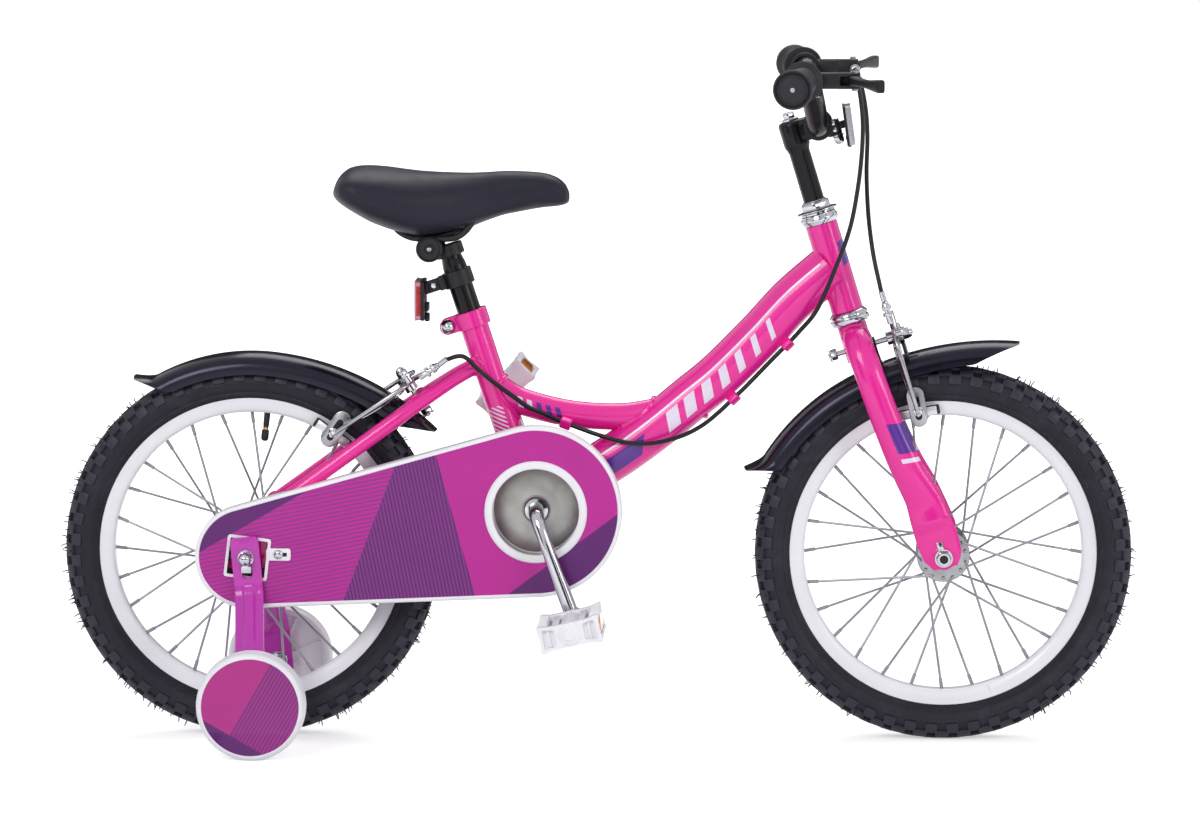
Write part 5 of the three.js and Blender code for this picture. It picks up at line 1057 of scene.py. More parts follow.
brake_dark = surface("brake_block", tint("232226"), 0.6, mottle=0.3, cloud=120, grain=1200, depth=0.05)
brake_shoe = surface("brake_shoe", tint("cfcdd2"), 0.34, metallic=0.9, mottle=0.15, cloud=70)


def brake_frame(pivot, forward, upward):
    side = upward.cross(forward)
    return Matrix.Translation(pivot) @ Matrix((forward, side, upward)).transposed().to_4x4()


pad_radius, pad_reach, arm_step = 153.6, 24.4, 5.3


def make_brake(end, frame_at, cable_side, back, axle_point, bodies, bolt_body):
    """Both arms of a brake and their bolt. Gives back the place of the cable's adjuster."""
    axle_at = frame_at.inverted() @ axle_point

    def at(x, y, z):
        return frame_at @ Vector((x, y, z))

    def direction(x, y, z):
        return frame_at.to_3x3() @ Vector((x, y, z))

    ahead = direction(1, 0, 0)
    for layer, name in enumerate(("inner", "outer")):
        s = -cable_side if layer else cable_side
        plane = layer * arm_step
        pad_from = plane - axle_at.x
        drop = axle_at.z + math.sqrt(pad_radius ** 2 - pad_from ** 2)
        turn = math.atan2(pad_from, drop - axle_at.z)
        build = bmesh.new()
        low = smooth_route([
            at(plane, 0, 0), at(plane, s * 18, 6), at(plane, s * 34, -4), at(plane, s * 38, -26),
            at(plane, s * 37, -54), at(plane, s * (pad_reach + 8), drop),
        ], 40)
        tube(build, low, lambda share: (2.5, 5.6 - 1.4 * share), 20, reference=ahead, squareness=0.6)
        rise = 8 if layer else 31
        tip = at(plane, cable_side * 46, rise)
        high = smooth_route([at(plane, 0, 0), at(plane, cable_side * 20, 3 if layer else 18), tip], 20)
        tube(build, high, lambda share: (2.5, 5.2 - 1.6 * share), 20, reference=ahead, squareness=0.6)
        turned(build, [
            (3.4, -2.5), (9.4, -2.5), (10, -1.9), (10, 1.9), (9.4, 2.5), (3.4, 2.5),
        ], at(plane, 0, 0), ahead, 36)
        if layer:
            pin(build, tip - direction(4, 0, 0), tip + direction(5, 0, 0), 4.4, 20, 0.4, 1)
            hexagon_nut(build, tip + direction(2.4, 0, 0), ahead, 9, 4.4, material=1)
            pin(build, tip - direction(0, 0, 5), tip + direction(0, 0, 24), 0.8, 8, 0.1)
        else:
            turned(build, [
                (1.6, -12), (3.2, -12), (3.4, -11.4), (3.4, -3.4), (5.4, -3.2), (5.6, -2.6), (5.6, -0.4),
                (5.2, 0), (3.1, 0.2), (3.1, 3), (4.5, 3.3), (4.7, 3.8), (4.7, 7.4), (4.3, 8.2),
                (3.6, 9.6), (3.4, 11.8), (1.6, 12),
            ], tip, direction(0, 0, 1), 24, 1)
            for knurl in range(12):
                middle = tip + direction(*on_circle(4.75, 2 * math.pi * knurl / 12), 5.6)
                pin(build, middle - direction(0, 0, 1.7), middle + direction(0, 0, 1.7), 0.55, 6, 0.1, 1)
        holder = frame_at @ shift(plane, s * pad_reach, drop) @ Matrix.Rotation(turn, 4, "Y")
        block(build, (46, 5.4, 10), holder @ shift(0, -s * 5.2, 0), 1.2, 2, 2)
        block(build, (40, 3.2, 9), holder @ shift(0, -s * 1.4, 0), 0.8, 2, 3)
        for slot in range(4):
            block(build, (1.4, 1.2, 9.8), holder @ shift(-15 + slot * 10, -s * 7.6, 0), 0.2, 1, 2)
        outline = []
        for step in range(36):
            x, z = on_circle(9.4, math.radians(5 + 10 * step))
            outline.append((x, z + math.copysign(12, z)))
        plate(build, outline, holder @ shift(0, s * 4.6, 7) @ upright, 2.6, 0.5, 2)
        for near, far, z, radius, steps, chamfer, material in [
            (0, 10, 0, 3, 16, 0.4, 1), (3.1, 6.4, -3.4, 3.6, 20, 0.2, 4), (3.1, 6.4, 15.4, 3.6, 20, 0.2, 4),
            (10.6, 12.8, 3, 2.4, 14, 0.5, 1),
        ]:
            ends = holder @ Vector((0, s * near, z)), holder @ Vector((0, s * far, z))
            pin(build, *ends, radius, steps, chamfer, material)
        block(build, (7.2, 3.3, 19), holder @ shift(0, s * 4.75, 6), 0.2, 1, 4)
        hexagon_nut(build, holder @ Vector((0, s * 6.1, 3)), direction(0, s, 0), 9.6, 4.6, material=1)
        spring = smooth_route([
            at(-3.4, s * 3, -8), at(-4.2, s * 16, -7), at(-4.4, s * 29, -12), at(-4.4, s * 32.6, -30),
            at(-3.6, s * 33.4, -52), at(plane - 1, s * 33.4, -62),
        ], 40)
        tube(build, spring, 1.05, 10, reference=ahead, material=1)
        finishes = [bright_steel, chrome, brake_dark, brake_shoe, tyre_rubber]
        name = end + "_brake_arm_" + name
        piece(build, name, finishes, bodies[layer], [name])
    build = bmesh.new()
    pin(build, at(-back, 0, 0), at(15.1, 0, 0), 3, 20, 0.5)
    for start, height in ((8.1, 6), (3 - back, 6.4)):
        hexagon_nut(build, at(start, 0, 0), ahead, 11.4, height)
    dome = [(0, 0), (5.2, 0), (5.6, 1.2), (4.8, 3.2), (2.6, 4.8), (0, 5.2)]
    turned(build, dome, at(13.9, 0, 0), ahead, 28)
    washer(build, at(1.4 - back, 0, 0), ahead, 3.2, 7.2, 1)
    turned(build, [(3.2, -9.8), (6.4, -9.8), (7, -9.2), (7, -3.4), (6.4, -2.8), (3.2, -2.8)],
           at(0, 0, 0), ahead, 28)
    piece(build, end + "_brake_bolt", chrome, bolt_body, [end + "_brake_bolt"], 30)
    return at(0, cable_side * 46, 43)


rear_out = Vector((-50, 0, 75)).normalized()
rear_up = Vector((75, 0, 50)).normalized()
front_brake_at = brake_frame(joint_place("front_arm_inner_close"), steer_forward, steer_up)
rear_brake_at = brake_frame(joint_place("rear_arm_inner_close"), rear_out, rear_up)
front_arms, rear_arms = ("front_arm_inner", "front_arm_outer"), ("rear_arm_inner", "rear_arm_outer")
front_barrel = make_brake("front", front_brake_at, -1, 74, front_axle, front_arms, "fork")
rear_barrel = make_brake("rear", rear_brake_at, 1, 42, rear_axle, rear_arms, "frame")

# Brake cables
# Two black plastic-covered housings with steel ferrules. The rear one swings past the head tube,
# runs through three lugs under the tubes and rises to the rear brake.

cable_black = surface("cable_black", tint("100f13"), 0.34, cloud=60, grain=1500, depth=0.01)
rear_cable_places = [
    (273.15, -113.7, 705.68), (273.15, -101.7, 705.68), (274, -90, 703.5), (277.5, -79.5, 686),
    (280, -70, 659), (279, -59, 625), (275, -48, 588), (268, -41, 550), (256, -36, 514), (234, -29, 462),
    (215, -12, 436), (201.8, -9, 421.5), (189, -8.6, 408.4), (158, -8.6, 376.2), (145.1, -9, 363.8),
    (130, -12, 349.5), (112, -17, 335.5), (90.3, -24, 325), (61.8, -29.5, 318), (33.8, -30.5, 318.6),
    (3, -26.5, 326), (-23.8, -19.3, 334.5), (-40.8, -17.5, 340.5), (-56, -18.2, 347.5), (-72, -19.5, 354.5),
    (-92, -20.5, 369), (-108, -20.5, 380.5), (-124, -24, 394), (-140, -36, 410), rear_barrel + rear_up * 10.3,
    rear_barrel + rear_up * 0.3,
]
front_cable_places = [
    (273.15, 113.7, 705.68), (273.15, 101.7, 705.68), (275, 90, 703.2), (280.5, 78, 687), (284.6, 60, 664),
    (286, 38, 638), (285, 12, 600), (287, -16, 558), (292, -34, 520), (299, -43, 488),
    front_barrel + steer_up * 12.3, front_barrel + steer_up * 0.3,
]
for name, places, top, low, start_at, end_at in [
    ("rear_brake_cable", rear_cable_places, "fork", "frame", (0.273, 0, 0.69), (0.203, 0, 0.43)),
    ("front_brake_cable", front_cable_places, "bar", "fork", (0.273, 0, 0.69), (0.3, 0, 0.49)),
]:
    build = bmesh.new()
    route = smooth_route(places, 12 * (len(places) - 1))
    tube(build, route, 2.4, 14)
    for tip, inward in ((route[0], route[3]), (route[-1], route[-4])):
        pin(build, tip, tip + (inward - tip).normalized() * 11, 3.05, 16, 0.5, 1)
    made = piece(build, name + "_housing", [cable_black, chrome], None, [name], 40)
    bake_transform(made)

# Mudguards
# Glossy black pressed channels over both wheels. Their skirts are cut away at the front tip, the
# tail is rolled out into a lip, and a short tab bolts each one behind its brake.

gloss_black = surface(
    "gloss_black", tint("100e18"), 0.22, coat=0.12, mottle=0.14, cloud=18, gloss_play=0.1, grain=300,
    depth=0.02, specular=0.34,
)
gloss_shader = gloss_black.node_tree.nodes["Principled BSDF"]
gloss_shader.inputs["Specular Tint"].default_value = (0.6, 0.57, 0.85, 1)
satin_black = surface("satin_black", tint("141318"), 0.42, mottle=0.14, cloud=40, grain=1300)
guard_half, guard_depth, guard_wall, guard_crown = 29.5, 22, 1.8, 211.8


def guard_section(share_cut, flatten):
    """The channel's outside from skirt to skirt, and back along its inside. Local x, height."""
    low = guard_depth * share_cut
    arch = min(low, guard_depth * 0.8)
    least = math.asin((1 - arch / (guard_depth * 0.8)) ** (1 / 0.9))
    outside = []
    for step in range(29):
        turn = math.pi - least - (math.pi - 2 * least) * step / 28
        x = math.copysign(abs(math.cos(turn)) ** 0.8, math.cos(turn))
        outside.append((x * guard_half, -guard_depth * 0.8 * (1 - abs(math.sin(turn)) ** 0.9)))
    reach = outside[-1][0]
    outside = [(-reach, -low - 0.6), *outside, (reach, -low - 0.6)]
    inside = [
        (x * (1 - guard_wall / reach), height - guard_wall * (height > -arch * 0.9))
        for x, height in reversed(outside)
    ]
    return [(x, height * flatten) for x, height in outside + inside]


def make_mudguard(name, centre, sweep, body, tab_frame, tab_plane, tab_drop, nose, tail):
    """The channel, bent from one angle to the other round its wheel, and its tab with two screws."""
    start, stop, front_lift, turn_at, rear_lift = sweep
    build = bmesh.new()
    rings = []
    steps = 84
    for step in range(steps + 1):
        share = step / steps
        angle = start + (stop - start) * share
        front = max(0, (turn_at - angle) / (turn_at - start))
        rear = max(0, (angle - turn_at) / (stop - turn_at))
        lip = max(0, share - 0.94) / 0.06
        lift = front_lift * front ** 2 + rear_lift * rear ** 2 + 12 * lip ** 1.5
        cut = min(1, 0.05 + share / nose, 0.25 + (1 - share) / tail)
        out = wheel_point(Vector(), 1, 0, math.radians(angle))
        rings.append([
            centre + out * (guard_crown + lift + height) + across * x
            for x, height in guard_section(cut, 1 - 0.45 * lip)
        ])
    loft(build, rings)
    tab = tab_frame @ shift(tab_plane + 1.2, 0, (6 - tab_drop) / 2) @ Matrix.Rotation(math.pi / 2, 4, "Y")
    block(build, (tab_drop + 6, 14, 2.2), tab, 0.5, 2, 1)
    for side in (-1, 1):
        foot = tab_frame @ Vector((tab_plane + 4, side * 3.6, 0.9 - tab_drop))
        out = tab_frame.to_3x3() @ Vector((1, 0, 1))
        turned(build, [(0, 0), (2.6, 0), (2.4, 1), (1.2, 1.7), (0, 1.8)], foot, out, 16, 2)
    piece(build, name, [gloss_black, satin_black, chrome], body, [name], 40)


front_sweep, rear_sweep = (70.5, 157, 27, 118, 6), (33, 124, 24, 84, 0)
make_mudguard("front_mudguard", front_axle, front_sweep, "fork", front_brake_at, -24.4, 24, 0.13, 0.05)
make_mudguard("rear_mudguard", rear_axle, rear_sweep, "frame", rear_brake_at, -31.4, 19, 0.09, 0.12)

# Chain drive
# A half-inch roller chain on a 32-tooth front wheel and an 18-tooth rear one. Inner and outer links
# alternate, with barrelled rollers on riveted pins.

oiled_steel = surface(
    "oiled_steel", tint("6f6b66"), 0.38, metallic=1, mottle=0.3, cloud=90, gloss_play=0.16,
)
cloudy_steel = surface(
    "cloudy_steel", tint("b8b8b3"), 0.36, metallic=0.55, mottle=0.3, cloud=34, gloss_play=0.2,
    grain=700, depth=0.02,
)
pitch = 12.7
chain_side = -44.2
big_wheel = (crank_axle, pitch / (2 * math.sin(math.pi / 32)))
small_wheel = (rear_axle, pitch / (2 * math.sin(math.pi / 18)))


def chain_path(count):
    """The centres of the chain's pins round both wheels."""
    (big, big_radius), (small, small_radius) = big_wheel, small_wheel
    gap = small - big
    reach = math.hypot(gap.x, gap.z)
    line = math.atan2(gap.z, gap.x)
    taper = math.asin((big_radius - small_radius) / reach)
    run_straight = reach * math.cos(taper)
    wrap_big = big_radius * (math.pi + 2 * taper)
    wrap_small = small_radius * (math.pi - 2 * taper)
    total = 2 * run_straight + wrap_big + wrap_small
    start = line - math.pi / 2 + taper
    places = []

    def on_line(centre, radius, turn, run):
        ahead = Vector((-math.sin(turn), 0, math.cos(turn)))
        return wheel_point(centre, radius, 0, turn) + ahead * run

    for link in range(count):
        run = link / count * total
        if run < wrap_big:
            places.append(on_line(big, big_radius, start + (run - wrap_big) / big_radius, 0))
            continue
        run -= wrap_big
        if run < run_straight:
            places.append(on_line(big, big_radius, start, run))
            continue
        run -= run_straight
        if run < wrap_small:
            places.append(on_line(small, small_radius, start + run / small_radius, 0))
            continue
        run -= wrap_small
        places.append(on_line(small, small_radius, start + wrap_small / small_radius, run))
    return places


pins = chain_path(74)
build = bmesh.new()
for number, place in enumerate(pins):
    following = pins[(number + 1) % len(pins)]
    run = following - place
    along = run.normalized()
    turn = Matrix((along, along.cross(across), across)).transposed().to_4x4()
    outline = []
    for step in range(20):
        x, z = on_circle(1, 2 * math.pi * step / 20)
        length = run.length / 2 * math.copysign(abs(x) ** 0.5, x) + 3.9 * x ** 3
        outline.append((length, (4.1 - 1.3 * z ** 4) * z))
    middle = (place + following) / 2 + across * chain_side
    for side in (-1, 1):
        level = side * (2 if number % 2 else 3.05)
        plate(build, outline, Matrix.Translation(middle + across * level) @ turn, 0.9, 0)
    for half, radius, steps in ((3.7, 1.8, 10), (1.5, 3.8, 14)):
        ends = [place + across * (chain_side + half * side) for side in (-1, 1)]
        pin(build, *ends, radius, steps, 0.3)
piece(build, "roller_chain", oiled_steel, "frame", ["chain"])

tooth_shape = [
    (-3.9, -5.4), (-4.05, -4), (-2.2, -2.6), (1.4, -1.7), (3, -0.8), (3, 0.8), (1.4, 1.7), (-2.2, 2.6),
    (-4.05, 4),
]


def toothed_outline(centre, teeth, radius, phase):
    outline = []
    for tooth in range(teeth):
        middle = phase + (tooth + 0.5) * 2 * math.pi / teeth
        for reach, side in tooth_shape:
            x, z = on_circle(radius + reach, middle + side / radius)
            outline.append((centre.x + x, centre.z + z))
    return outline


def flat_ring(build, loops, level, thickness, material=0):
    """A plate with holes: its outline first, then its holes, each a loop of x, z points."""
    edges = []
    for loop in loops:
        verts = [build.verts.new((x, level - thickness / 2, z)) for x, z in loop]
        edges += [build.edges.new((verts[number - 1], verts[number])) for number in range(len(verts))]
    filled = bmesh.ops.triangle_fill(build, edges=edges, use_beauty=True, use_dissolve=False)["geom"]
    faces = [item for item in filled if isinstance(item, bmesh.types.BMFace)]
    grown = bmesh.ops.extrude_face_region(build, geom=faces, use_keep_orig=True)["geom"]
    top = [item for item in grown if isinstance(item, bmesh.types.BMVert)]
    bmesh.ops.translate(build, verts=top, vec=(0, thickness, 0))
    for face in set(faces) | {face for vert in top for face in vert.link_faces}:
        face.material_index = material


def circle(centre, radius, count):
    around_it = [on_circle(radius, 2 * math.pi * step / count) for step in range(count)]
    return [(centre.x + x, centre.z + z) for x, z in around_it]


for name, body, (centre, radius), teeth, bore in [
    ("chainring", "crank", big_wheel, 32, 8.9), ("rear_sprocket", "rear_sprocket", small_wheel, 18, 10.5),
]:
    touching = min(pins, key=lambda place: abs((place - centre).length - radius))
    phase = math.atan2(touching.z - centre.z, touching.x - centre.x)
    build = bmesh.new()
    outline = toothed_outline(centre, teeth, radius, phase)
    flat_ring(build, [outline, circle(centre, bore, 40)], chain_side, 2.2)
    if name == "chainring":
        for profile, steps in [
            ([(46, -1.1), (55, -1.1), (55.6, -1.7), (54.6, -2.1), (46.6, -2.1), (45.4, -1.5)], 64),
            ([(9, -1.6), (44.6, -1.6), (45.6, -1.15), (45.6, -1), (9, -1)], 64),
            ([(15.4, -3.2), (24, -1.8), (24, -1.5), (15.4, -1.5)], 48),
        ]:
            turned(build, profile, centre + across * chain_side, across, steps, 1)
    else:
        turned(build, [
            (10.5, -12), (17.6, -12), (18, -11.4), (18, -9.2), (21, -8.4), (21, 0), (20.4, 0.6),
            (10.5, 0.6),
        ], centre + across * -37, across, 48, 1)
        for pawl in range(4):
            place = wheel_point(centre, 17.2, -48.4, math.pi * (pawl / 2 + 0.25))
            block(build, (4.4, 2.4, 2.6), Matrix.Translation(place), 0.4, 1, 1)
    piece(build, name + "_wheel", [oiled_steel, cloudy_steel], body, [name])

# Cranks
# A one-piece forged and chromed crank: a round bar bent out, down to the right pedal and up to the
# left, held by a nut and washer against the chain wheel.

crank_turn = math.radians(20.4)
build = bmesh.new()


def crank_place(sign, reach, y):
    return crank_axle + Vector((sign * reach * math.sin(crank_turn), y, -sign * reach * math.cos(crank_turn)))


crank_route = smooth_route([crank_place(sign, reach, y) for sign, reach, y in [
    (1, 118, -94), (1, 70.8, -91.5), (1, 30, -88), (1, 7, -80), (0, 0, -60), (0, 0, -45), (0, 0, 36),
    (0, 0, 50), (-1, 7, 71), (-1, 30, 78), (-1, 70.8, 81.5), (-1, 118, 84),
]], 132)
crank_sizes = [(0, 8), (0.2, 6.8), (0.34, 8.2), (0.66, 8.2), (0.8, 6.8), (1, 8)]
tube(build, crank_route, lambda share: eased(crank_sizes, share), 28,
     reference=wheel_point(Vector(), 1, 0, crank_turn), squareness=0.9)
pedal_places = {-1: joint_place("pedal_right_spin"), 1: joint_place("pedal_left_spin")}
for side, reach in ((-1, 94), (1, 84)):
    eye = Vector((pedal_places[side].x, side * reach, pedal_places[side].z))
    turned(build, [
        (0, -9.5), (11, -9.5), (12.5, -8.3), (12.5, 8.3), (11, 9.5), (7.4, 9.5), (7.4, 8.4), (0, 8.4),
    ], eye, across * side, 40)
    hexagon_nut(build, eye + across * side * 8.8, across * side, 12.6, 3, material=1)
    pin(build, eye, eye + across * side * 98, 6.2, 20, 0.8, 1)
for profile, y, out in [
    ([(8.8, 0), (13, 0), (13.8, 0.6), (13.8, 4.4), (13, 5.2), (8.8, 5.2)], -51.6, across),
    ([(8.8, 0), (14.4, 0), (15, 0.5), (15, 1.6), (8.8, 1.6)], -42.7, across),
    ([(8.6, 0), (13, 0), (13.4, 0.8), (12.2, 2.6), (8.6, 3.2)], -51.8, -across),
]:
    turned(build, profile, Vector((crank_axle.x, y, crank_axle.z)), out, 40)
piece(build, "one_piece_crank", [chrome, bright_steel], "crank", ["crank"])

# Pedals
# White moulded block pedals with a bow-tie end profile, windows either side of the barrel, ribbed
# treads and amber reflectors let into the long sides.

white_plastic = surface("white_plastic", tint("f7f6fa"), 0.36, mottle=0.05, cloud=30, grain=700)
amber_lens = surface(
    "amber_lens", tint("f08a1c"), 0.12, coat=0.6, mottle=0.3, cloud=140, grain=2400, depth=0.2,
)

for side, hand, reach, tilt in ((-1, "right", 94, 13), (1, "left", 84, 46)):
    build = bmesh.new()
    eye = pedal_places[side]
    turn = shift(eye.x, 0, eye.z) @ Matrix.Rotation(-math.radians(tilt), 4, "Y")
    hub = Vector((eye.x, side * reach, eye.z))
    inner = side * (reach + 12.5)
    outer = side * (reach + 102.5)
    middle = (inner + outer) / 2
    half_outline = [(31.2, 0), (33, 12.2), (32.2, 14.5), (29, 14.5), (22, 12.6), (10, 12.4)]
    upper = half_outline + [(-x, z) for x, z in reversed(half_outline)]
    outline = upper + [(x, -z) for x, z in reversed(upper[1:-1])]
    outline = rounded(outline, 2.4, 3)
    pockets = [
        rounded([(end * 15, -8.6), (end * 28.6, -10.4), (end * 27.4, 10.4), (end * 15, 8.6)], 2.4, 4)
        for end in (-1, 1)
    ]
    flat_ring(build, [outline, *pockets], outer - side * 2.4, 4.4)
    for vert in build.verts:
        vert.co = turn @ vert.co
    for y, thick in ((inner + side * 4, 8), (outer - side * 6.4, 4)):
        plate(build, outline, turn @ shift(0, y, 0) @ upright, thick, 0.9, 2)
    for end in (-1, 1):
        blocks = [
            ((1.8, 3.4, 18), (21.5, outer - side * 3.4, 0), 0.5, 2, 0),
            ((3, 76, 17), (24, middle, 0), 0.6, 1, 0),
            ((3.4, 54, 14.2), (30.4, middle, 0), 0.9, 2, 1),
        ]
        for way in (-1, 1):
            blocks += [
                ((10.4, 78, 4.6), (27.2, middle, way * 10.4), 1, 2, 0),
                ((6.2, 78, 4), (14.2, middle, way * 9.4), 0.8, 2, 0),
                ((8, 9, 17), (27.6, middle + way * 33.6, 0), 0.8, 2, 0),
                ((14, 4, 20), (16, middle + way * 31, 0), 0.8, 2, 0),
            ]
            for rib in range(9):
                blocks.append(((9.4, 2.4, 2.4), (27.6, middle + (rib - 4) * 8.4, way * 12.6), 0.5, 1, 0))
        for size, (x, y, z), bevel, segments, material in blocks:
            block(build, size, turn @ shift(end * x, y, z), bevel, segments, material)
    turned(build, [
        (6.8, 12.6), (11.4, 12.6), (12, 13.2), (12, 100), (11, 103.2), (7.6, 104.6), (0, 104.9),
        (0, 98.5), (6.8, 98.5),
    ], hub, across * side, 36)
    turned(build, [(0, 104.6), (6, 104.6), (6.4, 105), (5.6, 105.7), (0, 106)], hub, across * side, 28)
    piece(build, "pedal_body_" + hand, [white_plastic, amber_lens], "pedal_" + hand,
          ["pedal_" + hand])

# Chain guard
# A moulded cover with a rounded white rim. Its face carries plain magenta and purple fields with
# fine diagonal ruling, a ring round the open mouth, a framed window at the axle and a screwed tab.

guard_magenta = tint("bf2297")
guard_purple = tint("5e176c")


def rulings(tree, place, direction, spacing, share):
    """1 on the lines of a ruling that runs across the given direction."""
    run = along_direction(tree, place, direction)
    step = sum_of(tree, sum_of(tree, run, 1 / spacing, "MULTIPLY"), 0, "FRACT")
    return sum_of(tree, step, share, "LESS_THAN")


def face_fields(tree, place):
    """Plain magenta between a ruled magenta rear, a ruled purple wedge and a purple front field."""
    def beyond(normal, limit):
        return sum_of(tree, along_direction(tree, place, normal), limit, "GREATER_THAN")

    ahead = beyond((0.933, 0, -0.359), -0.303)
    rear_lines = rulings(tree, place, (-0.2, 0, 0.98), 0.0043, 0.4)
    rear = blended(tree, rear_lines, guard_magenta, tint("922a8b"))
    rear = blended(tree, beyond((-0.5, 0, 0.866), 0.386), rear, guard_purple)
    wedge_lines = rulings(tree, place, (0.98, 0, 0.2), 0.0038, 0.45)
    wedge = blended(tree, wedge_lines, tint("862a86"), tint("561c66"))
    wedge = blended(tree, beyond((0.964, 0, 0.266), -0.079), wedge, guard_magenta)
    colour = blended(tree, ahead, rear, wedge)
    return blended(tree, beyond((0.596, 0, -0.803), -0.184), colour, guard_purple)


guard_print = surface("guard_print", face_fields, 0.36, coat=0.1, mottle=0.06, cloud=26, grain=500)
build = bmesh.new()
face_level, guard_thick, guard_deep = -70, 2.2, 17


def guard_outline(inset, count=120):
    big, small = 91 - inset, 55 - inset
    gap = rear_axle - crank_axle
    reach = math.hypot(gap.x, gap.z)
    line = math.atan2(-gap.z, -gap.x)
    taper = math.asin((big - small) / reach)
    points = []
    for centre, radius, start, sweep in [
        (crank_axle, big, line - math.pi / 2 - taper, math.pi + 2 * taper),
        (rear_axle, small, line + math.pi / 2 + taper, math.pi - 2 * taper),
    ]:
        for step in range(count // 2):
            x, z = on_circle(radius, start + sweep * step / (count // 2 - 1))
            points.append((centre.x + x, centre.z + z))
    return points


def guard_ring(inset, level):
    return [Vector((x, level, z)) for x, z in guard_outline(inset)]


rim_rings = [(guard_thick, guard_deep), (0, guard_deep), (0, 3.6)]
for step in range(1, 9):
    x, z = on_circle(3.2, math.pi / 2 * step / 8)
    rim_rings.append((3.2 - x, 3.2 - z))
rim_rings += [(4, 0), (4.6, 0.7), (4.6, guard_thick), (guard_thick, 4.6)]
loft(build, [guard_ring(inset, face_level + depth) for inset, depth in rim_rings], closed=True)
window_turn = math.radians(7)


def window_loop(width, height, radius):
    made = []
    for x, z in oblong(width / 2, height / 2, radius, 3):
        place = rear_axle + Matrix.Rotation(window_turn, 3, "Y") @ Vector((x, 0, z))
        made.append((place.x + 1, place.z - 0.5))
    return made


flat_ring(build, [guard_outline(4.4), circle(crank_axle, 46.2, 72), window_loop(41, 40, 2)],
          face_level + 1.5, 1.5, 1)
flat_ring(build, [window_loop(46, 45, 3), window_loop(40, 39, 1.5)], face_level + 0.5, 3)
turned(build, [
    (45.7, 0), (45.7, -3.4), (46.5, -4.2), (50, -4.4), (53.2, -3.4), (54.2, -2.2), (54.2, -0.4), (50, 0.2),
], crank_axle + across * (face_level + 2.2), across, 96)
tab_foot = rear_axle + Vector((34, face_level, 3))
tab_at = Matrix.Translation(tab_foot - across * 0.5) @ upright
plate(build, oblong(13, 6.5, 3, 4), tab_at, 1.8, 0.5, 2)
block(build, (12, 4.2, 1.2), tab_at @ shift(3, 0, 0.7), 0.5, 2, 2)
turned(build, [(0, 0), (4.7, 0), (5, 0.5), (4.2, 1.8), (2.4, 2.6), (0, 2.8)],
       tab_foot - across * 1.2, -across, 28, 3)
pin(build, tab_foot, tab_foot + across * 6.5, 4.6, 20, 0.4)
piece(
    build, "guard_cover", [white_plastic, guard_print, satin_black, chrome], "frame",
    ["chain_guard"], 40,
)

# Stabilisers
# Two pressed steel arms in glossy magenta, slotted over the rear axle, bent out and stiffened by a
# rib. Each carries a stub bolt and a hollow moulded wheel with a printed disc on its outer face.

magenta_paint = surface("magenta_paint", tint("c22fb0"), 0.22, coat=0.4, mottle=0.07, cloud=18, grain=280)
arm_route = [(75.5, 22), (75.5, -38), (141, -108), (141, -158)]
arm_half, arm_thick, arm_round = 15, 4, 9
arm_turn = Matrix.Translation(rear_axle) @ Matrix.Rotation(-math.radians(5.3), 4, "Y")
wheel_foot = Vector((rear_axle.x + 143.4 * math.sin(math.radians(5.3)), 0, 56.3))
bend_window = (-1, -0.75, -0.5, -0.25, 0, 0.25, 0.5, 0.75, 1)


def arm_path(run):
    """The place (y, z) a distance down the arm's middle, its corners still sharp."""
    for (y, z), (next_y, next_z) in zip(arm_route, arm_route[1:]):
        length = math.hypot(next_y - y, next_z - z)
        if run <= length or (next_y, next_z) == arm_route[-1]:
            return Vector((y, z)).lerp(Vector((next_y, next_z)), run / length)
        run -= length
    return None


arm_length = sum(math.dist(a, b) for a, b in zip(arm_route, arm_route[1:]))


def bent(point, side):
    """Carries a point of the flat pressing (x across, y down the arm, z out of it) to the bent arm."""
    x, run, lift = point
    window = [arm_path(run + arm_round * share) for share in bend_window]
    middle = sum(window, Vector((0, 0))) / len(window)
    tangent = (window[-1] - window[0]).normalized()
    rise = eased([(0, 0), (1, 1)], min(max((run - 50) / 9, 0), 1))
    rise *= eased([(0, 0), (1, 1)], min(max((160 - run) / 10, 0), 1))
    bulge = 3 * rise * eased([(0, 1), (0.24, 1), (0.5, 0), (1, 0)], abs(x) / arm_half)
    out = -tangent.y * (lift + bulge)
    down = tangent.x * (lift + bulge)
    return arm_turn @ Vector((x, side * (middle.x + out), middle.y + down))


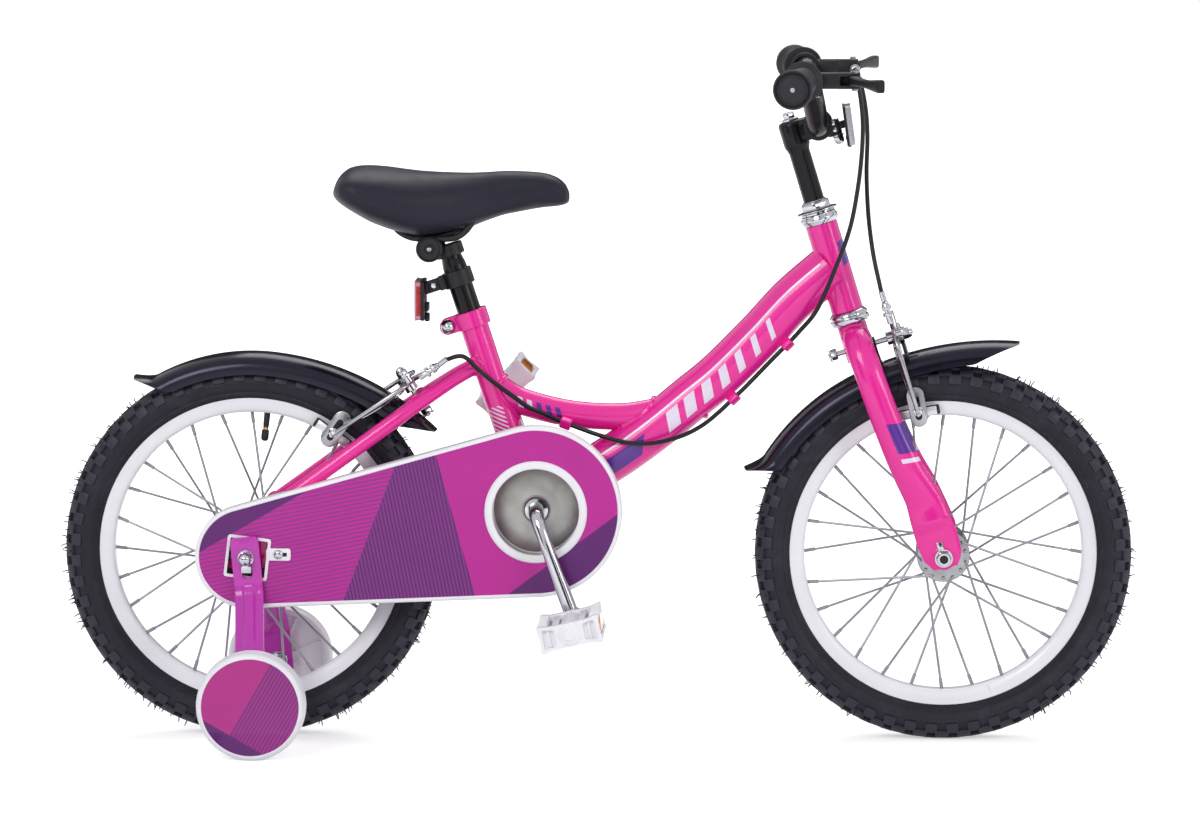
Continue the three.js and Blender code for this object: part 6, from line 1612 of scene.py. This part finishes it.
for side, hand in hands:
    build = bmesh.new()
    corners = rounded(
        [(-arm_half, 0), (arm_half, 0), (arm_half, arm_length), (-arm_half, arm_length)], 4, 5,
    )
    slot_loop = []
    for turn in range(0, 360, 15):
        x, z = on_circle(5.6, math.radians(turn))
        slot_loop.append((x, (38 if turn < 180 else 22) + z))
    flat_ring(build, [corners, slot_loop], 0, arm_thick)
    rims = [edge for edge in build.edges if len(edge.link_faces) == 2 and edge.calc_face_angle(0) > 1]
    bmesh.ops.bevel(
        build, geom=rims, offset=0.7, segments=2, affect="EDGES", profile=0.5, material=-1,
        clamp_overlap=True,
    )
    cuts = [((x, 0, 0), (1, 0, 0)) for x in (-11, -8.2, -6.4, -4.8, -3.6, 3.6, 4.8, 6.4, 8.2, 11)]
    cuts += [((0, 0, 46 + step * 3.2), (0, 0, 1)) for step in range(48)]
    for point, normal in cuts:
        drawn = build.verts[:] + build.edges[:] + build.faces[:]
        bmesh.ops.bisect_plane(build, geom=drawn, plane_co=point, plane_no=normal)
    for vert in build.verts:
        vert.co = bent((vert.co.x, vert.co.z, vert.co.y), side)
    out = across * side
    spacer = [(5.6, 0), (11.4, 0), (12, 0.6), (12, 13.7), (5.6, 13.7)]
    turned(build, spacer, rear_axle + out * 59.9, out, 36)
    turned(build, [(0, 0), (8.8, 0), (9.4, 0.4), (9.4, 1.4), (0, 1.4)], wheel_foot + out * 137.4, out, 32, 1)
    hexagon_nut(build, wheel_foot + out * 132.6, out, 14.6, 4.9, material=1)
    turned(build, [(0, 0), (4, 0), (4.6, 0.8), (4.6, 1.6), (0, 1.6)], wheel_foot + out * 131.2, out, 20, 1)
    pin(build, wheel_foot + out * 138, wheel_foot + out * 160, 5, 24, 0.7, 1)
    name = "stabiliser_arm_" + hand
    piece(build, name, [magenta_paint, chrome], "frame", [name], 30)


def wheel_print(tree, place):
    """A magenta disc with two ruled purple bands, set about the wheel's own centre."""
    flat = from_point(tree, place, wheel_foot)
    level = along_direction(tree, flat, (0.5, 0, 0.87))
    ahead = sum_of(tree, along_direction(tree, flat, (0.87, 0, -0.5)), -0.004, "GREATER_THAN")
    colour = blended(tree, ahead, tint("b8268a"), tint("a5268a"))
    lines = sum_of(tree, rulings(tree, flat, (0.87, 0, -0.5), 0.0036, 0.42), ahead, "MULTIPLY")
    colour = blended(tree, lines, colour, tint("752078"))
    return blended(tree, sum_of(tree, level, -0.036, "LESS_THAN"), colour, guard_purple)


wheel_paint = surface("wheel_print", wheel_print, 0.32, coat=0.3, mottle=0.06, cloud=30, grain=600)
wheel_white = surface("wheel_plastic", tint("f6f5fa"), 0.4, mottle=0.07, cloud=34, grain=650, depth=0.05)
for side, hand in hands:
    build = bmesh.new()
    out = across * side
    inner, outer = 146, 176
    profile = [(radius, outer + level) for radius, level in [
        (0, 0.2), (50.4, -0.4), (51, -0.2), (51.6, 0.3), (53, 0.1), (55, -1.4), (56.2, -4),
        (57, -7.6), (57, -12), (56.3, -12.7), (56.3, -14.3), (57, -15),
    ]]
    profile += [(radius, inner + level) for radius, level in [
        (57, 9), (56.3, 8.3), (56.3, 6.9), (57, 6.2), (56.6, 3.4), (55, 1), (52.6, 0), (51.2, 0.2),
        (50, 1.2), (48.6, 8), (47.4, 9.2), (12, 9.2), (11, 8), (11, 1.6), (10.4, 1), (5.6, 1),
    ]]
    profile += [(5.6, outer - 5.7), (0, outer - 5.7)]
    for rib in range(8):
        turn = math.pi * (rib / 4 + 0.125)
        rib_at = Matrix.Translation(wheel_point(wheel_foot, 29.6, side * 154, turn))
        block(build, (38, 5, 1.8), rib_at @ Matrix.Rotation(-turn, 4, "Y"), 0.6, 1)
    turned(build, profile, wheel_foot, out, 96)
    for face in build.faces:
        middle = face.calc_center_median()
        spread = math.hypot(middle.x - wheel_foot.x, middle.z - wheel_foot.z)
        if spread < 50.7 and side * middle.y > outer - 0.9:
            face.material_index = 1
    name = "stabiliser_wheel_" + hand
    piece(build, name, [wheel_white, wheel_paint], name, [name], 32)

# Handlebar and stem
# A black quill stem with a rounded head clamps a risen, swept steel bar. A hexagon bolt draws the
# wedge up inside the fork's tube, and a pinch bolt with a domed nut closes the clamp's ears.

stem_black = surface(
    "stem_black", tint("0d0c11"), 0.3, coat=0.12, specular=0.16, cloud=24, gloss_play=0.1, grain=500,
    depth=0.02,
)
bar_reach, bar_height, bar_radius = 27.3, 473.7, 11.1


def bar_point(side, reach):
    """A place on the bar's outer part, a distance out from its middle."""
    share = (reach - 112) / 141
    return steered(31 - 13.3 * share, side * reach, 529.3 + share)


def steer_block(build, size, place, bevel, material=0):
    block(build, size, steer_frame @ Matrix.Translation(place), bevel, 3, material)


build = bmesh.new()
for level, height in ((469.9, 6.2), (460.9, 6.4)):
    steer_block(build, (15.5, 23, height), (41.6, 0, level), 1.8)
pin(build, steered(44, 0, 451), steered(44, 0, 474.6), 3, 18, 0.4, 1)
turned(build, [(0, 0), (5.6, 0), (5.8, 0.8), (4.6, 2.4), (2.2, 3.2), (0, 3.4)],
       steered(44, 0, 473), steer_up, 24, 1)
washer(build, steered(44, 0, 456.6), steer_up, 3.2, 6.4, 1, 24, 1)
hexagon_nut(build, steered(44, 0, 450.6), steer_up, 10.6, 6.2, material=1)
turned(build, [(0, 0), (5.2, 0), (4.8, 1.6), (3.4, 3), (1.6, 3.7), (0, 3.9)],
       steered(44, 0, 451), -steer_up, 24, 1)
tube(build, straight(steered(2, 0, 472.4), steered(22, 0, 473.6), 4), (12, 12.4), 40, squareness=0.5)
turned(build, [
    (0, 318), (10.3, 318), (11.1, 318.9), (11.1, 452), (12.2, 456), (13.4, 458.6), (13.8, 461.6),
    (13.8, 481.5), (13.2, 484.2), (11.8, 485.6), (10.2, 486), (0, 486),
], steer_foot, steer_up, 56)
turned(build, [
    (11.3, -19), (14.8, -19), (15.6, -18.6), (15.8, -17.8), (15.8, -3.2), (15.4, -2.6), (15.4, 2.6),
    (15.8, 3.2), (15.8, 17.8), (15.6, 18.6), (14.8, 19), (11.3, 19),
], steered(bar_reach, 0, bar_height), across, 56)
piece(build, "quill_stem", [stem_black, chrome], "bar", ["stem"])

build = bmesh.new()
turned(build, [(0, 0), (8.6, 0), (9, 0.4), (9, 1.6), (8.4, 2.2), (0, 2.2)],
       steered(0, 0, 486.3), steer_up, 40)
hexagon_nut(build, steered(0, 0, 488.2), steer_up, 12, 6.6)
turned(build, [(0, 0), (5, 0), (4.6, 0.5), (0, 0.6)], steered(0, 0, 494.7), steer_up, 28)
piece(build, "stem_bolt_head", chrome, "bar", ["stem_bolt"], 30)


def half_bar(side):
    inner = [(27.3, 16, 473.7), (27.3, 34, 473.7), (28.1, 50, 480.7), (30, 72, 500.7), (31, 96, 522.7)]
    outer = [bar_point(side, reach) for reach in (112, 165, 210, 253)]
    return [steered(x, side * y, z) for x, y, z in inner] + outer


build = bmesh.new()
bar_route = smooth_route([*reversed(half_bar(-1)), *half_bar(1)], 153)
tube(build, bar_route, bar_radius, 32, reference=steer_forward)
for side in (-1, 1):
    for ring in range(9):
        start = 20.4 + ring * 1.5
        ends = [steered(bar_reach, side * reach, bar_height) for reach in (start, start + 0.8)]
        pin(build, *ends, bar_radius + 0.22, 32, 0.15)
piece(build, "riser_bar", stem_black, "bar", ["handlebar"])

# Front reflector
# A clear prismatic lens in a black backing plate, carried on a clip round the bar and tilted a
# little back.

clear_lens = surface(
    "clear_lens", tint("d3d2da"), 0.16, coat=0.7, mottle=0.34, cloud=420, gloss_play=0.1, depth=0.5,
    cells=520,
)
build = bmesh.new()
clip_side = -27
turned(build, [
    (11.2, -5), (14.4, -5), (15, -4.4), (15, 4.4), (14.4, 5), (11.2, 5),
], steered(bar_reach, clip_side, bar_height), across, 48)
steer_block(build, (12, 9.4, 13), (42.6, clip_side, 469.4), 1.6)
steer_block(build, (14, 7.6, 8), (50, clip_side + 1, 468.2), 1.2)
steer_block(build, (4, 7.6, 12), (53.4, clip_side + 3, 449), 1)
for level in (472.6, 465.2):
    foot = steered(43.4, clip_side - 4.4, level)
    turned(build, [(0, 0), (2.5, 0), (2.4, 0.8), (1.3, 1.4), (0, 1.5)], foot, -across, 18, 2)
lens_at = steer_frame @ shift(58.5, clip_side + 5, 466) @ Matrix.Rotation(math.radians(9), 4, "Y")
lens_face = lens_at @ Matrix.Rotation(math.pi / 2, 4, "Y")
for inset, round_off, level, thick, bevel, segments, material in (
    (0, 5, -3.1, 2.6, 0.5, 2, 0), (0.6, 4.6, 1.3, 6.2, 1.1, 3, 1),
):
    high, wide = 21.5 - inset, 26 - inset
    corners = oblong(high, wide, round_off, 5)
    plate(build, corners, lens_face @ shift(0, 0, level), thick, bevel, segments, material)
piece(build, "clear_reflector", [satin_black, clear_lens, chrome], "bar", ["front_reflector"])

# Grips
# Soft black rubber grips with an inner flange, close ribs under the fingers and a domed end with
# concentric rings round a pale moulded button.

grip_rubber = surface(
    "grip_rubber", tint("232129"), 0.58, mottle=0.16, cloud=46, gloss_play=0.12, grain=1500, depth=0.05,
)
button_grey = surface("button_grey", tint("b3b1bb"), 0.4, metallic=0.3, mottle=0.2, cloud=300)
for side, hand in hands:
    start, end = bar_point(side, 148), bar_point(side, 260)
    axis = (end - start).normalized()
    length = (end - start).length
    build = bmesh.new()
    profile = [
        (11.35, 0), (19.6, 0), (20.8, 0.7), (21, 1.8), (20.8, 3), (19.8, 3.8), (17, 5), (15.2, 6.6),
        (14.6, 9),
    ]
    for ridge in range(22):
        near = 11 + ridge * 3.7
        profile += [
            (14, near), (14, near + 0.9), (15, near + 1.5), (15.2, near + 2.2), (15, near + 3),
        ]
    profile += [(radius, length - back) for radius, back in [
        (14.7, 16.5), (16.6, 12.6), (19.4, 9.4), (20.3, 7), (20.4, 4), (19.9, 1.6), (18.8, 0.4),
        (18.2, 0.3), (17.6, 1.3), (17.2, 2.4), (16.5, 2.4), (16, 1.3), (15.4, 0.3), (14.4, 0.2),
        (13.9, 1.2), (13.3, 1.2), (9, 0.5), (4, 0), (0, 0), (0, 6.5), (11.35, 6.5),
    ]]
    turned(build, profile, start, axis, 56)
    button = [(0, -0.4), (2.2, -0.4), (2.4, 0.1), (1.7, 0.45), (0, 0.5)]
    turned(build, button, start + axis * length, axis, 18, 1)
    piece(build, "soft_grip_" + hand, [grip_rubber, button_grey], "bar", ["grip_" + hand], 30)

# Brake levers
# A black moulded bracket clamps the bar inside each grip. The lever turns on a silver rivet in its
# slotted jaw, narrows under the fingers and flares at the tip; the cable's adjuster screws in beside.

lever_black = surface("lever_black", tint("1a191e"), 0.42, cloud=36, depth=0.04)
blade_rows = [
    (52, -1.6, 7, 5), (52, 6, 7.2, 5.3), (52.6, 16, 6.8, 5.2), (55, 29, 5.2, 4.6),
    (59.4, 47, 4.4, 4.1), (64, 64, 4.2, 4.2), (68.6, 81, 4.2, 5), (73, 97, 4.2, 6.2),
    (76.4, 107, 4.2, 6.9), (78, 111, 3.2, 6.4),
]
for side, hand in hands:
    middle = bar_point(side, 131)
    hub = Matrix.Translation(middle) @ Matrix.Diagonal((1, side, 1, 1))

    def at(x, outward, z):
        return hub @ Vector((x, outward, z))

    def hub_block(build, size, place, bevel, material=0):
        block(build, size, Matrix.Translation(at(*place)), bevel, 3, material)

    build = bmesh.new()
    hub_block(build, (25, 22, 16.6), (25, 0, 0), 2.4)
    for level in (-1, 1):
        hub_block(build, (24, 22, 3.8), (45.6, 0, level * 6.4), 1.2)
    hub_block(build, (22, 8.4, 13), (46.2, -6.8, 0), 1)
    hub_block(build, (13, 14, 7), (12.4, 0, -12.6), 1.6)
    pin(build, at(12.4, 0, -17.6), at(12.4, 0, -15.4), 3.2, 20, 0.4, 1)
    pin(build, at(52, 5, -10.4), at(52, 5, 10.6), 3.3, 24, 0.7, 1)
    turned(build, [
        (0, 8), (4.4, 8), (4.4, 12), (5.4, 12.4), (5.6, 13), (5.6, 15.6), (5.2, 16.2), (4.4, 16.6),
        (4.4, 23.6), (3.9, 24.6), (2.7, 25), (2.7, 19), (0, 19),
    ], at(54, 0, -2), across * -side, 24, 1)
    for knurl in range(14):
        x, z = on_circle(5.5, 2 * math.pi * knurl / 14)
        pin(build, at(54 + x, -12.9, z - 2), at(54 + x, -15.8, z - 2), 0.6, 6, 0.1, 1)
    turned(build, [
        (12.3, -11), (14.8, -11), (15.4, -10.4), (15.4, 10.4), (14.8, 11), (12.3, 11),
    ], middle, across, 48)
    piece(build, "lever_bracket_" + hand, [lever_black, bright_steel], "bar",
          ["brake_lever_bracket_" + hand])

    build = bmesh.new()
    rows = [Vector(row) for row in blade_rows]
    rings = []
    for step in range(37):
        row = between(rows, step / 36)
        rings.append(ring_about(
            at(row.x, row.y, 0), Vector((1, 0, 0)), Vector((0, 0, 1)), row.z, row.w, 28, 0.42,
        ))
    loft(build, rings)
    pin(build, at(52, 5, -5.6), at(52, 5, 5.6), 4.6, 20, 0.3)
    piece(
        build, "lever_blade_" + hand, lever_black, "lever_" + hand,
        ["brake_lever_" + hand], 40,
    )

# Seat post
# A pink clamping collar with a domed chrome bolt holds a black steel post, whose neck carries the
# saddle clamp. A red reflector is strapped behind the post.

collar_ear = [(-12.5, 199.4), (-12.5, 216.8)]
for step in range(17):
    turn = math.radians(100 + 10 * step)
    collar_ear.append((-26 + 9.2 * math.cos(turn), 208 + 8.8 * math.sin(turn)))
build = bmesh.new()
for side in (-1, 1):
    plate(build, collar_ear, seat_frame @ shift(0, side * 4.9, 0) @ upright, 7.2, 1.2, 3)
turned(build, [
    (15.7, 199), (17.6, 199), (18.3, 199.7), (18.3, 216.3), (17.6, 217), (15.7, 217),
], seat_foot, seat_up, 56)
piece(build, "seat_collar", plain_pink, "frame", ["seat_clamp_collar"])
build = bmesh.new()
pin(build, seated(-26, -8, 208), seated(-26, 12.4, 208), 3.1, 20, 0.4)
turned(build, [(0, 0), (7.6, 0), (7.9, 0.5), (7.4, 1.6), (5.6, 3.6), (3.6, 5.2), (1.6, 6), (0, 6.2)],
       seated(-26, -8.8, 208), -across, 32)
washer(build, seated(-26, 8.7, 208), across, 3.2, 7.2, 1)
hexagon_nut(build, seated(-26, 9.4, 208), across, 11.4, 5)
piece(build, "seat_bolt", chrome, "frame", ["seat_clamp_bolt"], 30)

build = bmesh.new()
turned(build, [
    (0, 112), (12, 112), (12.7, 112.8), (12.7, 266.4), (12.4, 269.4), (11.6, 273), (11.1, 276),
    (11.1, 290.2), (10.4, 291), (0, 291),
], seat_foot, seat_up, 48)
piece(build, "post_tube", stem_black, "seat", ["seat_post"], 40)

build = bmesh.new()
tube(build, straight(seated(-4, 0, 286.6), seated(-21, 0, 290.6), 3), (14.4, 5.2), 32, squareness=0.5)
for side in (-1, 1):
    for groove in range(10):
        x, z = on_circle(7.2, 2 * math.pi * groove / 10)
        middle = seated(x - 17.7, side * 16, z + 293.8)
        pin(build, middle - across * 0.6, middle + across * 0.6, 0.9, 8, 0.2)
turned(build, [
    (0, -16.4), (7.8, -16.4), (8.4, -15.8), (8.4, 15.8), (7.8, 16.4), (0, 16.4),
], seated(-17.7, 0, 293.8), across, 36)
turned(build, [
    (11.3, 278.6), (14.7, 278.6), (15.4, 279.3), (15.4, 290.5), (14.7, 291.2), (11.3, 291.2),
], seat_foot, seat_up, 40)
piece(build, "saddle_clamp_body", satin_black, "seat", ["saddle_clamp"])

red_lens = surface(
    "red_lens", tint("b90d14"), 0.14, coat=0.3, mottle=0.42, cloud=300, gloss_play=0.1, depth=0.4,
    cells=480,
)
lens_edge = surface(
    "lens_edge", tint("c98f9c"), 0.18, coat=0.6, mottle=0.16, cloud=120, grain=700, depth=0.1,
)
build = bmesh.new()
strap_at = seat_frame @ shift(0, 0, 254)
block(build, (25, 11, 13), strap_at @ shift(-25.4, 0, 0), 1.6, 3)
block(build, (8, 16.4, 15), strap_at @ shift(-17.5, 0, 0), 1.4, 3)
for side in (-1, 1):
    screw = [(0, 0), (3.4, 0), (3.4, 0.9), (2.6, 1.6), (0, 1.8)]
    turned(build, screw, seated(-27, side * 5.4, 254.4), across * side, 24, 3)
turned(build, [
    (12.9, -8.5), (15.4, -8.5), (16, -7.9), (16, 7.9), (15.4, 8.5), (12.9, 8.5),
], strap_at.translation, seat_up, 44)
lens_middle = seated(-46.7, 0, 245)
# The layers of the reflector, each a distance forward of its middle.
for ahead, thick, wide, high, bevel, material in (
    (-2.4, 2.2, 25, 21.3, 0.9, 2), (0.6, 4.4, 24.7, 20.7, 0.4, 2), (0.8, 4.6, 25.1, 18.3, 0.4, 1),
    (4.8, 3.6, 24.8, 21.3, 0.6, 0),
):
    turn = Matrix.Translation(lens_middle) @ shift(ahead, 0, 0) @ Matrix.Rotation(math.pi / 2, 4, "Y")
    plate(build, oblong(high, wide, 4.5, 5), turn, thick, bevel, 2, material)
for size, ahead, level, bevel in (
    ((4.6, 20, 9), 8.2, 12, 1), ((4.6, 20, 9), 8.2, -8, 1), ((5, 10, 9), 8.6, -19, 1.2),
):
    block(build, size, Matrix.Translation(lens_middle) @ shift(ahead, 0, level), bevel, 2)
piece(build, "red_reflector", [satin_black, red_lens, lens_edge, chrome], "seat",
      ["rear_reflector"])

# Saddle
# Foam under a charcoal vinyl cover, stretched over a moulded pan. Two steel rails pass below it
# through a clamp whose round end caps carry the through bolt.

saddle_vinyl = surface(
    "saddle_vinyl", tint("252431"), 0.46, mottle=0.14, cloud=22, gloss_play=0.1, depth=0.05,
    specular=0.2, cells=620,
)
pan_black = surface("pan_black", tint("18171b"), 0.5, mottle=0.15, cloud=40, grain=800, depth=0.04)
saddle_eye = Vector((-176.6, 0, 522.76))
rail_places = [
    (-98, 12, 566), (-116, 15, 563), (-128, 19, 555), (-137, 22, 543), (-147, 22, 535.6), (-160, 22, 533.6),
    (-176.6, 22, 534), (-194, 22, 534.5), (-208, 22, 541), (-218, 22, 553),
]
pan_outline = [(-128, 14), (-150, 22), (-180, 34), (-204, 34), (-212, 20), (-213, 0)]
build = bmesh.new()
for side in (-1, 1):
    tube(build, smooth_route([(x, side * y, z) for x, y, z in rail_places], 56), 3.5, 16)
    turned(build, [
        (0, 17), (13.2, 17), (14, 17.8), (14, 26.8), (13.4, 28.4), (12.4, 29), (11.6, 28.4),
        (11.2, 27.2), (6, 26.8), (5.4, 27), (5, 27.6), (4.4, 27.6), (4, 26.6), (0, 26.4),
    ], saddle_eye, across * side, 48)
    turned(build, [(0, 26.2), (2.6, 26.2), (2.6, 27.4), (1.6, 28.3), (0, 28.6)],
           saddle_eye, across * side, 20, 1)
pan_loop = pan_outline + [(x, -y) for x, y in reversed(pan_outline[:-1])]
plate(build, rounded(pan_loop, 6, 3), shift(0, 0, 553), 5, 1.2, 2)
spine = smooth_route([(-134, 0, 549), (-146, 0, 542), (-172, 0, 535), (-198, 0, 537), (-210, 0, 546)], 24)
tube(build, spine, lambda share: (10 + 14 * math.sin(math.pi * share), 3.2), 24, squareness=0.7)
piece(build, "saddle_underside", [pan_black, bright_steel], "saddle", ["saddle_base"])

saddle_rows = [
    (-28.8, 8, 582, 568.2), (-30.6, 14, 588, 566.8), (-35, 18.6, 594, 566.2),
    (-42, 21.6, 599, 565.8), (-50, 23, 602, 565.3), (-60, 24.4, 603.8, 564.6),
    (-75, 26.4, 604, 561.5), (-98.7, 29.6, 603.8, 556.1), (-118, 34, 602.3, 549.4),
    (-133.7, 39, 601.6, 543.2), (-150, 45.6, 601.8, 539.2), (-168, 54, 602.2, 535.6),
    (-187, 62, 603.2, 533), (-205, 68.4, 605.2, 537), (-222, 73, 607.4, 542.4),
    (-238, 76, 608.6, 548.4), (-252, 77, 609, 556.4), (-262, 75, 607.6, 562.4),
    (-269, 70, 603.6, 567.2), (-274, 61, 597, 571.2), (-277, 46, 589, 574.2),
    (-278.2, 28, 581.6, 576.2),
]
saddle_shrink = 1.2
build = bmesh.new()
rows = [Vector(row) for row in saddle_rows]
rings = []
for step in range(85):
    x, half, top, low = between(rows, step / 84)
    ring = []
    for spot in range(56):
        run, rise = on_circle(1, 2 * math.pi * spot / 56)
        width = math.copysign(abs(run) ** 0.8, run) * (half - saddle_shrink) * (1 + 0.12 * min(rise, 0))
        height = (math.copysign(abs(rise) ** 0.75, rise) + 1) / 2
        ring.append(Vector((x, width, (low + saddle_shrink) + (top - low - 2 * saddle_shrink) * height)))
    rings.append(ring)
loft(build, rings)
bmesh.ops.recalc_face_normals(build, faces=build.faces)
bmesh.ops.scale(build, vec=(millimetre,) * 3, verts=build.verts)
form = put_in_scene(build, "saddle_form")
remesh = form.modifiers.new("remesh", "REMESH")
remesh.mode = "VOXEL"
remesh.voxel_size = 0.0042
smooth = form.modifiers.new("smooth", "SMOOTH")
smooth.iterations = 6
smooth.factor = 0.5
bpy.context.view_layer.update()
mesh = bpy.data.meshes.new_from_object(form.evaluated_get(bpy.context.evaluated_depsgraph_get()))
bpy.data.objects.remove(form)
cover = bpy.data.objects.new("saddle_padding", mesh)
scene.collection.objects.link(cover)
start_places = [vert.co.copy() for vert in mesh.vertices]
held = cover.vertex_groups.new(name="held")
fixed = [number for number, place in enumerate(start_places) if place.z < 0.545 or place.x > -0.034]
held.add(fixed, 1, "REPLACE")
cloth = cover.modifiers.new("cloth", "CLOTH")
vinyl = cloth.settings
vinyl.quality = 5
vinyl.mass = 0.4
vinyl.tension_stiffness = 40.0
vinyl.compression_stiffness = 40.0
vinyl.bending_stiffness = 8.0
vinyl.use_pressure = True
vinyl.uniform_pressure_force = 4.0
vinyl.effector_weights.gravity = 0.0
vinyl.vertex_group_mass = "held"
cloth.point_cache.frame_start = 1
cloth.point_cache.frame_end = 20
for number in range(1, 21):
    scene.frame_set(number)
blown = cover.evaluated_get(bpy.context.evaluated_depsgraph_get()).to_mesh()
ends = [vert.co.copy() for vert in blown.vertices]
cover.modifiers.remove(cloth)
scene.frame_set(1)
cap = 0.0016
for vert, start, end in zip(mesh.vertices, start_places, ends):
    move = end - start
    vert.co = start + move * min(1, cap / max(move.length, 1e-9))
mesh.materials.clear()
mesh.materials.append(saddle_vinyl)
mesh.shade_smooth()
rounding = cover.modifiers.new("rounding", "SUBSURF")
rounding.levels = 1
rounding.render_levels = 1
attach(cover, "saddle")
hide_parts("saddle_cover")
